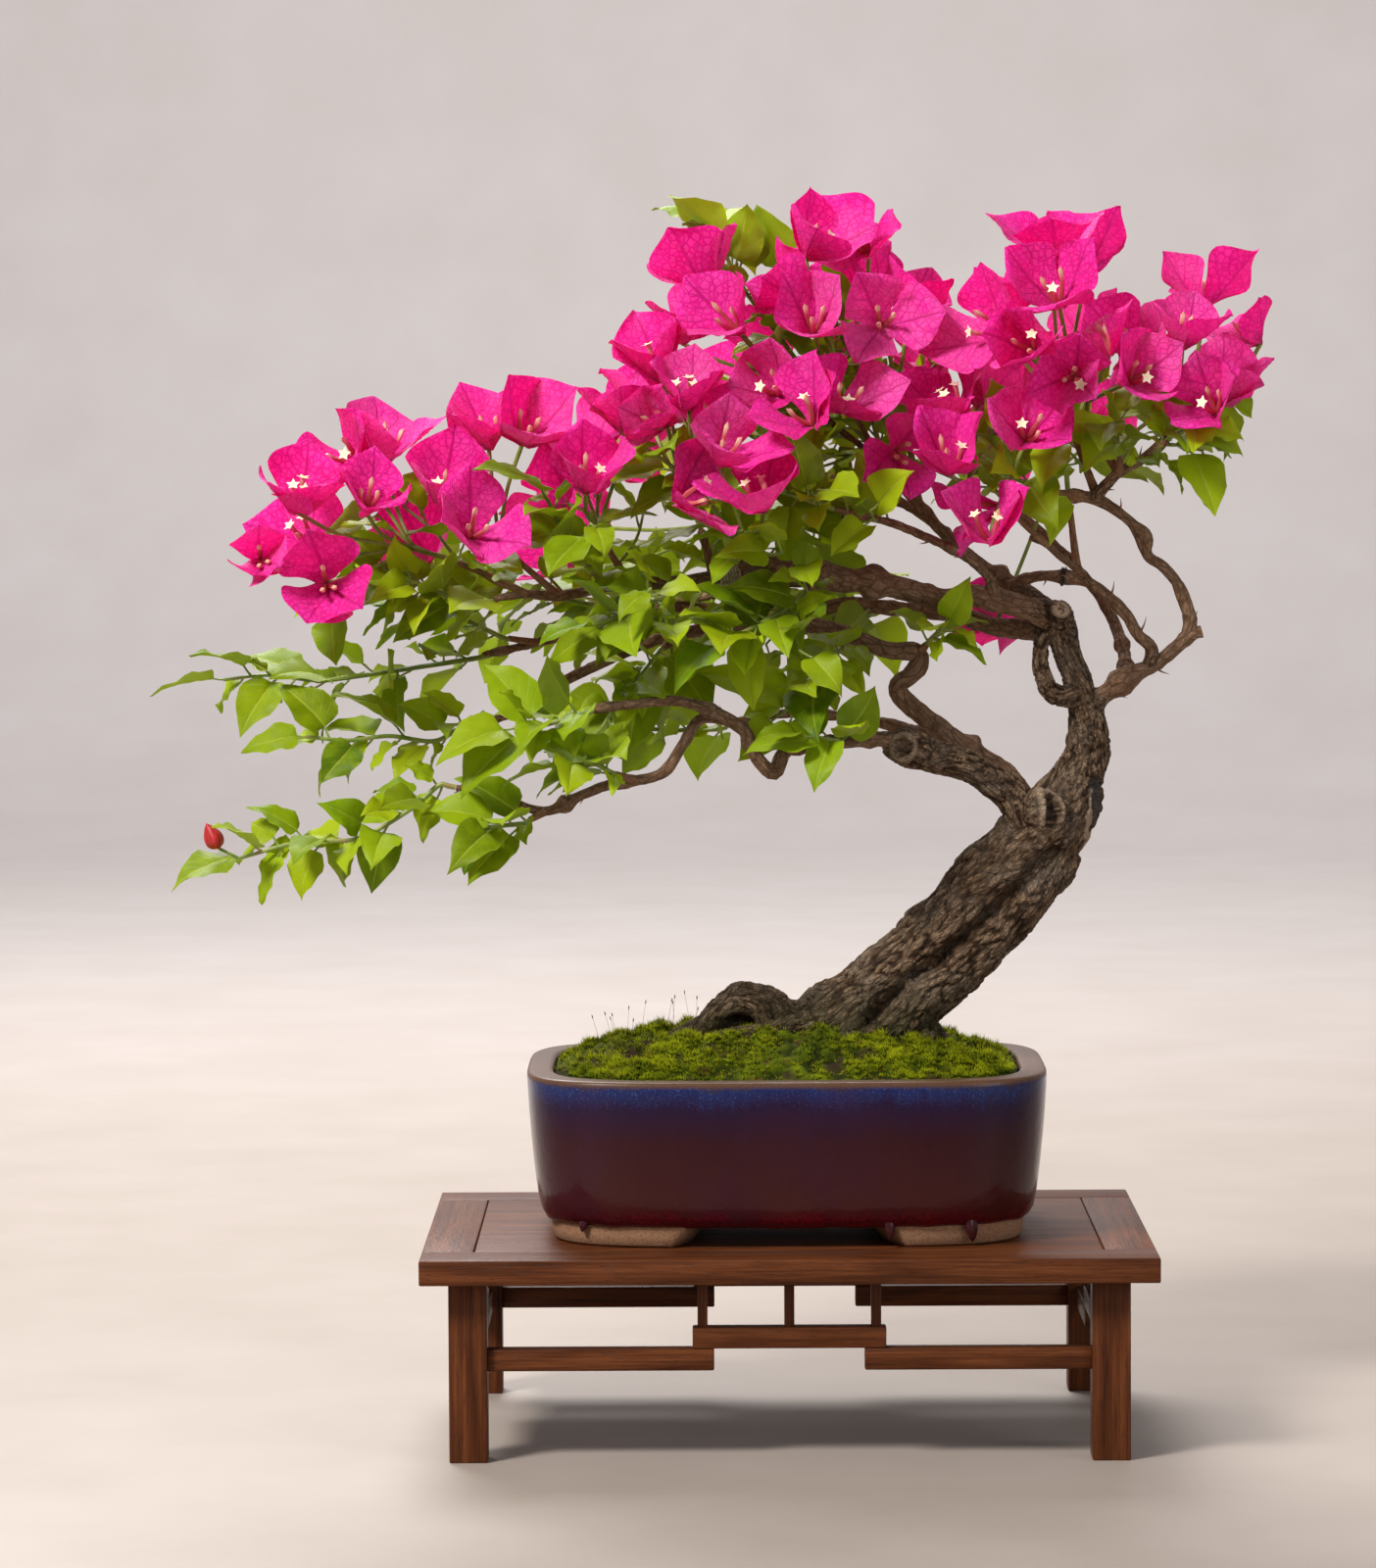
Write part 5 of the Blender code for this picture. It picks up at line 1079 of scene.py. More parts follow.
def walnutMaterial():
    # the attribute runs in millimetres along, across and through each board
    bench = Bench("oiledWalnut")
    board = bench.noted("grain")
    flow = bench.noise(bench.stretched(board, [0.12, 1.0, 1.0]), 30.0)
    bands = bench.sum("PINGPONG", bench.times(flow, 11.0), 1.0)
    fibre = bench.noise(bench.stretched(board, [0.035, 1.0, 1.0]), 1.1, 4.0, 0.65)
    pores = bench.noise(bench.stretched(board, [0.06, 1.0, 1.0]), 0.55, 2.0, 0.6)
    streak = bench.noise(bench.stretched(board, [0.012, 1.0, 1.0]), 2.4, 3.0, 0.6)
    tone = bench.plus(bench.times(bands, 0.16), bench.times(fibre, 0.5))
    tone = bench.plus(tone, bench.times(streak, 0.5))
    colour = bench.ramp(tone, (0.36, walnutLook["dark"]), (0.58, walnutLook["body"]),
                        (0.80, walnutLook["light"]))
    colour = bench.mix(bench.between(pores, 0.60, 0.70, 0.0, 0.6), colour, (0.026, 0.007, 0.003))
    rough = bench.between(fibre, 0.3, 0.7, 0.36, 0.52)
    height = bench.less(bench.times(fibre, 0.6), bench.between(pores, 0.58, 0.7))
    return bench.finish(colour, rough, bench.bump(height, 0.4, 0.0003), Specular_IOR_Level=0.16)


def floorMaterial():
    bench = Bench("paleFloor")
    cloud = bench.noise(bench.place(), 130.0, 4.0)
    wall = bench.ramp(cloud, (0.3, (0.71, 0.655, 0.63)), (0.7, (0.75, 0.70, 0.685)))
    table = bench.ramp(cloud, (0.3, (0.345, 0.287, 0.242)), (0.7, (0.385, 0.325, 0.28)))
    back = bench.node("SeparateXYZ", {0: bench.place((0.001, 0.001, 0.001))}, 1)
    colour = bench.mix(bench.between(back, 0.3, 4.2), table, wall)
    return bench.finish(colour, 0.55)


print("materials")
mats = {
    "leaf": leafMaterial(),
    "stem": mottled("greenStem", 9.0, ((0.3, (0.13, 0.20, 0.02)), (0.55, (0.24, 0.32, 0.05)),
                                       (0.8, (0.30, 0.20, 0.07))), 0.5, 0.4, 0.0002, bumpSize=0.7),
    "bract": bractMaterial(),
    "flower": flowerMaterial(),
    "bark": barkMaterial("trunkBark", True),
    "twig": barkMaterial("twigBark", False),
    "cut": cutWoodMaterial(),
    "bud": mottled("redBud", 1.6, ((0.3, (0.30, 0.008, 0.012)), (0.7, (0.62, 0.025, 0.03))),
                   0.5, 0.4, 0.0003, 3.0, (1.0, 1.0, 0.3)),
    "moss": mossMaterial(),
    "soil": soilMaterial(),
    "glaze": glazeMaterial(),
    "walnut": walnutMaterial(),
    "wire": mottled("darkWire", 1.0, ((0.3, (0.025, 0.02, 0.018)), (0.7, (0.07, 0.05, 0.04))),
                    0.45, 0.3, 0.0001, Metallic=0.6),
    "straw": mottled("dryStraw", 1.1, ((0.3, (0.26, 0.19, 0.13)), (0.7, (0.60, 0.49, 0.36))),
                     0.75, 0.5, 0.0003, 3.0, (1.0, 1.0, 0.4)),
}

print("growing the tree")
limbs, twigRoutes, shoots, forks, blooms, leaves, crowd = growTree()


# Wood
wood = {
    "thick": ("trunk_left_lobe", "trunk_right_lobe", "upper_trunk", "cut_stub", "hollow_stub", "left_root",
              "root_knob", "rootlet", "front_root", "right_root", "back_root", "lower_limb", "loop_branch"),
    "collarLength": 30.0,
    "collarSwell": 1.22,
    "collarEnd": 0.8,
    "voxel": 1.2,
    "trunkCracks": 1.5,
    "trunkCrackSize": 4.2,
    "limbCracks": 0.5,
    "limbCrackSize": 2.8,
    "crackStretch": 0.36,
    "seamDepth": 5.0,
    "seamWidth": 2.8,
    "ringSpacing": 2.2,
    "slim": {"loop_branch": 0.8, "upper_trunk": 0.94},
    # lumps that the old wood has grown: middle, radius
    "burls": [
        ((131, -20, 316), 11.0), ((137, -12, 305), 12.0), ((58, -40, 350), 8.5), ((70, -16, 196), 8.0),
        ((12, -18, 194), 8.0), ((151, -6, 350), 8.0),
    ],
    # root loops over the knob left of the trunk: x, y, z, radius
    "rootLoops": [
        [(-44, -17, 200, 4), (-38, -19, 210, 4.4), (-28, -19, 217, 4.6), (-17, -18, 216, 4.2),
         (-9, -17, 207, 3.8)],
        [(-34, -8, 210, 3.8), (-26, -8, 219, 4.2), (-14, -9, 221, 4), (-5, -10, 214, 3.6),
         (-1, -12, 203, 3.4)],
        [(-62, -18, 188, 5.4), (-48, -20, 194, 6.4), (-30, -20, 199, 7), (-12, -18, 201, 7.4),
         (6, -12, 205, 7.4)],
        [(-46, -14, 204, 1.4), (-43, -15, 210, 1.6), (-38, -15, 212, 1.6), (-34, -14, 208, 1.8)],
    ],
}
wounds = {
    "hollow": {"middle": (137, -32, 317), "facing": (0.5, -0.85, 0.1), "width": 4.2, "height": 8.5,
               "depth": 8.0},
    "burlHollow": {"middle": (58, -49, 351), "facing": (-0.25, -0.95, 0.15), "width": 4.2, "height": 4.6,
                   "depth": 5.0},
    "scar": {"middle": (161, 313), "half": (5.5, 19), "depth": 2.0},
    "paleLine": {"x": 152.0, "z": (291, 327), "width": 1.3},
}


def startOf(route, length):
    # the first stretch of a route
    travelled = distances([Vector(p[:3]) for p in route])
    return [p for p, before in zip(route, [0.0, *travelled]) if before <= length]


class LimbLookup:
    # finds the limb nearest to a point, with the way its bark runs there
    def __init__(self, routes):
        self.samples = []
        for name, route in routes.items():
            centres = [Vector(p[:3]) for p in route]
            heading = (centres[-1] - centres[0]).normalized()
            draw = random.Random(name)
            shift = Vector([draw.uniform(0, 90) for _ in range(3)])
            along = zip(centres, tangentsOf(centres), route, distances(centres))
            for centre, direction, place, travelled in along:
                self.samples.append((centre, direction, place[3], travelled, heading, shift, name))
        self.tree = KDTree(len(self.samples))
        for index, sample in enumerate(self.samples):
            self.tree.insert(sample[0], index)
        self.tree.balance()

    def near(self, point, count=30):
        # the best sample of each limb close by: distance off its surface, and the key its bark follows
        found = {}
        for _, index, distance in self.tree.find_n(point, count):
            centre, direction, radius, travelled, heading, shift, name = self.samples[index]
            off = point - centre
            ahead = off.dot(direction)
            across = off - direction * ahead
            height = across.length - radius
            if name not in found or abs(ahead) < found[name][3]:
                key = across + heading * ((travelled + ahead) * wood["crackStretch"]) + shift
                found[name] = (height, key, radius, abs(ahead))
        return found


def pressHollow(points, normals, look, notes):
    # a hollow sunk into the wood where a branch once was, with a pale rim round it
    centre, facing = Vector(look["middle"]), Vector(look["facing"]).normalized()
    side = facing.cross(Vector((0, 0, 1))).normalized()
    rise = side.cross(facing)
    for index, point in enumerate(points):
        off = point - centre
        if off.length > 22 or normals[index].dot(facing) < 0.0:
            continue
        away = math.hypot(off.dot(side) / look["width"], off.dot(rise) / look["height"])
        if away < 1.0:
            points[index] = point - facing * look["depth"] * (1 - away ** 2) ** 0.7
            notes[index][0] = max(notes[index][0], 0.7 * (1 - away))
        elif away < 1.7:
            lip = math.sin((away - 1.0) / 0.7 * math.pi)
            points[index] = point + normals[index] * lip * 1.2
            notes[index][1] = max(notes[index][1], 0.75 * lip)


def woundAt(point, normal):
    # slate-grey scar, pale split wood, and the green film near the moss, which also darkens the foot of the
    # trunk as painted shade
    scar = wounds["scar"]
    u = (point.x - scar["middle"][0] - 0.06 * (scar["middle"][1] - point.z)) / scar["half"][0]
    w = (point.z - scar["middle"][1]) / scar["half"][1]
    ragged = 0.25 * noise.noise(point / 4)
    isScar = 1.0 if normal.y < 0 and abs(u + ragged) < 1 and abs(w + ragged) < 1 else 0.0
    line = wounds["paleLine"]
    low, high = line["z"]
    off = abs(point.x - line["x"] - 0.12 * (point.z - low) + 2 * noise.noise(point / 6))
    isPale = 1.0 if normal.y < -0.2 and low < point.z < high and off < line["width"] else 0.0
    # darker towards the foot of the trunk: partly a moss film, partly painted shade
    mossFilmAndShade = max(0.0, min(1.0, (236 - point.z) / 34)) ** 1.5
    return [isScar, isPale, mossFilmAndShade]


def makeTrunk():
    routes = {name: smoothRoute(limbRoutes[name], 3.0) for name in wood["thick"]}
    for name, share in wood["slim"].items():
        routes[name] = [Vector((*p[:3], p[3] * share)) for p in routes[name]]
    for index, loop in enumerate(wood["rootLoops"]):
        routes[f"loop{index}"] = smoothRoute(loop, 3.0)
    for name, points in limbRoutes.items():
        if name in wood["thick"]:
            continue
        route = startOf(smoothRoute(points, 3.0), wood["collarLength"])
        grown = wood["collarEnd"] - wood["collarSwell"]
        swell = [wood["collarSwell"] + grown * i / (len(route) - 1) for i in range(len(route))]
        routes[name] = [Vector((*p[:3], p[3] * s)) for p, s in zip(route, swell)]
    points, faces = [], []
    for route in routes.values():
        solid = tube(route, 20, knobbly=0.16 if route[0][3] > 6 else 0.0)
        first = len(points)
        points += solid[0]
        faces += [[first + i for i in face] for face in solid[1]]
    for middle, radius in wood["burls"]:
        burl = bmesh.new()
        bmesh.ops.create_icosphere(burl, subdivisions=3, radius=radius)
        first = len(points)
        middle = Vector(middle)
        points += [middle + v.co * (1 + 0.25 * noise.noise((middle + v.co) / 7)) for v in burl.verts]
        faces += [[first + v.index for v in face.verts] for face in burl.faces]
        burl.free()
    mesh = bpy.data.meshes.new("trunkShape")
    mesh.from_pydata(points, [], faces)
    shape = intoScene("trunkShape", mesh)
    remesh = shape.modifiers.new("remesh", "REMESH")
    remesh.mode = "VOXEL"
    remesh.voxel_size = wood["voxel"] * 1.0
    relax = shape.modifiers.new("relax", "SMOOTH")
    relax.factor = 0.6
    relax.iterations = 3
    smooth = bpy.data.meshes.new_from_object(shape.evaluated_get(bpy.context.evaluated_depsgraph_get()))
    bpy.data.objects.remove(shape, do_unlink=True)
    points = [v.co.copy() for v in smooth.vertices]
    normals = [n.vector.copy() for n in smooth.vertex_normals]
    lookup = LimbLookup(routes)
    bark, keys, notes = [], [], []
    for index, point in enumerate(points):
        found = lookup.near(point)
        seam = 0.0
        if "trunk_left_lobe" in found and "trunk_right_lobe" in found:
            apart = found["trunk_left_lobe"][0] - found["trunk_right_lobe"][0]
            seam = math.exp(-(apart / wood["seamWidth"]) ** 2)
        ranked = sorted(found.values(), key=lambda entry: entry[0])[:2]
        height, radius, total = 0.0, 0.0, 0.0
        for off, key, size, _ in ranked:
            weight = math.exp(-(off - ranked[0][0]) / 1.2)
            share = min(1.0, size / 16)
            crack = wood["limbCrackSize"] + (wood["trunkCrackSize"] - wood["limbCrackSize"]) * share
            height += weight * barkHeight(key / crack)
            radius += weight * size
            total += weight
        height, radius = height / total, radius / total
        wound = woundAt(point, normals[index])
        depth = wood["limbCracks"] + (wood["trunkCracks"] - wood["limbCracks"]) * min(1.0, radius / 16)
        depth *= 1 - 0.75 * max(wound[0], wound[1])
        flow = noise.noise(point / 13 + Vector((5, 1, 2)))
        flakes = 0.5 * noise.noise(point / 2.1)
        move = depth * (height - 0.62 + 0.3 * flakes) + flow * radius * 0.04
        move -= seam * wood["seamDepth"] + wounds["scar"]["depth"] * wound[0] - 0.8 * wound[1]
        points[index] = point + normals[index] * move
        # the seam between the lobes also gets a lower bark height, so it turns towards the crack colour:
        # partly a real fissure, partly painted shade in the groove
        bark.append((height * (1 - 0.6 * seam), 0.0, radius))
        keys.append(ranked[0][1])
        notes.append(wound)
    pressHollow(points, normals, wounds["hollow"], notes)
    pressHollow(points, normals, wounds["burlHollow"], notes)
    parts = MeshParts()
    parts.add(points, [tuple(p.vertices) for p in smooth.polygons], 0, bark=bark, barkKey=keys, wound=notes)
    bpy.data.meshes.remove(smooth)
    addCutFace(parts, *endOf(limbRoutes["cut_stub"]), 5.4)
    parts.build("trunkAndLimbs", [mats["bark"], mats["cut"]], ("trunk_and_branches",), 80)


def addCutFace(parts, centre, direction, radius):
    # a slightly hollow sawn face with rings
    side, other = squareTo(direction)
    around = 20
    points, bark = [centre + direction * 0.1], [(0, 0, 0)]
    for ring in range(1, 5):
        share = ring / 4
        for corner in range(around):
            spoke = spokeAt(side, other, twoPi * corner / around)
            dish = 0.1 + 0.5 * share - 0.9 * (share > 0.9)
            points.append(centre + spoke * radius * share + direction * dish)
            bark.append((0, share, 0))
    points.append(centre - direction * 2)
    bark.append((0, 1, 0))
    faces = [(0, a, b) for a, b, _ in fanned(range(1, 1 + around), 0)]
    faces += [tuple(1 + corner for corner in face) for face in quads(4, around, inward=True)]
    faces += [(a, back, b) for a, b, back in fanned(range(1 + 3 * around, 1 + 4 * around), len(points) - 1)]
    parts.add(points, faces, 1, bark=bark)


def makeBranches():
    parts = MeshParts()
    for name in limbRoutes:
        if name not in wood["thick"]:
            route = smoothRoute(limbRoutes[name], wood["ringSpacing"])
            widest = max(p[3] for p in route)
            sides = 16 if widest > 5 else 12
            fineTube(parts, route, sides, depth=0.14 * widest ** 0.7, barkSize=1.6 + 0.3 * widest, knots=0.5,
                     flare=0.1, age=0.25)
    for route in twigRoutes:
        fine = smoothRoute(route, 3.0)
        fineTube(parts, fine, 8, depth=0.1, barkSize=1.5, knots=0.5, flare=0.35, age=0.7)
    addSpines(parts)
    parts.build("branches", [mats["twig"]], nodes=("trunk_and_branches",), sharpAngle=80)


def addSpines(parts):
    # short curved thorns along the thinner wood
    draw = random.Random("spines")
    for name in ("right_riser", "right_arm", "right_branch", "return_branch", "return_twig", "pale_twig",
                 "crown_branch", "back_right_branch", "top_branch", "low_left_branch"):
        route = smoothRoute(limbRoutes[name], 13.0)
        centres = [Vector(p[:3]) for p in route]
        for centre, direction, place in list(zip(centres, tangentsOf(centres), route))[1:]:
            if draw.random() > 0.6 or place[3] > 4.5:
                continue
            side = aside(direction, draw.uniform(0, twoPi))
            lean = (side + direction * 0.5).normalized()
            length = draw.uniform(4.0, 8.0)
            root = centre + side * place[3] * 0.7
            tip = root + lean * length + direction * 0.8
            fineTube(parts, [(*root, 0.75), (*(root + lean * length * 0.5), 0.42), (*tip, 0.08)], 5, age=0.6)


# things tied or caught in the crown: place, turns, rise of a turn, thickness, gap to the bark
bindings = {
    "wire": [((143, -5, 435), 1.7, 1.5, 0.7, 1.5)],
    "straw": [((17, -31, 437), 5.3, 1.8, 0.85, 0.6), ((-24, -28, 409), 6.2, 1.6, 0.75, 0.5)],
}


def addBinding(parts, lookup, look, slot):
    # turns of wire or straw round the limb nearest to a place
    place, turns, rise, thick, gap = look
    centre, direction, radius = lookup.samples[lookup.tree.find(Vector(place))[1]][:3]
    side, other = squareTo(direction)
    draw = random.Random(str(place))
    route, steps = [], 14
    for step in range(int(turns * steps) + 1):
        spoke = spokeAt(side, other, twoPi * step / steps)
        spot = centre + direction * rise * (step / steps - turns / 2)
        route.append((*(spot + spoke * (radius + gap + draw.uniform(0, 0.5))), thick))
    fineTube(parts, route, 6, slot=slot)


def addWitheredBract(parts):
    # one dry bract that hangs on between the blooms
    foot = nearestOn([p for route in forks.values() for p in route], (100, -30, 494))
    root = Vector((105, -34, 503))
    fineTube(parts, smoothRoute([(*foot[:3], 0.7), (*root, 0.6)], 2.0), 6, slot=1)
    blade = Blade(root, Vector((0.3, -0.1, 0.9)), Vector((0.2, -1.0, 0.1)), 21, 12, growth["bractProfile"],
                  curl=-0.4, fold=0.6, cup=0.5, wave=2.2, phase=1.0, room=1.0)
    addBlade(parts, blade, bractFinish, random.Random("withered"), 1)


def makeBindings():
    routes = {name: smoothRoute(points, 3.0) for name, points in limbRoutes.items()}
    routes.update({f"twig{index}": [tuple(p) for p in route] for index, route in enumerate(twigRoutes)})
    lookup = LimbLookup(routes)
    parts = MeshParts()
    for slot, kind in enumerate(("wire", "straw")):
        for look in bindings[kind]:
            addBinding(parts, lookup, look, slot)
    addWitheredBract(parts)
    parts.build("bindings", [mats["wire"], mats["straw"]])


# Leaves
leafFinish = {
    "rows": [0.0, 0.04, 0.10, 0.18, 0.27, 0.37, 0.48, 0.59, 0.70, 0.80, 0.89, 0.95, 1.0],
    "columns": [-1.0, -0.72, -0.42, -0.16, 0.0, 0.16, 0.42, 0.72, 1.0],
    "widen": 1.06,
    "point": 0.30,
    "heart": 0.10,
    "slant": 0.34,
    "thickness": 0.45,
    "frill": 17.0,
    "frillDepth": 1.5,
    "veins": 5.5,
    "quilt": 1.0,
    "groove": 0.6,
    "droop": 0.7,
    "sway": 0.05,
}
crown = {
    "smallLeaves": 0.9,  # for each large leaf on a shoot
    "smallSize": (0.45, 0.85),
    "spurStep": 11.0,  # between leaves straight off the wood
    "spurSize": (0.65, 1.05),
    "sideStep": 22.0,  # between side shoots
    "sideLength": (20.0, 40.0),
    "sideLeaves": 3,
    "denseFrom": (-215.0, 392.0),  # side shoots stand right of and above this
    "openRight": (62.0, 486.0),  # the bare branches right of this stay in sight below it
    "openStub": ((140.0, -20.0, 418.0), 34.0),
    "stemSides": 7,
    "petioleSides": 5,
}


def addSmallLeaves(name, route, count):
    # young leaves between the large ones, each where it fits
    draw = random.Random("young " + name)
    length = distances([Vector(p[:3]) for p in route])[-1]
    places = evenPlaces(route, length / (count + 0.5))
    found = [(findLeaf(draw, foot, tangent, crown["smallSize"], name, 12), foot) for foot, tangent in places]
    return [(blade, foot) for blade, foot in found if blade]


def makeShoot(name, bladesAndFeet, small):
    parts = MeshParts()
    stem = smoothRoute(shoots[name], 2.0)
    fineTube(parts, stem, crown["stemSides"], slot=1, age=0.2)
    draw = random.Random("finish " + name)
    for group, young in ((bladesAndFeet, 0.0), (small, 0.35)):
        for blade, foot in group:
            addLeaf(parts, blade, Vector(nearestOn(stem, foot)[:3]), draw, 0.48, young)
    slots = [mats["leaf"], mats["stem"]]
    if name == "low_left":
        slots.append(mats["bud"])
        addBud(parts)
    parts.build("leafyShoot_" + name, slots, nodes=("leaves_" + name,))


def addBud(parts):
    # three closed bracts wrapped round each other, with a ridge down each
    route = budTube(shoots["low_left"])
    fineTube(parts, smoothRoute(route[:2], 2.0), 6, slot=1)
    base, tip = Vector(route[1][:3]), Vector(route[-1][:3])
    side, other = squareTo((tip - base).normalized())
    points = []
    rings, around = 14, 24
    for ring in range(rings + 1):
        t = ring / rings
        full = math.sin(math.pi * min(1.0, t ** 0.75 + 0.02)) ** 0.7 * (1 - 0.25 * t)
        for corner in range(around):
            angle = twoPi * corner / around + 0.7 * t
            ridge = 1 + 0.13 * math.cos(3 * angle) + 0.03 * math.cos(12 * angle)
            spoke = spokeAt(side, other, angle)
            points.append(base.lerp(tip, t) + spoke * growth["budRadius"] * full * ridge)
    ends = [tuple(range(around))[::-1], tuple(range(rings * around, (rings + 1) * around))]
    parts.add(points, quads(rings + 1, around) + ends, 2)


def addLeaf(parts, blade, foot, draw, typicalAge, younger=0.0):
    age = min(1.0, max(0.0, draw.gauss(typicalAge, 0.25) - younger))
    middle = foot + (blade.root - foot) * 0.5 - blade.up * 0.4
    petiole = smoothRoute([(*foot, 0.75), (*middle, 0.62), (*(blade.root + blade.along * 0.6), 0.6)], 2.0)
    fineTube(parts, petiole, crown["petioleSides"], slot=1, age=0.1)
    addBlade(parts, blade, leafFinish, draw, age=age)


def findLeaf(draw, foot, tangent, sizes, owner, tries=10):
    # a leaf in the first clear place round a stem
    azimuth = draw.uniform(0, twoPi)
    for attempt in range(tries):
        azimuth += growth["leafTurn"]
        radial = aside(tangent, azimuth)
        size = draw.uniform(*sizes) * (1.0 if attempt < tries * 0.6 else 0.75)
        blade = tryLeaf(draw, foot, tangent, radial, size, 0.04 * attempt)
        slab = envelope(blade)
        if crowd.isClear(slab) and withinCrown(slab):
            crowd.add(slab, owner)
            return blade
    return None


def withinCrown(solid):
    low, high = crownBox
    return all(low[axis] < p[axis] < high[axis] for p in solid[0] for axis in range(3))


def evenPlaces(route, step):
    # places along a route, each with its direction
    centres = [Vector(p[:3]) for p in smoothRoute(route, 3.0)]
    wanted, found = step * 0.6, []
    for centre, direction, travelled in list(zip(centres, tangentsOf(centres), distances(centres)))[1:]:
        if travelled >= wanted:
            wanted += step
            found.append((centre, direction))
    return found


def makeInnerLeaves():
    # leaves straight off twigs and branches, and short side shoots with a few leaves each
    draw = random.Random("inner leaves")
    parts = MeshParts()
    stems = [("wood", route) for route in twigRoutes]
    stems += [("wood", smoothRoute(limb, 6.0)) for limb in limbRoutes.values() if max(p[3] for p in limb) < 7]
    stems += list(forks.items()) + list(shoots.items())
    count = 0
    left, low = crown["denseFrom"]
    right, under = crown["openRight"]
    stub, room = crown["openStub"]

    def isDense(foot):
        if foot.x < left or foot.z < low - 0.12 * foot.x or (foot.x > right and foot.z < under):
            return False
        return (foot - Vector(stub)).length > room

    for owner, route in stems:
        for foot, tangent in evenPlaces(route, crown["sideStep"]):
            if not isDense(foot):
                continue
            along = aside(tangent, draw.uniform(0, twoPi))
            along = (along + tangent * 0.5 + Vector((-0.1, foot.y / 90, 0.15))).normalized()
            length = draw.uniform(*crown["sideLength"])
            bend = foot + along * length * 0.5 + scatter(draw, 2)
            end = foot + along * length + scatter(draw, 3) + Vector((0, 0, 1.5))
            start = foot + along * 3.2
            if not crowd.isClear(tube([(*start, 1.2), (*bend, 1.1), (*end, 1.0)], 3), ignore=owner):
                continue
            grown = []
            side = smoothRoute([(*foot, 1.0), (*bend, 0.85), (*end, 0.65)], 3.0)
            for number in range(crown["sideLeaves"]):
                share = 0.3 + 0.7 * number / (crown["sideLeaves"] - 1)
                place = side[min(len(side) - 1, int(len(side) * share))]
                direction = along if number else (along + scatter(draw, 0.3)).normalized()
                blade = findLeaf(draw, Vector(place[:3]), direction, crown["spurSize"], "side", 7)
                if blade:
                    grown.append((blade, Vector(place[:3])))
            if len(grown) < 2:
                continue
            crowd.add(tube([(*start, 1.0), (*bend, 1.0), (*end, 0.9)], 3), "side")
            fineTube(parts, side, 6, slot=1, age=0.2)
            for blade, place in grown:
                addLeaf(parts, blade, place, draw, 0.38)
                count += 1
        for foot, tangent in evenPlaces(route, crown["spurStep"]):
            if not isDense(foot):
                continue
            blade = findLeaf(draw, foot, tangent, crown["spurSize"], "side")
            if blade:
                addLeaf(parts, blade, foot, draw, 0.5)
                count += 1
    print("inner leaves:", count, "faces:", len(parts.faces))
    parts.build("innerLeaves", [mats["leaf"], mats["stem"]])


# Blooms
bractFinish = {
    "rows": [0.0, 0.03, 0.07, 0.12, 0.18, 0.24, 0.30, 0.36, 0.42, 0.48, 0.54, 0.60, 0.66, 0.72, 0.78, 0.84,
             0.89, 0.93, 0.97, 1.0],
    "columns": [-1.0, -0.84, -0.64, -0.42, -0.2, 0.0, 0.2, 0.42, 0.64, 0.84, 1.0],
    "widen": 1.12,
    "point": 0.72,
    "heart": 0.12,
    "slant": 0.42,
    "thickness": 0.35,
    "frill": 12.0,
    "frillDepth": 2.4,
    "veins": 4.5,
    "quilt": 2.2,
    "groove": 1.2,
    "droop": 0.4,
    "sway": 0.05,
}
flower = {
    "lean": 0.30,
    "length": 0.46,  # of the bracts' length
    "tube": (0.8, 1.35, 0.95, 1.25),
    "star": 3.7,
    "openShare": 0.28,
}


def addFlower(parts, draw, base, axis, out, length):
    # one slim five-angled tube, with a cream star where it has opened
    along = (axis * math.cos(flower["lean"]) + out * math.sin(flower["lean"])).normalized()
    side, other = squareTo(along)
    reach = length * flower["length"] * draw.uniform(0.85, 1.1)
    isOpen = draw.random() < flower["openShare"]
    around, rings = 10, len(flower["tube"])
    spokes = [spokeAt(side, other, twoPi * corner / around) for corner in range(around)]
    points, shade = [], []
    for ring, radius in enumerate(flower["tube"]):
        share = ring / (rings - 1)
        bow = out * 1.2 * math.sin(math.pi * share)
        for corner, spoke in enumerate(spokes):
            ribbed = spoke * radius * (1 + 0.14 * (corner % 2))
            points.append(base + along * (1.0 + reach * share) + ribbed + bow)
            shade.append((0, share * 0.62, 0))
    faces = quads(rings, around) + [tuple(range(around))[::-1]]
    mouth = base + along * (1.0 + reach)
    rim = range(len(points) - around, len(points))
    if isOpen:
        # ten points: five lobes with notches between, cupped a little, thick enough to be solid
        for corner, spoke in enumerate(spokes):
            far = flower["star"] * (0.52 if corner % 2 else 1.0) * draw.uniform(0.92, 1.05)
            points.append(mouth + spoke * far + along * (0.5 if corner % 2 else 0.9))
            shade.append((0, 0.9, 0))
        faces += [tuple(rim[0] + corner for corner in face) for face in quads(2, around)]
        rim = range(len(points) - around, len(points))
    faces += fanned(rim, len(points))
    points.append(mouth + along * (0.35 if isOpen else 2.6))
    shade.append((0, 0.66 if isOpen else 0.5, 0))
    parts.add(points, faces, 1, blade=shade)


def makeCluster(name, group):
    parts = MeshParts()
    fork = smoothRoute(forks[name], 2.0)
    fineTube(parts, fork, crown["stemSides"], slot=2, age=0.2)
    draw = random.Random("finish " + name)
    for route, blades, base, axis, length in group:
        stalk = smoothRoute(route, 3.0)
        fineTube(parts, stalk, 6, slot=2)
        tone = draw.random()
        for blade in blades:
            addBlade(parts, blade, bractFinish, draw, age=tone)
            out = (blade.along - axis * blade.along.dot(axis)).normalized()
            addFlower(parts, draw, base, axis, out, length)
    parts.build("blooms_" + name + "_fine", [mats["bract"], mats["flower"], mats["stem"]],
                nodes=("blooms_" + name,))


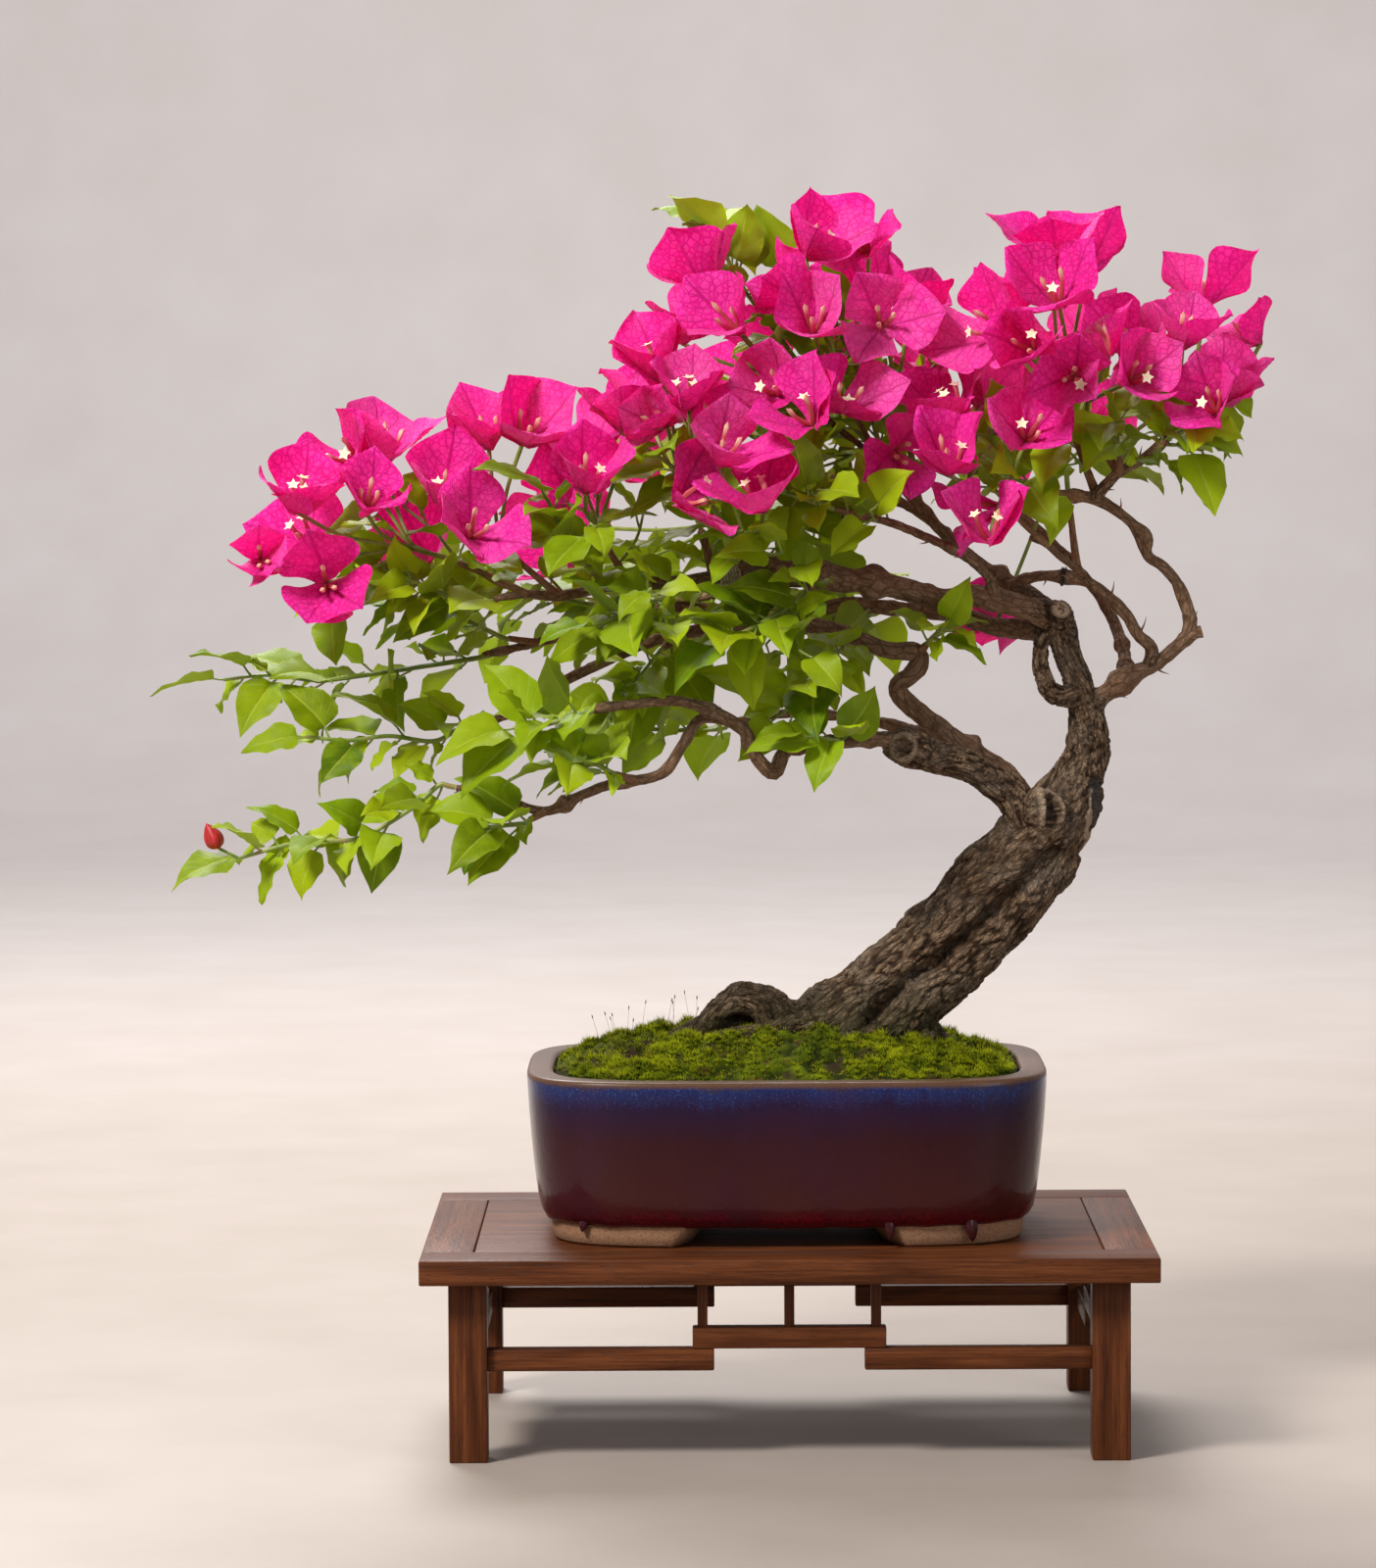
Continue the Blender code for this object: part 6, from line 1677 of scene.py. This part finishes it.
# Pot
pot = {
    "halfLength": 131.75,
    "halfDepth": 97.0,
    "squareness": 4.3,
    "rim": 187.0,
    "underside": 113.0,
    "floor": 122.0,
    "foot": 103.3,
    "footSpread": 0.62,
    "footInset": (12.0, 34.0),
    "around": 192,
    "drainX": 60.0,
    "drainRadius": 9.0,
    "drips": [(54.0, -96.0, 2.4, 106.5), (104.0, -95.0, 3.2, 105.0), (-118.0, -90.0, 2.4, 110.0),
              (-70.0, 96.0, 2.4, 107.0)],
    # outer wall from the underside up: height, and how far it stands inside the rim
    "wallCurve": [(113.0, 12.5), (113.6, 10.6), (115.2, 8.6), (118.5, 6.5), (124.0, 5.3), (131.0, 4.3),
                  (142.0, 3.1), (155.0, 1.9), (168.0, 0.9), (178.0, 0.3), (183.5, 0.05), (185.6, 0.15),
                  (186.6, 0.7), (187.0, 1.7)],
    "lipCurve": [(187.0, 4.5), (186.9, 8.0), (187.1, 11.0), (186.7, 12.6), (185.6, 13.4), (183.0, 13.8),
                 (179.0, 14.0), (150.0, 16.0), (122.0, 18.0)],
}


def rimPoint(angle, inset, z):
    power = 2 / pot["squareness"]
    x = math.copysign(abs(math.cos(angle)) ** power, math.cos(angle)) * (pot["halfLength"] - inset)
    y = math.copysign(abs(math.sin(angle)) ** power, math.sin(angle)) * (pot["halfDepth"] - inset)
    return Vector((x, y, z))


def evenAngles(count):
    # angles that step evenly along the outline, so that its corners are as fine as its sides
    fine = [twoPi * i / 4000 for i in range(4001)]
    travelled = distances([rimPoint(angle, 0, 0) for angle in fine])
    return list(np.interp(np.linspace(0, travelled[-1], count + 1)[:-1], travelled, fine))


def filledBetween(points, loops, faceUp):
    # triangles of a flat face that lies inside the first loop and outside the others
    work = bmesh.new()
    corners, edges = {}, []
    for loop in loops:
        made = [work.verts.new(points[index]) for index in loop]
        corners.update(zip(made, loop))
        edges += [work.edges.new((a, b)) for a, b in zip(made, made[1:] + made[:1])]
    filled = bmesh.ops.triangle_fill(work, use_beauty=True, use_dissolve=False, edges=edges)["geom"]
    faces = []
    for face in filled:
        if isinstance(face, bmesh.types.BMFace):
            face.normal_update()
            order = [corners[corner] for corner in face.verts]
            faces.append(tuple(order if (face.normal.z > 0) == faceUp else order[::-1]))
    work.free()
    return faces


def makePot():
    parts = MeshParts()
    drainSides = 28
    angles = evenAngles(pot["around"])
    curve = pot["wallCurve"] + pot["lipCurve"]
    points, glaze = [], []
    for z, inset in curve:
        for angle in angles:
            spot = rimPoint(angle, inset, z)
            wobble = noise.noise(spot / 60) * 0.5 if 118 < z < 183 else 0.0
            drip = 0.0
            if z < 119 and inset > 3:
                run = noise.noise(Vector((spot.x / 16, spot.y / 16, 4.0)))
                drip = max(0.0, run) * 1.3
            out = Vector((spot.x, spot.y, 0)).normalized()
            points.append(spot + out * (wobble + drip) - Vector((0, 0, drip * 0.9 if z < 117 else 0)))
            level = (z - 114.0) / (pot["rim"] - 114.0)
            isLip = 1.0 if z > 185.0 and inset < 14 else 0.0
            isGlazed = 1.0 if z > 113.3 and inset < 14 else (0.6 if inset < 13.0 and z < 114 else 0.0)
            glaze.append((level, isGlazed, isLip))
    count = len(angles)
    faces = quads(len(curve), count)
    # the underside and the inside floor, both open at the two drain holes
    bores = []
    for x in (-pot["drainX"], pot["drainX"]):
        for turn in range(drainSides):
            angle = twoPi * turn / drainSides
            bores.append((x + math.cos(angle) * pot["drainRadius"], math.sin(angle) * pot["drainRadius"]))
    drains = []
    for rim, z, faceUp in ((0, pot["underside"], False), ((len(curve) - 1) * count, pot["floor"], True)):
        drains.append(len(points))
        points += [Vector((x, y, z)) for x, y in bores]
        glaze += [(0, 0, 0)] * len(bores)
        loops = [range(rim, rim + count)]
        loops += [range(low, low + drainSides) for low in (drains[-1], drains[-1] + drainSides)]
        faces += filledBetween(points, loops, faceUp)
    for hole in range(2):
        for side in range(drainSides):
            here, after = hole * drainSides + side, hole * drainSides + (side + 1) % drainSides
            faces.append((drains[0] + after, drains[0] + here, drains[1] + here, drains[1] + after))
    parts.add(points, faces, glaze=glaze)
    for corner in range(4):
        addFoot(parts, math.pi / 4 + corner * math.pi / 2)
    for drip in pot["drips"]:
        addDrip(parts, *drip)
    parts.build("glazedPot", [mats["glaze"]], nodes=("pot",), sharpAngle=60)


def addDrip(parts, x, y, width, low):
    # a thick run of glaze that stopped on the foot
    draw = random.Random(f"drip {x}")
    angle = math.atan2(math.copysign(abs(y / pot["halfDepth"]) ** (pot["squareness"] / 2), y),
                       math.copysign(abs(x / pot["halfLength"]) ** (pot["squareness"] / 2), x))
    points, glaze = [], []
    rings, around = 12, 14
    for ring in range(rings + 1):
        t = ring / rings
        z = 121 + (low - 121) * t
        spot = rimPoint(angle, 10.2 - 1.6 * t, z)
        out = Vector((spot.x / pot["halfLength"] ** 2, spot.y / pot["halfDepth"] ** 2, 0)).normalized()
        side = Vector((-out.y, out.x, 0))
        full = (0.55 + 0.55 * math.sin(math.pi * min(1.0, t * 1.05)) ** 0.8) * math.sqrt(max(0.0, 1 - t ** 6))
        for corner in range(around):
            spoke = spokeAt(side * width, out * width * 0.62, twoPi * corner / around)
            points.append(spot + spoke * full * (1 + 0.05 * draw.random()))
            glaze.append((0.42 - 0.30 * t, 1.0, 0.0))
    ends = [tuple(range(around)), tuple(range(rings * around, (rings + 1) * around))[::-1]]
    parts.add(points, quads(rings + 1, around, inward=True) + ends, glaze=glaze)


def addFoot(parts, middle):
    # an unglazed foot under one corner, cut in with a small curve at its ends
    steps = 24
    outer, inner = pot["footInset"]
    points = []
    section = 8
    for step in range(steps + 1):
        share = step / steps
        angle = middle - pot["footSpread"] + 2 * pot["footSpread"] * share
        end = min(share, 1 - share) * 2 * 12
        rise = 9.0 * (1 - min(1.0, end)) ** 2
        base = pot["foot"] + min(rise, 7.5)
        top = pot["underside"] + 1.5
        middling = (base + top) / 2
        places = [(outer + 1.2, base), (outer + 0.2, base + 1.0), (outer - 0.6, middling), (outer - 0.9, top),
                  (inner + 1, top), (inner + 0.6, middling), (inner, base + 1.0), (inner - 1.0, base)]
        points += [rimPoint(angle, inset, z) for inset, z in places]
    ends = [tuple(range(section))[::-1], tuple(range(steps * section, (steps + 1) * section))]
    parts.add(points, quads(steps + 1, section) + ends, glaze=[(0, 0, 0)] * len(points))


# Moss
moss = {
    "edge": 186.0,
    "rise": 19.0,
    "lump": 2.6,
    "shoulder": 2.6,
    "inset": 14.6,
    "bottom": 178.3,
    "rings": 56,
    "around": 168,
    "clump": 9.5,
    "clumpHeight": 5.2,
    "tufts": 9500,
    "blades": 5,
    "bladeLength": (2.0, 4.4),
    "bladeWidth": 0.55,
    "stalks": 26,
}


def mossHeight(x, y, share):
    lump = noise.noise(Vector((x, y, 3.0)) / 17) + 0.6 * noise.noise(Vector((x, y, 9.0)) / 8)
    height = moss["edge"] + (moss["rise"] + moss["lump"] * lump) * (1 - share ** moss["shoulder"])
    clump = 1 - min(1.0, noise.voronoi(Vector((x, y, 0.0)) / moss["clump"])[0][0] / 0.7) ** 2
    return height + moss["clumpHeight"] * (clump - 0.6) * min(1.0, (1 - share) * 8), clump


def bareness(x, y):
    # dark earth shows at the left behind the old root and in a few gaps
    left = max(0.0, 1 - ((x + 92) ** 2 / 30 ** 2 + (y + 30) ** 2 / 34 ** 2))
    speck = max(0.0, noise.noise(Vector((x, y, 20.0)) / 12) - 0.32) * 3
    return min(1.0, left * (1.2 + 2 * noise.noise(Vector((x, y, 2.0)) / 7)) + speck)


def rootDistance():
    # a lookup that tells how far a spot on the moss is from the surface of the trunk and roots
    samples = []
    for name in ("trunk_left_lobe", "trunk_right_lobe", "left_root", "root_knob", "front_root", "right_root",
                 "back_root"):
        samples += smoothRoute(limbRoutes[name], 3.0)
    tree = KDTree(len(samples))
    for index, sample in enumerate(samples):
        tree.insert(Vector(sample[:3]), index)
    tree.balance()

    def distance(spot):
        return min(off - samples[index][3] for _, index, off in tree.find_n(spot, 6))

    return distance


def makeMoss():
    parts = MeshParts()
    angles = evenAngles(moss["around"])
    points, state = [], []
    for z in (moss["bottom"], moss["edge"] - 3):
        for angle in angles:
            points.append(rimPoint(angle, moss["inset"], z))
            state.append((0.2, 0.5, 0.0))
    for ring in range(moss["rings"]):
        share = 1 - ring / moss["rings"]
        for angle in angles:
            spot = rimPoint(angle, moss["inset"], 0) * share
            z, clump = mossHeight(spot.x, spot.y, share)
            points.append(Vector((spot.x, spot.y, z)))
            # the bed runs darker where it lies lower between the clumps: painted shade in the hollows
            state.append((0.05 + 0.5 * clump, 0.5, bareness(spot.x, spot.y)))
    count = len(angles)
    ends = [tuple(range(count))[::-1], tuple(range(len(points) - count, len(points)))]
    parts.add(points, quads(moss["rings"] + 2, count) + ends, growth=state)
    parts.build("mossBed", [mats["moss"]], nodes=("moss",), sharpAngle=180)


def makeMossTufts():
    # thousands of small pointed leaves in tufts, thickest on the tops of the clumps
    parts = MeshParts()
    draw = random.Random("moss tufts")
    distance = rootDistance()
    points, state, faces = [], [], []
    wanted = moss["tufts"] // 1
    made = 0
    while made < wanted:
        share = math.sqrt(draw.random()) * 0.985
        spot = rimPoint(draw.uniform(0, twoPi), moss["inset"], 0) * share
        z, clump = mossHeight(spot.x, spot.y, share)
        spot.z = z
        bare = bareness(spot.x, spot.y)
        if draw.random() < bare * 0.85 or draw.random() > 0.35 + clump or distance(spot) < 0.6:
            continue
        made += 1
        tint = draw.random()
        tuft = draw.uniform(0.75, 1.2) * (0.55 + 0.6 * clump)
        for _ in range(moss["blades"]):
            lean = Vector((draw.gauss(0, 0.45), draw.gauss(0, 0.45), 1.0)).normalized()
            length = draw.uniform(*moss["bladeLength"]) * tuft
            root = spot + Vector((draw.gauss(0, 0.8), draw.gauss(0, 0.8), -0.4))
            side = lean.orthogonal().normalized() * moss["bladeWidth"] * 0.5
            other = lean.cross(side)
            first = len(points)
            points += [root + side - other * 0.5, root - side - other * 0.5, root + other * 0.8]
            points.append(root + lean * length)
            state += [(0.45, tint, 0)] * 3 + [(1.0, tint, 0)]
            faces += [(first, first + 1, first + 2)]
            faces += [(first + a, first + b, first + 3) for a, b in ((0, 2), (2, 1), (1, 0))]
    parts.add(points, faces, 0, growth=state)
    parts.build("mossTufts", [mats["moss"]], sharpAngle=180)


def makeMossStalks():
    # hair-thin brown stalks with spore heads, mostly at the back on the left
    parts = MeshParts()
    draw = random.Random("moss stalks")
    for _ in range(moss["stalks"]):
        x = draw.triangular(-112, 100, -80)
        y = draw.uniform(-20, 66)
        share = max(abs(x) / 117, abs(y) / 82)
        z, _clump = mossHeight(x, y, share)
        height = draw.uniform(7, 17)
        lean = Vector((draw.gauss(0, 0.22), draw.gauss(0, 0.22), 1))
        root = Vector((x, y, z - 1))
        top = root + lean * height
        route = [(*root, 0.13), (*(root + lean * height * 0.6), 0.10), (*top, 0.09)]
        fineTube(parts, route, 4, age=1.0)
        swelling = ((0, 0.1), (0.8, 0.32), (1.6, 0.28), (2.2, 0.07))
        fineTube(parts, [(*(top + lean * rise), radius) for rise, radius in swelling], 6, age=1.0)
    parts.build("mossStalks", [mats["twig"]])


# Stand
stand = {
    "length": 365.0,
    "depth": 250.0,
    "height": 103.0,
    "top": 12.5,
    "longBoard": 31.0,
    "endBoard": 26.0,
    "leg": 19.0,
    "legX": 168.7,
    "legY": 111.0,
    "railInset": 4.5,
    "rail": 10.0,
    "lowRail": (45.0, 56.0),
    "bridge": (56.0, 66.5),
    "bridgeHalf": 48.0,
    "gapHalf": 37.3,
    "strut": 43.0,
    "strutWidth": 5.0,
    "round": 0.9,
    "joint": 0.15,
}


def addBoard(parts, low, high, along, draw):
    # a board with softly rounded edges; along is the axis of its grain
    low, high = Vector(low), Vector(high)
    soft = stand["round"]
    steps = [[a, a + soft * 0.3, a + soft, (a + b) / 2, b - soft, b - soft * 0.3, b]
             for a, b in zip(low, high)]
    size = len(steps[0])
    index, points = {}, []
    centre = (low + high) / 2
    half = (high - low) / 2
    for key in itertools.product(range(size), repeat=3):
        if 0 in key or size - 1 in key:
            spot = Vector([steps[a][key[a]] for a in range(3)]) - centre
            inner = Vector([max(-half[a] + soft, min(half[a] - soft, spot[a])) for a in range(3)])
            off = spot - inner
            index[key] = len(points)
            points.append(centre + inner + off.normalized() * min(soft, off.length))
    faces = []
    for axis, end, a, b in itertools.product(range(3), (0, size - 1), range(size - 1), range(size - 1)):
        corners = []
        for da, db in ((0, 0), (1, 0), (1, 1), (0, 1)):
            key = [0, 0, 0]
            key[axis], key[(axis + 1) % 3], key[(axis + 2) % 3] = end, a + da, b + db
            corners.append(index[tuple(key)])
        faces.append(tuple(corners) if end else tuple(corners[::-1]))
    shift = Vector([draw.uniform(0, 900) for _ in range(3)])
    order = {"x": (0, 1, 2), "y": (1, 0, 2), "z": (2, 0, 1)}[along]
    grain = [[point[axis] + move for axis, move in zip(order, shift)] for point in points]
    parts.add(points, faces, grain=grain)


def finishBoard(node, *boards):
    parts = MeshParts()
    draw = random.Random(node + "_fine")
    for low, high, along in boards:
        addBoard(parts, low, high, along, draw)
    parts.build(node + "_fine", [mats["walnut"]], (node,), 35)


def makeStand():
    halfX, halfY = stand["length"] / 2, stand["depth"] / 2
    low, top = stand["height"] - stand["top"], stand["height"]
    innerX, innerY = halfX - stand["endBoard"], halfY - stand["longBoard"]
    gap = stand["joint"]
    sideX, sideY = stand["legX"], stand["legY"]
    reachX, reachY = sideX - stand["leg"], sideY - stand["leg"]
    panelX, panelY = innerX - gap, innerY - gap
    frontAndBack, leftAndRight = (("front", -1), ("back", 1)), (("left", -1), ("right", 1))
    for side, sign in frontAndBack:
        near, far = sorted((sign * innerY, sign * halfY))
        finishBoard(f"stand_{side}_board", ((-halfX, near, low), (halfX, far, top), "x"))
    for side, sign in leftAndRight:
        near, far = sorted((sign * (innerX + gap), sign * halfX))
        finishBoard(f"stand_{side}_board", ((near, -panelY, low), (far, panelY, top), "y"))
    finishBoard("stand_panel", ((-panelX, -panelY, low), (panelX, panelY, top - 0.15), "x"))
    for end, other in leftAndRight:
        for side, sign in frontAndBack:
            xs, ys = sorted((other * reachX, other * sideX)), sorted((sign * reachY, sign * sideY))
            finishBoard(f"stand_leg_{side}_{end}", ((xs[0], ys[0], 0), (xs[1], ys[1], low - 0.1), "z"))
    for side, sign in frontAndBack:
        makeApron(side, reachX, sideY, sign, False)
    for side, sign in leftAndRight:
        makeApron(side, reachY, sideX, sign, True)


def makeApron(side, reach, outer, sign, turn):
    scale = (reach - 0.3) / (stand["legX"] - stand["leg"] - 0.3)
    bridge, gapHalf, strut = stand["bridgeHalf"] * scale, stand["gapHalf"] * scale, stand["strut"] * scale
    face = outer - stand["railInset"]
    back = face - stand["rail"]
    top = stand["height"] - stand["top"] + 0.3
    spans = [
        (-reach - 0.2, -gapHalf, back, face, *stand["lowRail"]),
        (gapHalf, reach + 0.2, back, face, *stand["lowRail"]),
        (-bridge, bridge, back - 0.3, face + 0.3, *stand["bridge"]),
    ]
    width = stand["strutWidth"] / 2
    for middle in (-strut, 0.0, strut):
        spans.append((middle - width, middle + width, back + 2, face - 1.5, stand["bridge"][1] - 1, top))
    boards = []
    for start, end, inner, outside, low, high in spans:
        ys = sorted((sign * inner, sign * outside))
        upright = high - low > end - start
        if turn:
            boards.append(((ys[0], start, low), (ys[1], end, high), "z" if upright else "y"))
        else:
            boards.append(((start, ys[0], low), (end, ys[1], high), "z" if upright else "x"))
    finishBoard("stand_apron_" + side, *boards)


print("wood")
makeTrunk()
makeBranches()
print("leaves")
makeBindings()
crownBox = (Vector((-321, -124, 190)), Vector((248, 137, 632)))
smallLeaves = {}
for name, (count, _, _) in leafyShoots.items():
    smallLeaves[name] = addSmallLeaves(name, shoots[name], round(count * crown["smallLeaves"]))
makeInnerLeaves()
for name in leafyShoots:
    makeShoot(name, leaves[name], smallLeaves[name])
print("blooms")
for name in bloomClusters:
    makeCluster(name, blooms[name])
print("pot and moss")
makePot()
makeMoss()
makeMossTufts()
makeMossStalks()
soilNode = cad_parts["soil"]
soilNode.data.materials.clear()
soilNode.data.materials.append(mats["soil"])
print("stand")
makeStand()


# Floor, light and camera
studio = {
    "camera": (-33.6, -3011.0, 531.8),  # millimetres from the pot's middle
    "pitch": 3.85,
    "yaw": 0.3,
    "roll": -0.3,
    "lens": 135.86,
}


sweep = {
    "bendStart": 3.7,  # metres behind the pot
    "bendRadius": 1.2,
    "reach": 7.0,
}


def makeFloor():
    # a pale sweep: flat under the stand, rising far behind it
    points = []
    start, radius, steps = sweep["bendStart"], sweep["bendRadius"], 16
    profileLine = [(-sweep["reach"], 0.0), (start, 0.0)]
    for step in range(1, steps + 1):
        angle = math.pi / 2 * step / steps
        profileLine.append((start + radius * math.sin(angle), radius * (1 - math.cos(angle))))
    profileLine.append((start + radius, sweep["reach"]))
    for y, z in profileLine:
        points += [(-sweep["reach"], y, z), (sweep["reach"], y, z)]
    faces = [(low, low + 1, low + 3, low + 2) for low in range(0, len(points) - 2, 2)]
    mesh = bpy.data.meshes.new("paleSweep")
    mesh.from_pydata(points, [], faces)
    mesh.shade_smooth()
    mesh.materials.append(floorMaterial())
    intoScene("paleSweep", mesh)


def makeLight(name, place, target, size, power, colour=(1, 1, 1)):
    light = bpy.data.lights.new(name, "AREA")
    light.shape = "DISK"
    light.size = size
    light.energy = power
    light.color = colour
    lamp = intoScene(name, light)
    lamp.location = place
    lamp.rotation_euler = (Vector(target) - Vector(place)).to_track_quat("-Z", "Y").to_euler()


def makeCamera():
    camera = bpy.data.cameras.new("camera")
    camera.lens = studio["lens"]
    camera.sensor_width = 36.0
    camera.sensor_fit = "AUTO"
    camera.clip_end = 50
    holder = intoScene("camera", camera)
    holder.location = (Vector(studio["camera"]) + potMiddle) * mm
    pitch, yaw, roll = (math.radians(studio[key]) for key in ("pitch", "yaw", "roll"))
    holder.rotation_euler = (math.pi / 2 - pitch, 0, yaw)
    holder.rotation_euler = (holder.rotation_euler.to_matrix() @ Matrix.Rotation(roll, 3, "Z")).to_euler()
    bpy.context.scene.camera = holder


print("stage")
makeFloor()
makeLight("key", (-1.5, -1.6, 2.3), (0, 0, 0.42), 0.8, 104, (1.0, 0.97, 0.95))
makeLight("skyBehind", (-0.5, 1.7, 2.2), (0, 0, 0.4), 1.6, 80, (1.0, 0.99, 0.99))
makeLight("wallWash", (0, 3.1, 3.8), (0, 4.9, 0.9), 2.2, 46, (1.0, 0.98, 0.97))
makeLight("fill", (2.2, -1.9, 1.0), (0, 0, 0.35), 1.4, 14, (0.97, 0.98, 1.0))
makeCamera()
world = bpy.context.scene.world or bpy.data.worlds.new("studioWorld")
bpy.context.scene.world = world
world.use_nodes = True
sky = world.node_tree.nodes["Background"].inputs
sky["Color"].default_value = (0.95, 0.96, 1.0, 1.0)
sky["Strength"].default_value = 0.34
bpy.context.scene.view_settings.view_transform = "Standard"
